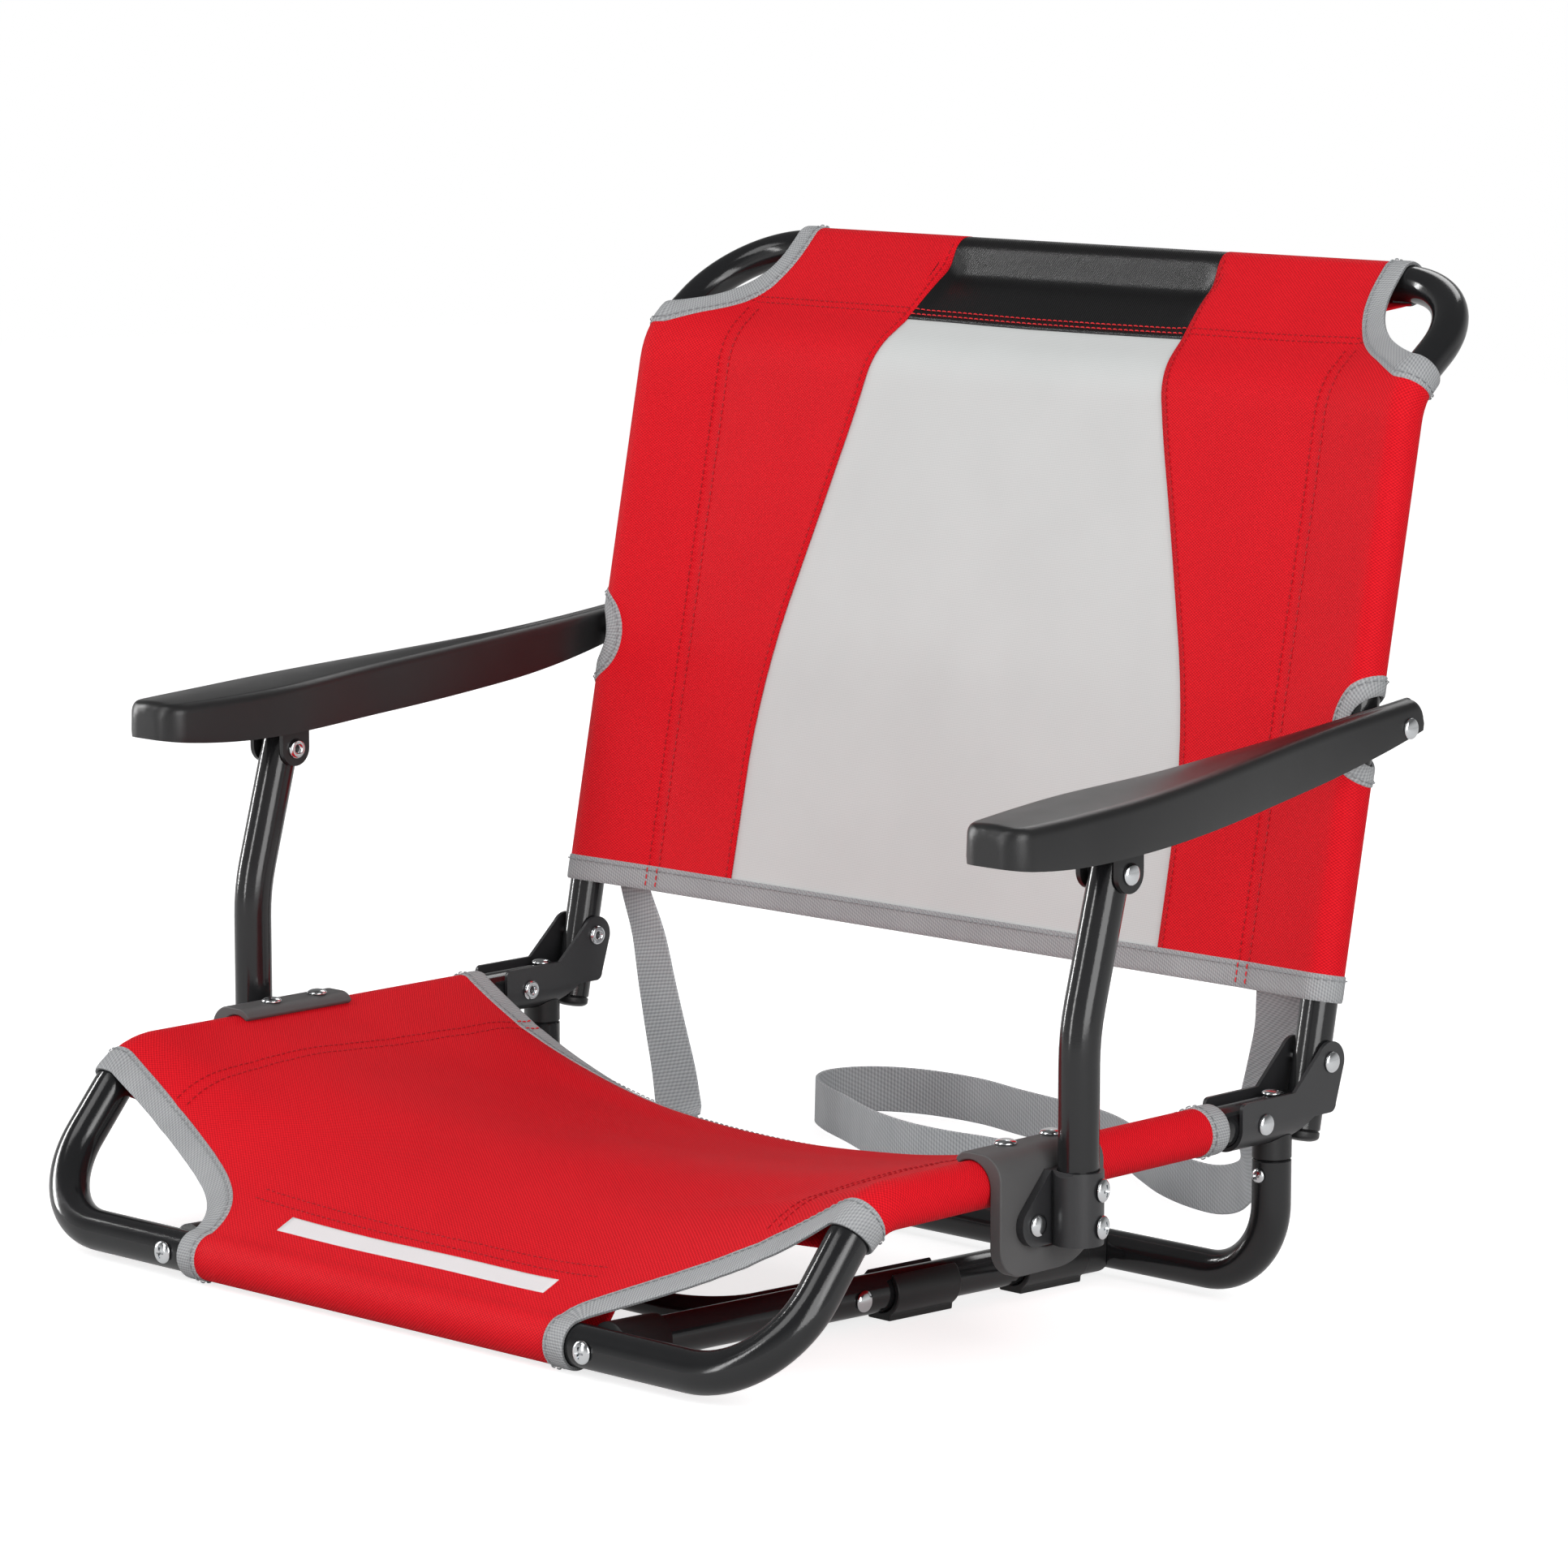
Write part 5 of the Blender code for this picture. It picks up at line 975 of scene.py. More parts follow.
def dress_hinge_brackets():
    for label, side in SIDES:
        x = side * RAIL_X
        body = prism(bracket_section(x), "Y", BRACKET_FRONT_Y - FIT, BACK_PIVOT.y + 2 * EAR_RADIUS)
        shape = prism(bracket_side_outline(), "X", x - 2 * BRACKET_OUTER, x + 2 * BRACKET_OUTER)
        body = boolean(body, shape, "INTERSECT")
        stand_in(f"hinge_bracket_{label}", body, STAMPED, bevel=HINGE_BRACKET_EDGE)
        reach = Vector((side * (BRACKET_OUTER + FIT), 0, 0))
        pivot = BACK_PIVOT + Vector((x, 0, 0))
        rivet(f"hinge_pivot_rivet_{label}", pivot + reach, pivot - reach)
        through = Vector((x, BRACKET_RIVET_Y, RAIL_Z))
        rivet(f"bracket_side_rivet_{label}", through + reach, through - reach)
        seat = Vector((x, LEG_Y, RAIL_Z + SEAT_RADIUS + FIT))
        end = Vector((x, LEG_Y, LEG_TOP_Z + FIT))
        rivet(f"bracket_top_rivet_{label}", seat, end, False)


def dress_back_frame():
    corners = ((TAIL_FOOT, 0), (BACK_FOLD, TOP_FOLD_RADIUS), (TOP_BAR, TOP_CORNER_RADIUS))
    path = u_path([((RAIL_X, corner.y, corner.z), radius) for corner, radius in corners])
    stand_in("back_frame", tube(path, BACK_RADIUS), PAINT)
    for label, side in SIDES:
        foot = TAIL_FOOT + Vector((side * RAIL_X, 0, 0))
        profile = [(-FIT, 0), (-FIT, BACK_RADIUS - CAP_EDGE), (-FIT - CAP_EDGE, BACK_RADIUS)]
        for a, b in arc((0, 0), 1, 0, 84, 10):
            profile.append((-CAP_LENGTH * (0.5 + 0.5 * b), BACK_RADIUS * (0.35 + 0.65 * a)))
        profile.append((-CAP_LENGTH, 0))
        stand_in(f"back_end_cap_{label}", turned(profile, foot, LEAN_UP, TUBE_SIDES), PLASTIC)


def plate_section(x, side):
    """The saddle plate's section: a top rolled over the rail, a round shoulder and a thick side wall."""
    bend = PLATE_SIDE - PLATE_SHOULDER_RADIUS
    rest = PLATE_TOP - PLATE_SHOULDER_RADIUS
    bottom = PLATE_BOTTOM_Z - RAIL_Z - FIT
    points = arc((-PLATE_ROLL / 4, PLATE_TOP - PLATE_ROLL), PLATE_ROLL, 152, 90, 10)
    points += arc((bend, rest), PLATE_SHOULDER_RADIUS, 90, 0, 16)
    points += [(PLATE_SIDE, bottom), (PLATE_INNER, bottom)]
    points += arc((0, 0), PLATE_INNER, 0, 128, 24)
    return [(x + side * a, RAIL_Z + b) for a, b in points]


def dress_saddle_plates():
    top_z = RAIL_Z + PLATE_TOP
    for label, side in SIDES:
        x = side * RAIL_X
        body = prism(plate_section(x, side), "Y", PLATE_FRONT_Y - FIT, PLATE_REAR_Y + FIT)
        front = (PLATE_FRONT_Y + PLATE_FRONT_CORNER, PLATE_BOTTOM_Z + PLATE_FRONT_CORNER)
        rear = (PLATE_REAR_Y - PLATE_REAR_CORNER, PLATE_BOTTOM_Z + PLATE_REAR_CORNER)
        outline = [(PLATE_FRONT_Y, top_z + PLATE_SIDE)]
        outline += arc(front, PLATE_FRONT_CORNER, 180, 270, 16)
        outline += arc(rear, PLATE_REAR_CORNER, 270, 360, 20)
        outline += [(PLATE_REAR_Y, top_z + PLATE_SIDE)]
        far = x + side * 2 * PLATE_SIDE
        near = x - side * 2 * PLATE_SIDE
        body = boolean(body, prism(outline, "X", near, far), "INTERSECT")
        slot = []
        for y, z in arc((0, 0), 1, 0, 352.5, 47):
            slot.append((SUPPORT_PIVOT.y + SLOT_CENTRE[0] + y * SLOT_HALF_SIZE[0],
                         SUPPORT_PIVOT.z + SLOT_CENTRE[1] + z * SLOT_HALF_SIZE[1]))
        body = boolean(body, prism(slot, "X", near, far), "DIFFERENCE")
        stand_in(f"saddle_plate_{label}", body, CHARCOAL, bevel=PLATE_EDGE)
        for place, y in zip(("front", "rear"), PLATE_RIVET_YS):
            seat = Vector((x, y, top_z + FIT))
            end = Vector((x, y, RAIL_Z + FIT))
            rivet(f"plate_rivet_{place}_{label}", seat, end, False)


def bracket_plan(side):
    """The arm bracket in plan: a strap round the arm tube whose two ends meet in the flat ear."""
    inner = -COLLAR_RADIUS
    outer = inner + EAR_PLIES * STEEL_SHEET
    front = SUPPORT_PIVOT.y - ARM_TUBE_Y - 2 * EAR_RADIUS
    meet = sqrt(COLLAR_RADIUS ** 2 - outer ** 2)
    start = 180 + atan2(meet, -outer) * 180 / pi
    points = [(outer, front), (inner, front)]
    points += arc((0, 0), COLLAR_RADIUS, 180, start - 360, 54)
    return [(side * (ARM_X + a), ARM_TUBE_Y + b) for a, b in points]


def dress_arm_support(label, side):
    shift = Vector((side * ARM_X, 0, 0))
    bend = Vector((0, ARM_TUBE_Y, ARM_BEND_Z))
    top = ARM_LUG + (ARM_LUG - bend).normalized() * ARM_TUBE_OVERRUN
    path = filleted([
        (shift + Vector((0, ARM_TUBE_Y, ARM_TUBE_BOTTOM_Z)), 0),
        (shift + bend, ARM_BEND_RADIUS),
        (shift + top, 0),
    ])
    stand_in(f"arm_support_{label}", tube(path, ARM_RADIUS), PAINT)
    out = Vector((side * cos(CLAMP_SCREW_ANGLE), sin(CLAMP_SCREW_ANGLE), 0))
    for place, z in zip(("lower", "upper"), CLAMP_SCREW_ZS):
        centre = shift + Vector((0, ARM_TUBE_Y, z))
        screw = cross_screw(centre + out * (COLLAR_RADIUS + FIT), centre + out * FIT,
                            SCREW_SHANK, SCREW_HEAD_RADIUS, SCREW_HEAD_HEIGHT)
        stand_in(f"clamp_screw_{place}_{label}", screw, ZINC)
    body = prism(bracket_plan(side), "Z", COLLAR_BOTTOM_Z, COLLAR_TOP_Z)
    behind = ARM_TUBE_Y + 2 * COLLAR_RADIUS
    outline = [(behind, COLLAR_BOTTOM_Z - FIT), (behind, COLLAR_TOP_Z + FIT)]
    outline += [(ARM_TUBE_Y - ARM_RADIUS, COLLAR_TOP_Z + FIT)]
    outline += arc((SUPPORT_PIVOT.y, SUPPORT_PIVOT.z), EAR_RADIUS, 140, 270, 24)
    body = boolean(body, prism(outline, "X", 0, side * 2 * ARM_X), "INTERSECT")
    below = shift + Vector((0, ARM_TUBE_Y, 0))
    above = shift + Vector((0, ARM_TUBE_Y, 2 * COLLAR_TOP_Z))
    body = boolean(body, rod(below, above, ARM_RADIUS + FIT, TUBE_SIDES), "DIFFERENCE")
    stand_in(f"arm_bracket_{label}", body, STAMPED, bevel=ARM_BRACKET_EDGE)
    seat = SUPPORT_PIVOT + Vector((side * (EAR_OUTER_X + FIT), 0, 0))
    end = SUPPORT_PIVOT + Vector((side * (RAIL_X + PLATE_INNER - FIT), 0, 0))
    rivet(f"arm_pivot_rivet_{label}", seat, end)


def taper(distance, run):
    """1 at an end of the armrest, falling to 0 at the run's length from it."""
    return max(0.0, 1 - distance / run) ** 2


def armrest_edges(y):
    """Inner and outer edge of the armrest in plan at a distance y from the front bar."""
    ahead = y - ARMREST_TIP_Y
    past = y - ARMREST_NARROW_FROM_Y
    narrowing = smooth(past / (ARMREST_NARROW_TO_Y - ARMREST_NARROW_FROM_Y))
    inner_narrowing = smooth(past / (ARMREST_INNER_NARROW_TO_Y - ARMREST_NARROW_FROM_Y))
    inner = ARMREST_FRONT_INNER_X + (ARMREST_REAR_INNER_X - ARMREST_FRONT_INNER_X) * inner_narrowing
    outer = ARMREST_FRONT_OUTER_X + (ARMREST_REAR_OUTER_X - ARMREST_FRONT_OUTER_X) * narrowing
    inner += ARMREST_INNER_FLARE * taper(ahead, ARMREST_INNER_FLARE_RUN)
    outer -= ARMREST_OUTER_FLARE * taper(ahead, ARMREST_OUTER_FLARE_RUN)
    before = max(0.0, 1 - ahead / ARMREST_NOSE_RADIUS)
    corner = ARMREST_NOSE_RADIUS * (1 - sqrt(1 - before ** 2))
    return inner + corner, outer - corner


def armrest_heights(y):
    """Underside and top of the armrest at y from the front bar; its walls are shorter at the ends."""
    along = (y - ARMREST_TIP_Y) / (ARMREST_END_Y - ARMREST_TIP_Y)
    bottom = ARMREST_UNDERSIDE_Z + ARMREST_RISE * along ** 2
    top = bottom + ARMREST_HEIGHT + ARMREST_CROWN * sin(pi * along)
    tuck = ARMREST_NOSE_TUCK * taper(y - ARMREST_TIP_Y, ARMREST_NOSE_TUCK_RUN)
    tuck += ARMREST_REAR_TUCK * taper(ARMREST_END_Y - y, ARMREST_REAR_TUCK_RUN)
    return bottom + tuck, top


def armrest_section(y, side):
    """The channel's outline over the top at y, from the inner bottom edge to the outer one."""
    inner, outer = armrest_edges(y)
    bottom, top = armrest_heights(y)
    radius = ARMREST_EDGE_RADIUS
    ends = min(y - ARMREST_TIP_Y, ARMREST_END_Y - y)
    if ends < radius:
        top -= radius - sqrt(radius ** 2 - (radius - ends) ** 2)
    low, high = ARMREST_LIP
    points = [(inner, bottom + low), (inner - ARMREST_LIP_FLARE, bottom + high)]
    points += arc((inner + radius, top - radius), radius, 180, 90, 8)
    for share in (0.2, 0.4, 0.6, 0.8):
        x = inner + radius + (outer - inner - 2 * radius) * share
        points.append((x, top + ARMREST_TOP_CROWN * sin(pi * share)))
    points += arc((outer - radius, top - radius), radius, 90, 0, 8)
    points += [(outer + ARMREST_LIP_FLARE, bottom + high), (outer, bottom + low)]
    return [Vector((side * x, y, z)) for x, z in points]


def dress_armrest(label, side):
    nose, body, rear = ARMREST_STATIONS
    first = ARMREST_TIP_Y + ARMREST_NOSE_RADIUS
    last = ARMREST_END_Y - ARMREST_EDGE_RADIUS
    stations = [ARMREST_TIP_Y + ARMREST_NOSE_RADIUS * (1 - cos(pi / 2 * k / nose)) for k in range(nose)]
    stations += [first + (last - first) * (k / body) ** ARMREST_STATION_POWER for k in range(body + 1)]
    stations += [last + ARMREST_EDGE_RADIUS * sin(pi / 2 * k / rear) for k in range(1, rear + 1)]
    bm = bmesh.new()
    rows = [[bm.verts.new(point) for point in armrest_section(y, side)] for y in stations]
    skin(bm, rows, closed=False)
    bm.faces.new(rows[0])
    bm.faces.new(rows[-1][::-1])
    bmesh.ops.recalc_face_normals(bm, faces=bm.faces)
    top_face = max(bm.faces, key=lambda face: face.calc_center_median().z)
    if top_face.normal.z < 0:
        bmesh.ops.reverse_faces(bm, faces=bm.faces)
    rim = [edge for edge in bm.edges if edge.is_boundary]
    inner = bmesh.ops.duplicate(bm, geom=list(bm.faces))
    copies = [item for item in inner["geom"] if isinstance(item, bmesh.types.BMVert)]
    linings = [item for item in inner["geom"] if isinstance(item, bmesh.types.BMFace)]
    bm.normal_update()
    for vert in copies:
        vert.co -= vert.normal * ARMREST_WALL
    bmesh.ops.reverse_faces(bm, faces=linings)
    inner_rim = [inner["edge_map"][edge] for edge in rim]
    bmesh.ops.bridge_loops(bm, edges=rim + inner_rim)
    lug_top = armrest_heights(ARM_LUG.y)[1] - ARMREST_WALL / 2
    outline = arc((ARM_LUG.y, ARM_LUG.z), LUG_RADIUS, 180, 360, 24)
    outline += [(ARM_LUG.y + LUG_RADIUS, lug_top), (ARM_LUG.y - LUG_RADIUS, lug_top)]
    near = ARM_RADIUS + LUG_GAP
    lugs = bmesh.new()
    for flank in (-1, 1):
        start = side * ARM_X + flank * near
        prism(outline, "X", start, start + flank * LUG_THICKNESS, lugs)
    stand_in(f"armrest_{label}", boolean(bm, lugs, "UNION"), PLASTIC)
    lug = ARM_LUG + Vector((side * ARM_X, 0, 0))
    reach = Vector((side * (near + LUG_THICKNESS + FIT), 0, 0))
    rivet(f"arm_lug_rivet_{label}", lug + reach, lug - reach)
    rear_x = armrest_edges(ARM_REAR.y)[1]
    seat = ARM_REAR + Vector((side * (rear_x + FIT), 0, 0))
    end = ARM_REAR + Vector((side * (RAIL_X + FIT), 0, 0))
    rivet(f"arm_rear_rivet_{label}", seat, end, False)


# Cloth surfaces: each maps flat cloth coordinates in metres to a point of the hung cloth

def on_arc(centre, radius, angle):
    return centre[0] + radius * cos(angle), centre[1] + radius * sin(angle)


def eased(knots, place):
    """Smooth curve through (place, value) knots, level beyond its ends."""
    last = len(knots) - 1
    index = max(0, min(last - 1, sum(1 for knot in knots if knot[0] <= place) - 1))
    slopes = []
    for k in (index, index + 1):
        before = knots[max(0, k - 1)]
        after = knots[min(last, k + 1)]
        slopes.append((after[1] - before[1]) / (after[0] - before[0]))
    (start, low), (end, high) = knots[index], knots[index + 1]
    run = end - start
    t = min(1.0, max(0.0, (place - start) / run))
    level = low + (high - low) * t * t * (3 - 2 * t)
    return level + run * t * (1 - t) * (slopes[0] * (1 - t) - slopes[1] * t)


def bell(distance, width):
    """1 at no distance, falling off within about the width on both sides."""
    return exp(-(distance / width) ** 2)


def wobble(x, y, across, along, seed):
    """Smooth noise with its frequencies per metre across and along the cloth."""
    return noise.noise(Vector((x * across, y * along, seed)))


def seam_distance(x):
    """Distance from the middle of the double seam along the sleeves."""
    return abs(abs(x) - SEAM_X + SEAM_GAP / 2)


def seat_height(x, y):
    """Height of the seat cloth: up from the front bar to a crest, then a sag towards the rear edge."""
    edge = RAIL_Z + SLEEVE_RADIUS * sin(radians(SLING_DEPARTURE))
    ahead = min(1.0, max(0.0, y / SLING_FRONT_Y))
    side = SLEEVE_RADIUS + (edge - SLEEVE_RADIUS) * sin(ahead * pi / 2)
    middle = eased(((0.0, SLEEVE_RADIUS),) + SLING_CREST, y)
    power = SLING_POWER + (SLING_FRONT_POWER - SLING_POWER) * (1 - ahead)
    return middle + (side - middle) * (abs(x) / SPAN) ** power + seat_ripple(x, y)


def seat_ripple(x, y):
    """Slack and drawn stitching of the seat cloth; it fades out towards the sleeves and the front bar."""
    inside = smooth((SPAN - abs(x)) / SIDE_SLACK_FADE) * smooth(y / FRONT_SLACK_FADE)
    broad = SLACK * wobble(x, y, 13, 16, 0.3)
    seam = seam_distance(x)
    drawn = -SEAM_DRAW * bell(seam, SEAM_DRAW_WIDTH)
    pucker = SEAM_DRAW * wobble(x, y, 30, 150, 1.7) * bell(seam, PUCKER_WIDTH)
    front = abs(y - FRONT_FLAP)
    front_drawn = -FRONT_SEAM_DRAW * bell(front, SEAM_DRAW_WIDTH) if abs(x) < SLING_FRONT_HALF_WIDTH else 0
    front_pucker = FRONT_SEAM_DRAW * wobble(x, y, 150, 30, 4.1) * bell(front, PUCKER_WIDTH)
    return inside * (broad + drawn + pucker + front_drawn + front_pucker)


def rail_place(v):
    """Centre and upward direction of the rail in the (y, z) plane at a length v along it."""
    ahead = max(0.0, RAIL_BEND_Y - v) / FRONT_FOLD_RADIUS
    y = max(v, RAIL_BEND_Y) - FRONT_FOLD_RADIUS * sin(ahead)
    z = RAIL_Z - FRONT_FOLD_RADIUS * (1 - cos(ahead))
    return Vector((0, y, z)), Vector((0, -sin(ahead), cos(ahead)))


def sleeve_point(side, v, angle):
    centre, up = rail_place(v)
    return centre + X_AXIS * side * (RAIL_X + SLEEVE_RADIUS * cos(angle)) + up * SLEEVE_RADIUS * sin(angle)


def seat_sheet(x, v):
    share = (v - SLEEVE_FRONT) / (SLING_REAR_Y - SLEEVE_FRONT)
    y = v - SLING_REAR_SCALLOP * (1 - (x / RAIL_X) ** 2) * max(0.0, share)
    point = Vector((x, y, seat_height(x, y)))
    joined = smooth((v - SLEEVE_FRONT) / SLEEVE_BLEND + 1) * min(1.0, abs(x) / SPAN) ** SLEEVE_BLEND_POWER
    if joined > 0:
        side = 1 if x >= 0 else -1
        edge = Vector((side * SPAN, v, seat_height(SPAN, v)))
        point += (sleeve_point(side, v, radians(SLING_DEPARTURE)) - edge) * joined
    return point


def seat_cloth(u, v):
    """The seat cloth: u across from the middle, v from the front bar's top; it wraps the rails and bar."""
    if v < 0:
        angle = pi / 2 - v / SLEEVE_RADIUS
        if angle <= radians(90 + FRONT_WRAP):
            return Vector((u, *on_arc((0, 0), SLEEVE_RADIUS, angle)))
        start = Vector((u, *on_arc((0, 0), SLEEVE_RADIUS, radians(90 + FRONT_WRAP))))
        end = Vector((u, FRONT_FLAP, seat_height(u, FRONT_FLAP) - FLAP_GAP))
        gone = -v - SLEEVE_RADIUS * radians(FRONT_WRAP)
        return start.lerp(end, gone / (end - start).length)
    beyond = abs(u) - SPAN
    if beyond <= 0:
        return seat_sheet(u, v)
    side = 1 if u > 0 else -1
    angle = radians(SLING_DEPARTURE) - beyond / SLEEVE_RADIUS
    last = radians(SLEEVE_SEAM_ANGLE)
    if angle >= last:
        return sleeve_point(side, v, angle)
    start = sleeve_point(side, v, last)
    seam_x = RAIL_X - SLEEVE_FLAP
    end = Vector((side * seam_x, v, seat_height(seam_x, v) - FLAP_GAP))
    return start.lerp(end, (last - angle) * SLEEVE_RADIUS / (end - start).length)


def back_place(x, s, n):
    """A point of the back: s along the tube line from the pivot, n behind it, rounded at the fold."""
    start = BACK_LENGTH - FOLD_REACH
    bend_length = TOP_FOLD_RADIUS * TOP_BEND
    if s <= start:
        base = BACK_PIVOT + LEAN_UP * s
        rear = LEAN_REAR
    else:
        angle = BACK_LEAN + min(1.0, (s - start) / bend_length) * TOP_BEND
        centre = BACK_PIVOT + LEAN_UP * start + LEAN_REAR * TOP_FOLD_RADIUS
        rear = Vector((0, cos(angle), -sin(angle)))
        base = centre - rear * TOP_FOLD_RADIUS + TOP_UP * max(0.0, s - start - bend_length)
    return base + rear * n + Vector((x, 0, 0))


def back_depth(x, s):
    """Depth of the back cover: straight from tubes and bar to the creased seams, a little slack inside."""
    inside = smooth((RAIL_X - abs(x)) / SIDE_SLACK_FADE) * smooth((BAR_S - s) / BAR_SLACK_FADE)
    from_tube = min(1.0, (RAIL_X - abs(x)) / (RAIL_X - SEAM_X + SEAM_GAP / 2))
    from_bar = min(1.0, (BAR_S - s) / (BAR_S - BLACK_SLEEVE_S))
    sunk = BACK_CREASE * from_tube * from_bar
    at_black = 1 - smooth((abs(x) - MESH_TOP_HALF_WIDTH + RECESS_EDGE_INSET) / RECESS_EDGE_FADE)
    at_black *= smooth((s - BLACK_SLEEVE_S) / RECESS_FOOT_FADE)
    sunk += (eased(BAR_RECESS, BAR_S - s) - sunk) * at_black
    sag = sunk + BACK_SAG * (1 - (x / RAIL_X) ** 2) * smooth((BAR_S - s) / BACK_SAG_FADE)
    broad = SLACK * wobble(x, s, 12, 10, 7.3)
    seam = seam_distance(x)
    drawn = SEAM_DRAW * bell(seam, SEAM_DRAW_WIDTH)
    pucker = SEAM_DRAW * wobble(x, s, 30, 150, 9.1) * bell(seam, PUCKER_WIDTH)
    return -BACK_SLEEVE_RADIUS + sag + inside * (broad + drawn + pucker)


def flap_seam():
    return Vector((-BACK_FLAP, back_depth(RAIL_X - BACK_FLAP, HEM_S) + FLAP_GAP))


def back_cloth(u, v):
    """The back cover: u across from the middle, v up the tube line; it wraps the tubes and the top bar."""
    if v > BAR_S:
        angle = pi - (v - BAR_S) / BACK_SLEEVE_RADIUS
        last = pi - radians(BAR_WRAP)
        n, rise = on_arc((0, 0), BACK_SLEEVE_RADIUS, max(angle, last))
        point = back_place(u, BAR_S + rise, n)
        if angle < last:
            end = back_place(u, BAR_S - TOP_FLAP, back_depth(u, BAR_S - TOP_FLAP) + FLAP_GAP)
            point = point.lerp(end, (last - angle) * BACK_SLEEVE_RADIUS / (end - point).length)
        return point
    beyond = abs(u) - RAIL_X
    if beyond <= 0:
        return back_place(u, v, back_depth(u, v))
    side = 1 if u > 0 else -1
    angle = -pi / 2 + beyond / BACK_SLEEVE_RADIUS
    last = radians(FLAP_TANGENT)
    x, n = on_arc((0, 0), BACK_SLEEVE_RADIUS, min(angle, last))
    if angle > last:
        seam = flap_seam()
        share = (angle - last) * BACK_SLEEVE_RADIUS / (seam - Vector((x, n))).length
        x, n = Vector((x, n)).lerp(seam, share)
    return back_place(side * (RAIL_X + x), v, n)


def lifted(cloth, u, v, lift):
    """A point above the cloth by a small lift, and the cloth's outward normal there."""
    du = cloth(u + NORMAL_STEP, v) - cloth(u - NORMAL_STEP, v)
    dv = cloth(u, v + NORMAL_STEP) - cloth(u, v - NORMAL_STEP)
    normal = du.cross(dv).normalized()
    return cloth(u, v) + normal * lift, normal


def steps_between(low, high, spacing):
    count = max(1, round(abs(high - low) / spacing))
    return [low + (high - low) * k / count for k in range(count + 1)]


def evenly(count):
    """Even shares from 0 to 1."""
    return [k / count for k in range(count + 1)]


def both_ways(count):
    """Even shares from -1 to 1."""
    return [-1 + 2 * k / count for k in range(count + 1)]


def cloth_mesh(cloth, grids, lift=0.0):
    """One sheet from grids of flat coordinates; grids that share an edge are sewn into one mesh."""
    bm = bmesh.new()
    flat = bm.verts.layers.float_vector.new("flat")
    for rows in grids:
        made = []
        for row in rows:
            line = []
            for u, v in row:
                point = lifted(cloth, u, v, lift)[0] if lift else cloth(u, v)
                vert = bm.verts.new(point)
                vert[flat] = (u, v, 0)
                line.append(vert)
            made.append(line)
        skin(bm, made, closed=False)
    bmesh.ops.remove_doubles(bm, verts=bm.verts, dist=1e-6)
    flat_to_uv(bm, flat)
    return bm


def cloth_piece(name, bm, finish, body, nodes=()):
    """A thin cloth piece; its thickness is added on both sides of the mesh."""
    made = piece(name, bm, finish, body, nodes)
    modifier = made.modifiers.new("Thickness", "SOLIDIFY")
    modifier.thickness = FABRIC
    modifier.offset = 0.0
    return made


def scallop_half_width(v, side):
    """Half width of the seat's front edge between bar and sleeve; the left scallop is the deeper one."""
    share = max(0.0, v / SLEEVE_FRONT) ** SLING_SCALLOP_POWERS[side]
    return SLING_FRONT_HALF_WIDTH + (SPAN - SLING_FRONT_HALF_WIDTH) * share


SLEEVE_WRAP = SLEEVE_RADIUS * radians(SLING_DEPARTURE - SLEEVE_SEAM_ANGLE)
SEAT_WIDTH_U = SPAN + SLEEVE_WRAP
FRONT_WRAP_V = -SLEEVE_RADIUS * radians(FRONT_WRAP)


def dress_seat_sling():
    sheet = both_ways(96)
    sleeve = steps_between(SPAN, SEAT_WIDTH_U, SLEEVE_STEP)
    sleeve += steps_between(SEAT_WIDTH_U, SEAT_WIDTH_U + SEAT_FLAP, 2 * CLOTH_STEP)[1:]
    levels = steps_between(SLEEVE_FRONT, SLING_REAR_Y, CLOTH_STEP)
    grids = [[[(SPAN * k, v) for k in sheet] for v in levels]]
    for side in (1, -1):
        grids.append([[(side * u, v) for u in sleeve][::side] for v in levels])
    front = []
    for v in steps_between(0, SLEEVE_FRONT, FRONT_STEP):
        front.append([(scallop_half_width(v, 1 if k > 0 else -1) * k, v) for k in sheet])
    wrap = [FRONT_WRAP_V - row for row in FRONT_FLAP_ROWS] + steps_between(FRONT_WRAP_V, 0, SLEEVE_STEP)
    front_wrap = [[(SLING_FRONT_HALF_WIDTH * k, v) for k in sheet] for v in wrap]
    grids += [front, front_wrap]
    made = cloth_piece("seat_cloth", cloth_mesh(seat_cloth, grids), RED, "seat", ["seat_sling"])


def between(knots, place):
    """Straight runs through (place, value) knots, level beyond the ends."""
    for (start, low), (end, high) in zip(knots, knots[1:]):
        if place <= end:
            return low + (high - low) * max(0.0, place - start) / (end - start)
    return knots[-1][1]


def mesh_half_width(s):
    """Half width of the mesh panel: full at the hem and waist, drawn in to the neck, with eased corners."""
    knots = ((HEM_S, MESH_HEM_HALF_WIDTH), (MESH_WAIST_S, MESH_WAIST_HALF_WIDTH),
             (MESH_NECK_S, MESH_NECK_HALF_WIDTH), (BAR_S, MESH_TOP_HALF_WIDTH))
    shifts = [MESH_EASE * (k - 3) / 3 for k in range(7)]
    return sum(between(knots, s + shift) for shift in shifts) / len(shifts)


def panel_outer(s):
    t = max(0.0, (s - SLEEVE_TOP_S) / (BAR_S - SLEEVE_TOP_S))
    return PANEL_TOP_HALF_WIDTH + (RAIL_X - PANEL_TOP_HALF_WIDTH) * max(0.0, 1 - t) ** PANEL_TOP_POWER


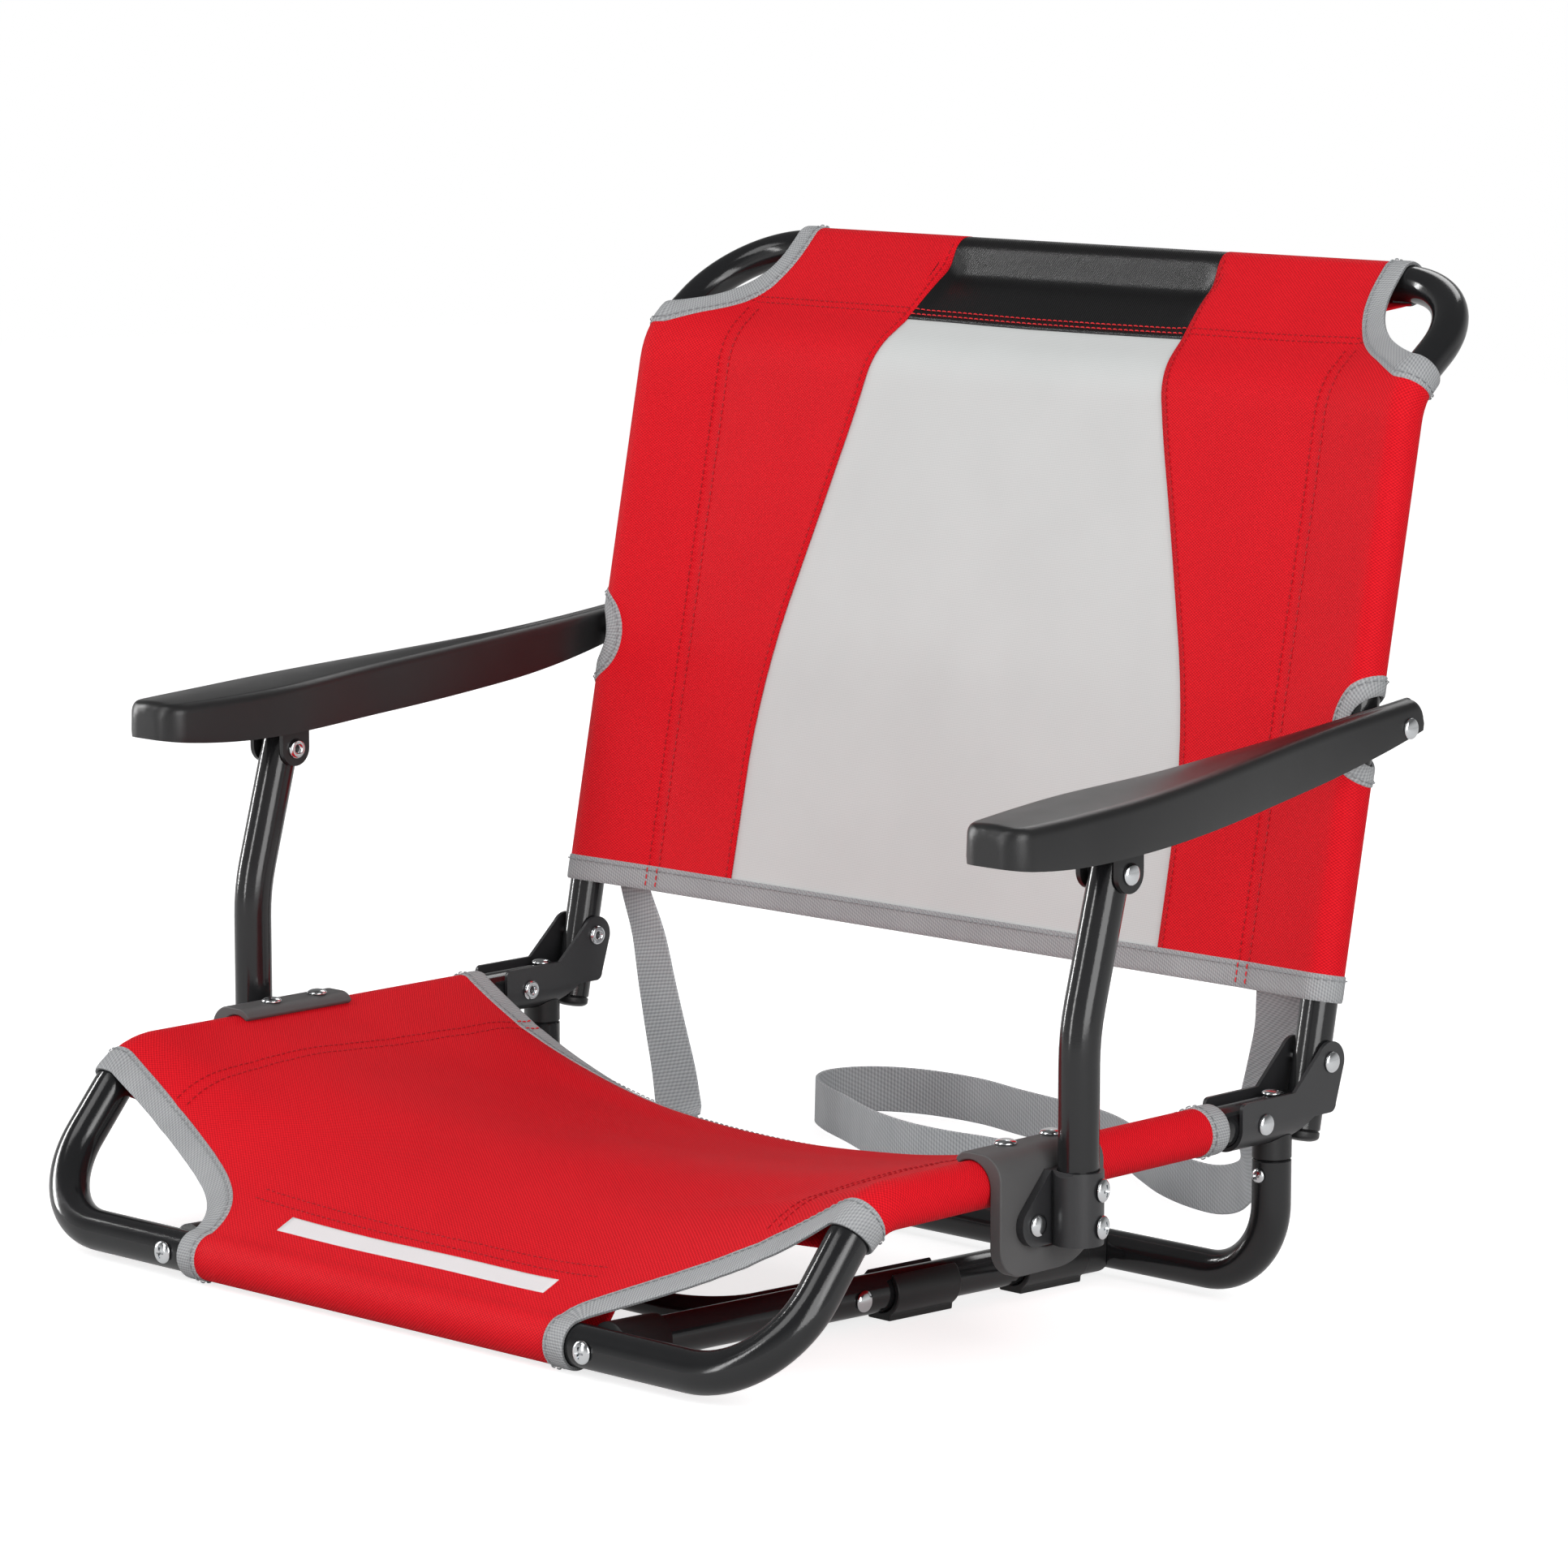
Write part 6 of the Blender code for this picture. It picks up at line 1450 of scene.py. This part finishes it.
WRAP_FULL = RAIL_X + BACK_SLEEVE_RADIUS * radians(FLAP_TANGENT + 90)
ARMHOLE_FRONT_U = RAIL_X + BACK_SLEEVE_RADIUS * radians(ARMHOLE_FRONT_ANGLE + 90)
ARMHOLE_U = (WRAP_FULL + ARMHOLE_FRONT_U) / 2
ARMHOLE_HALF_WIDTH = (WRAP_FULL - ARMHOLE_FRONT_U) / 2
BAR_WRAP_V = BAR_S + BACK_SLEEVE_RADIUS * radians(BAR_WRAP)
BAR_WRAP_LEVELS = steps_between(BAR_S, BAR_WRAP_V + BAR_FLAP, BAR_WRAP_STEP)[1:]


def armhole_reach(s):
    """Half width of the armhole at a height s."""
    share = (s - ARMHOLE_S) / ARMHOLE_HALF_HEIGHT
    return ARMHOLE_HALF_WIDTH * sqrt(max(0.0, 1 - share ** 2))


def dress_side_panel(label, side):
    shares = evenly(28)
    low = ARMHOLE_S - ARMHOLE_HALF_HEIGHT
    high = ARMHOLE_S + ARMHOLE_HALF_HEIGHT
    hole = [ARMHOLE_S - ARMHOLE_HALF_HEIGHT * cos(pi * t) for t in evenly(ARMHOLE_ROWS)]
    levels = steps_between(HEM_S, low, CLOTH_STEP)[:-1] + hole
    levels += steps_between(high, SLEEVE_TOP_S, CLOTH_STEP)[1:]
    sheet, wrap, flap = [], [], []
    flap_end = WRAP_FULL + PANEL_FLAP
    for s in levels:
        inner = mesh_half_width(s)
        sheet.append([(side * (inner + (RAIL_X - inner) * t), s) for t in shares])
        reach = armhole_reach(s)
        front_end = ARMHOLE_U - reach
        rear_end = ARMHOLE_U + reach
        wrap.append([(side * (RAIL_X + (front_end - RAIL_X) * t), s) for t in evenly(14)])
        flap.append([(side * (rear_end + (flap_end - rear_end) * t), s) for t in evenly(20)])
    top = []
    for s in steps_between(SLEEVE_TOP_S, BAR_S, PANEL_TOP_STEP) + BAR_WRAP_LEVELS:
        inner = mesh_half_width(s)
        outer = panel_outer(s)
        top.append([(side * (inner + (outer - inner) * t), s) for t in shares])
    grids = [[row[::side] for row in grid] for grid in (sheet, wrap, flap, top)]
    made = cloth_piece(f"back_panel_cloth_{label}", cloth_mesh(back_cloth, grids), RED, "back",
                       [f"back_side_panel_{label}"])


def dress_mesh_panel():
    def rows(levels, lap):
        return [[((mesh_half_width(s) + lap) * k, s) for k in both_ways(60)] for s in levels]

    levels = steps_between(HEM_S, MESH_TOP_S, CLOTH_STEP)
    sheet = cloth_mesh(back_cloth, [rows(levels, MESH_LAP)], MESH_LIFT)
    net = cloth_piece("back_mesh_cloth", sheet, NET, "back", ["back_mesh_panel"])
    levels = steps_between(BLACK_SLEEVE_S, BAR_S, BAR_SLEEVE_STEP) + BAR_WRAP_LEVELS
    sheet = cloth_mesh(back_cloth, [rows(levels, BLACK_SLEEVE_LAP)], BLACK_SLEEVE_LIFT)
    sleeve = cloth_piece("back_bar_sleeve", sheet, BLACK_CLOTH, "back")


# Tape bindings, stitches and the label

def flat_tangents(curve, closed):
    made = []
    count = len(curve)
    for i in range(count):
        before = curve[(i - 1) % count] if closed or i else curve[i]
        after = curve[(i + 1) % count] if closed or i < count - 1 else curve[i]
        made.append((Vector(after) - Vector(before)).normalized())
    return made


def resampled(curve, spacing, closed=False):
    """A flat curve at an even spacing."""
    points = [Vector(point) for point in curve]
    if closed:
        points.append(points[0])
    lengths = [0.0]
    for a, b in zip(points, points[1:]):
        lengths.append(lengths[-1] + (b - a).length)
    count = max(2, round(lengths[-1] / spacing))
    made = []
    index = 0
    for k in range(count if closed else count + 1):
        target = lengths[-1] * k / count
        while index < len(points) - 2 and lengths[index + 1] < target:
            index += 1
        run = lengths[index + 1] - lengths[index]
        made.append(points[index].lerp(points[index + 1], (target - lengths[index]) / run if run else 0))
    return made


def bind(name, cloth, curve, body, threads, width=TAPE_WIDTH, turn=1, closed=False):
    """Tape folded over a cloth edge and sewn: the curve is the edge, turn tells where the cloth lies."""
    t = TAPE_HALF_THICKNESS
    section = [(width, 0.5 * t), (width - 0.0005, 0.95 * t), (width * 0.6, t), (width * 0.2, t)]
    section += [(0.0004, 0.9 * t), (-0.0005, 0.5 * t)]
    section += [(d, -lift) for d, lift in reversed(section)]
    curve = resampled(curve, TAPE_STEP, closed)
    inwards = [Vector((-tangent.y, tangent.x)) * turn for tangent in flat_tangents(curve, closed)]
    bm = bmesh.new()
    flat = bm.verts.layers.float_vector.new("flat")
    rings = []
    length = 0.0
    for index, (point, inward) in enumerate(zip(curve, inwards)):
        if index:
            length += (point - curve[index - 1]).length
        ring = []
        for d, lift in section:
            place = point + inward * d
            vert = bm.verts.new(lifted(cloth, place.x, place.y, lift)[0])
            vert[flat] = (length, d if lift > 0 else 2 * width - d, 0)
            ring.append(vert)
        rings.append(ring)
    skin(bm, rings + [rings[0]] if closed else rings)
    if not closed:
        cap(bm, rings)
    bmesh.ops.recalc_face_normals(bm, faces=bm.faces)
    flat_to_uv(bm, flat)
    piece(name, bm, TAPE, body)
    seam = [point + inward * (width - TAPE_STITCH_INSET) for point, inward in zip(curve, inwards)]
    stitch(threads, cloth, seam, TAPE_HALF_THICKNESS, closed)


def stitch(bm, cloth, curve, lift=0.0, closed=False):
    """A row of short raised threads along a flat curve."""
    points = resampled(curve, STITCH_PITCH / 4, closed)
    half = STITCH_LENGTH / 2
    for index in range(2, len(points) - 2, 4):
        tangent = (points[index + 1] - points[index - 1]).normalized()
        rings = []
        for share, height, size in STITCH_RINGS:
            place = points[index] + tangent * half * share
            centre, normal = lifted(cloth, place.x, place.y, lift + FABRIC / 2 + STITCH_RADIUS * height)
            ahead = cloth(*(place + tangent * LOOK_AHEAD)) - cloth(*place)
            aside = normal.cross(ahead).normalized()
            rings.append(circle(bm, centre, aside, normal, STITCH_RADIUS * size, THREAD_SIDES))
        skin(bm, rings)
        cap(bm, rings)


def dress_bindings():
    grey_seat = bmesh.new()
    grey_back = bmesh.new()
    for label, side in SIDES:
        curve = [(side * u, SLEEVE_FRONT) for u in steps_between(SEAT_WIDTH_U, SPAN, EDGE_STEP)]
        levels = steps_between(SLEEVE_FRONT, 0, EDGE_STEP)[1:]
        curve += [(side * scallop_half_width(v, side), v) for v in levels]
        curve += [(side * SLING_FRONT_HALF_WIDTH, v) for v in steps_between(0, FRONT_WRAP_V, EDGE_STEP)[1:]]
        bind(f"seat_front_binding_{label}", seat_cloth, curve, "seat", grey_seat, turn=-side)
    curve = [(u, SLING_REAR_Y) for u in steps_between(-SEAT_WIDTH_U, SEAT_WIDTH_U, HEM_STEP)]
    bind("seat_rear_binding", seat_cloth, curve, "seat", grey_seat, turn=-1)
    curve = [(u, HEM_S) for u in steps_between(-WRAP_FULL, WRAP_FULL, HEM_STEP)]
    bind("back_hem_binding", back_cloth, curve, "back", grey_back, HEM_TAPE_WIDTH)
    for label, side in SIDES:
        curve = [(side * u, SLEEVE_TOP_S) for u in steps_between(WRAP_FULL, RAIL_X, EDGE_STEP)]
        curve += [(side * panel_outer(s), s) for s in steps_between(SLEEVE_TOP_S, BAR_S, CORNER_STEP)[1:]]
        curve += [(side * PANEL_TOP_HALF_WIDTH, s) for s in steps_between(BAR_S, BAR_WRAP_V, EDGE_STEP)[1:]]
        bind(f"back_top_binding_{label}", back_cloth, curve, "back", grey_back, turn=side)
        loop = []
        for angle in around(ARMHOLE_SIDES):
            loop.append((side * (ARMHOLE_U + ARMHOLE_HALF_WIDTH * cos(angle)),
                         ARMHOLE_S + ARMHOLE_HALF_HEIGHT * sin(angle)))
        bind(f"armhole_binding_{label}", back_cloth, loop, "back", grey_back, ARMHOLE_TAPE_WIDTH, -side, True)
    piece("seat_binding_stitches", grey_seat, GREY_THREAD, "seat")
    piece("back_binding_stitches", grey_back, GREY_THREAD, "back")


def dress_stitching():
    on_seat = bmesh.new()
    on_back = bmesh.new()
    seat_tacks = bmesh.new()
    back_bright = bmesh.new()
    first_seam = BLACK_SLEEVE_S + EDGE_STITCH_INSET
    bar_seams = (first_seam, first_seam + THREAD_GAP)
    for _, side in SIDES:
        for x in (SEAM_X, SEAM_X - SEAM_GAP):
            seat_end = SLING_REAR_Y - TAPE_WIDTH
            tack = [(side * x, seat_end), (side * x, SLING_REAR_Y - TACK_INSET)]
            stitch(seat_tacks, seat_cloth, tack, TAPE_HALF_THICKNESS)
            stitch(on_seat, seat_cloth, [(side * x, SEAT_SEAM_FRONT_Y), (side * x, seat_end)])
            back_end = SLEEVE_TOP_S + BACK_SEAM_OVERRUN
            stitch(on_back, back_cloth, [(side * x, HEM_S + TAPE_WIDTH), (side * x, back_end)])
            tack = [(side * (x + TACK_SHIFT), HEM_S + inset) for inset in (TACK_INSET, TAPE_WIDTH)]
            stitch(back_bright, back_cloth, tack, TAPE_HALF_THICKNESS)
        levels = steps_between(HEM_S + TAPE_WIDTH, BAR_S, CLOTH_STEP)
        stitch(on_back, back_cloth, [(side * (mesh_half_width(s) + EDGE_STITCH_INSET), s) for s in levels])
        for s in bar_seams:
            ends = (mesh_half_width(s) + EDGE_STITCH_INSET, panel_outer(s) - TAPE_WIDTH)
            stitch(on_back, back_cloth, [(side * x, s) for x in ends])
    for s in bar_seams:
        stitch(back_bright, back_cloth, [(-mesh_half_width(s), s), (mesh_half_width(s), s)], BRIGHT_LIFT)
    for y in (FRONT_FLAP, FRONT_FLAP - SEAM_GAP):
        stitch(on_seat, seat_cloth, [(-FRONT_SEAM_X, y), (FRONT_SEAM_X, y)])
    # The stitches on the red cloth take the darker thread, whose colour is painted shade; those on the black
    # sleeve and the tape take the plain red thread
    piece("seat_stitching", on_seat, SHADED_THREAD, "seat")
    piece("back_stitching", on_back, SHADED_THREAD, "back")
    piece("seat_bar_tacks", seat_tacks, THREAD, "seat")
    piece("back_bright_stitching", back_bright, THREAD, "back")


def dress_label():
    across = steps_between(*LABEL_X, LABEL_STEPS[0])
    rows = [[(u, v) for u in across] for v in steps_between(*LABEL_Y, LABEL_STEPS[1])]
    strip = cloth_mesh(seat_cloth, [rows], FABRIC / 2 + LABEL_LIFT)
    made = cloth_piece("seat_label_blank", strip, LABEL, "seat")
    made.modifiers["Thickness"].thickness = LABEL_THICKNESS


# Carry strap

# The strap's route behind the chair from left to right: x as a share of the strap ends' x, distance behind
# those ends as a share of the strap's depth, height as a share of the hem's above the floor stretch, and how
# far the webbing has turned from hanging flat (0) to standing on its edge (1)
STRAP_ROUTE = (
    (-0.967, 0.016, 0.812, 0.00),
    (-0.948, 0.030, 0.615, 0.00),
    (-0.931, 0.045, 0.434, 0.00),
    (-0.911, 0.058, 0.253, 0.00),
    (-0.889, 0.057, 0.096, 0.25),
    (-0.850, 0.038, 0.015, 0.75),
    (-0.773, 0.005, 0.000, 1.00),
    (-0.659, -0.018, 0.000, 1.00),
    (-0.500, -0.026, 0.000, 1.00),
    (-0.295, -0.026, 0.000, 1.00),
    (-0.091, -0.022, 0.000, 1.00),
    (0.091, -0.005, 0.000, 1.00),
    (0.227, 0.060, 0.000, 1.00),
    (0.300, 0.170, 0.000, 1.00),
    (0.273, 0.290, 0.000, 1.00),
    (0.160, 0.370, 0.000, 1.00),
    (0.000, 0.400, 0.000, 1.00),
    (-0.173, 0.400, 0.000, 1.00),
    (-0.301, 0.385, 0.000, 1.00),
    (-0.437, 0.395, 0.000, 1.00),
    (-0.592, 0.447, 0.000, 1.00),
    (-0.765, 0.542, 0.000, 1.00),
    (-0.925, 0.628, 0.000, 1.00),
    (-1.016, 0.709, 0.000, 1.00),
    (-1.048, 0.804, 0.000, 1.00),
    (-1.007, 0.914, 0.000, 1.00),
    (-0.893, 0.985, 0.000, 1.00),
    (-0.720, 1.000, 0.000, 1.00),
    (-0.551, 0.961, 0.000, 1.00),
    (-0.401, 0.933, 0.000, 1.00),
    (-0.246, 0.904, 0.000, 1.00),
    (-0.109, 0.838, 0.000, 1.00),
    (0.023, 0.738, 0.000, 1.00),
    (0.164, 0.638, 0.000, 1.00),
    (0.301, 0.571, 0.000, 1.00),
    (0.428, 0.523, 0.012, 1.00),
    (0.542, 0.461, 0.065, 0.92),
    (0.629, 0.385, 0.148, 0.70),
    (0.711, 0.300, 0.284, 0.40),
    (0.793, 0.214, 0.457, 0.15),
    (0.879, 0.133, 0.654, 0.00),
    (0.948, 0.066, 0.827, 0.00),
)


def strap_end(side, s):
    """A point of the strap sewn behind the flap, and the flap's run inwards, in the base frame."""
    outer = Vector(on_arc((0, 0), BACK_SLEEVE_RADIUS, radians(FLAP_TANGENT)))
    inner = flap_seam()
    run = (inner - outer).normalized()
    share = (outer.x + STRAP_INSET) / (outer.x - inner.x)
    middle = outer.lerp(inner, share) + Vector((run.y, -run.x)) * (FABRIC / 2 + FIT + STRAP_THICKNESS / 2)
    pitched = Matrix.Rotation(PITCH, 3, "X")
    place = pitched @ back_place(side * (RAIL_X + middle.x), s, middle.y)
    inwards = pitched @ (Vector((side * run.x, 0, 0)) + LEAN_REAR * run.y)
    return place, inwards


def smooth_route(points, spacing):
    """Points at about the given spacing on a smooth curve through the route's own points."""
    made = []
    last = len(points) - 1
    for index in range(last):
        p0, p1, p2, p3 = (points[min(last, max(0, index + k))] for k in (-1, 0, 1, 2))
        steps = max(1, round((p2.xyz - p1.xyz).length / spacing))
        for step in range(steps):
            t = step / steps
            made.append(0.5 * ((p1 * 2) + (p2 - p0) * t + (p0 * 2 - p1 * 5 + p2 * 4 - p3) * t ** 2
                               + (p1 * 3 - p0 - p2 * 3 + p3) * t ** 3))
    made.append(points[last])
    return made


def strap_route():
    """The whole route in the base frame; the fourth value is the webbing's turn."""
    hem, _ = strap_end(1, HEM_S)
    floor = STRAP_WIDTH / 2 + STRAP_FLOOR_GAP - FLOOR_TO_BASE_AXIS
    sewn = [HEM_S + STRAP_SEAM * share for share in (1, 0.5, 0)]
    route = [Vector((*strap_end(-1, s)[0], 0)) for s in sewn]
    for x, behind, height, turn in STRAP_ROUTE:
        level = floor + (hem.z - floor) * height
        route.append(Vector((x * hem.x, hem.y + behind * STRAP_DEPTH, level, turn)))
    return route + [Vector((*strap_end(1, s)[0], 0)) for s in reversed(sewn)]


def dress_strap():
    line = smooth_route(strap_route(), STRAP_SPACING)
    path = [point.xyz for point in line]
    bm = bmesh.new()
    flat = bm.verts.layers.float_vector.new("flat")
    half_w = STRAP_WIDTH / 2
    half_t = STRAP_THICKNESS / 2
    section = [(-half_w, 0.0), (-half_w + STRAP_EDGE, half_t)]
    section += [(-half_w + STRAP_WIDTH * k / 12, half_t) for k in range(1, 12)]
    section += [(half_w - STRAP_EDGE, half_t), (half_w, 0.0)]
    section += [(a, -b) for a, b in section[-2:0:-1]]
    rings = []
    length = 0.0
    for index, (point, centre, direction) in enumerate(zip(line, path, tangents(path))):
        if index:
            length += (centre - path[index - 1]).length
        hem, inwards = strap_end(1 if point.x > 0 else -1, HEM_S)
        if point.x < 0:
            drop = min(1.0, max(0.0, (hem.z - point.z) / hem.z))
            inwards = Matrix.Rotation(STRAP_LEFT_TWIST * drop, 3, "Z") @ inwards
        turn = smooth(point.w)
        width = inwards * (1 - turn) + Z_AXIS * turn
        width = (width - direction * width.dot(direction)).normalized()
        thick = direction.cross(width).normalized()
        ring = []
        for a, b in section:
            vert = bm.verts.new(centre + width * a + thick * b)
            vert[flat] = (length, a if b >= 0 else STRAP_WIDTH - a, 0)
            ring.append(vert)
        rings.append(ring)
    skin(bm, rings)
    cap(bm, rings)
    bmesh.ops.recalc_face_normals(bm, faces=bm.faces)
    flat_to_uv(bm, flat)
    strap = piece("webbing_carry_strap", bm, WEBBING, None, ["carry_strap"], BASE)
    hem = SEAT @ back_place(0, HEM_S, 0)
    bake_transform(strap)


# Stage

def build_camera():
    back = Vector((sin(CAMERA_AZIMUTH) * cos(CAMERA_ELEVATION), -cos(CAMERA_AZIMUTH) * cos(CAMERA_ELEVATION),
                   sin(CAMERA_ELEVATION)))
    right = Vector((cos(CAMERA_AZIMUTH), sin(CAMERA_AZIMUTH), 0))
    up = back.cross(right)
    pose = Matrix((right, up, back)).transposed().to_4x4()
    pose.translation = CAMERA_TARGET + back * CAMERA_DISTANCE
    data = bpy.data.cameras.new("camera")
    data.lens = CAMERA_LENS
    data.sensor_width = CAMERA_SENSOR
    camera = bpy.data.objects.new("camera", data)
    bpy.context.collection.objects.link(camera)
    camera.matrix_world = SEAT @ pose
    bpy.context.scene.camera = camera


def area_light(name, place, size, energy, only_in_gloss=False):
    """A rectangular lamp turned to the chair, which the camera doesn't see."""
    data = bpy.data.lights.new(name, "AREA")
    data.shape = "RECTANGLE"
    data.size, data.size_y = size
    data.energy = energy
    lamp = bpy.data.objects.new(name, data)
    bpy.context.collection.objects.link(lamp)
    lamp.location = place
    lamp.visible_camera = False
    lamp.visible_diffuse = not only_in_gloss
    lamp.rotation_euler = (Vector(LAMP_TARGET) - Vector(place)).to_track_quat("-Z", "Y").to_euler()


def build_stage():
    """A pale floor that is white to the camera where unshaded, a white surround and soft lamps."""
    bm = bmesh.new()
    corners = [Vector((x, y, 0)) * FLOOR_HALF_SIZE for x, y in ((-1, -1), (1, -1), (1, 1), (-1, 1))]
    bm.faces.new([bm.verts.new(corner) for corner in corners])
    mesh = bpy.data.meshes.new("floor")
    bm.to_mesh(mesh)
    bm.free()
    floor = bpy.data.objects.new("floor", mesh)
    bpy.context.collection.objects.link(floor)
    made = bpy.data.materials.new("pale_floor")
    made.use_nodes = True
    tree = made.node_tree
    shader = tree.nodes["Principled BSDF"]
    shader.inputs["Base Color"].default_value = FLOOR_COLOUR
    shader.inputs["Roughness"].default_value = FLOOR_ROUGHNESS
    shader.inputs["Specular IOR Level"].default_value = 0.0
    shader.inputs["Emission Color"].default_value = (1, 1, 1, 1)
    by_ray(tree, FLOOR_GLOW, FLOOR_GLOW_IN_GLOSS, 0.0, shader.inputs["Emission Strength"])
    mesh.materials.append(made)

    world = bpy.data.worlds.new("surround")
    bpy.context.scene.world = world
    world.use_nodes = True
    tree = world.node_tree
    background = tree.nodes["Background"]
    background.inputs["Color"].default_value = (1, 1, 1, 1)
    direction = tree.nodes.new("ShaderNodeTexCoord").outputs["Generated"]
    split = tree.nodes.new("ShaderNodeSeparateXYZ")
    tree.links.new(direction, split.inputs["Vector"])
    height = tree.nodes.new("ShaderNodeMapRange")
    levels = (*GLOSS_FADE, HORIZON_IN_GLOSS, OVERHEAD_IN_GLOSS)
    for socket, value in zip(("From Min", "From Max", "To Min", "To Max"), levels):
        height.inputs[socket].default_value = value
    tree.links.new(split.outputs["Z"], height.inputs["Value"])
    by_ray(tree, 1.0, height.outputs["Result"], SURROUND, background.inputs["Strength"])
    for lamp in STREAKS:
        area_light(*lamp, only_in_gloss=True)
    for lamp in LAMPS:
        area_light(*lamp)


def by_ray(tree, seen, in_gloss, lit, socket):
    """Feeds a socket with a level for camera and transmission rays, one for glossy rays, one for the rest."""
    path = tree.nodes.new("ShaderNodeLightPath")
    level = lit
    for ray, value in (("Is Glossy Ray", in_gloss), ("Is Transmission Ray", seen), ("Is Camera Ray", seen)):
        mix = tree.nodes.new("ShaderNodeMix")
        tree.links.new(path.outputs[ray], mix.inputs["Factor"])
        put(tree, mix.inputs["A"], level)
        put(tree, mix.inputs["B"], value)
        level = mix.outputs["Result"]
    tree.links.new(level, socket)


build_camera()
dress_strap()
dress_seat_frame()
dress_rear_legs()
dress_base()
dress_bench_hook()
dress_hinge_brackets()
dress_back_frame()
dress_saddle_plates()
for label, side in SIDES:
    dress_arm_support(label, side)
    dress_armrest(label, side)
    dress_side_panel(label, side)
dress_seat_sling()
dress_mesh_panel()
dress_bindings()
dress_stitching()
dress_label()
build_stage()

bpy.context.scene.view_settings.view_transform = "Standard"
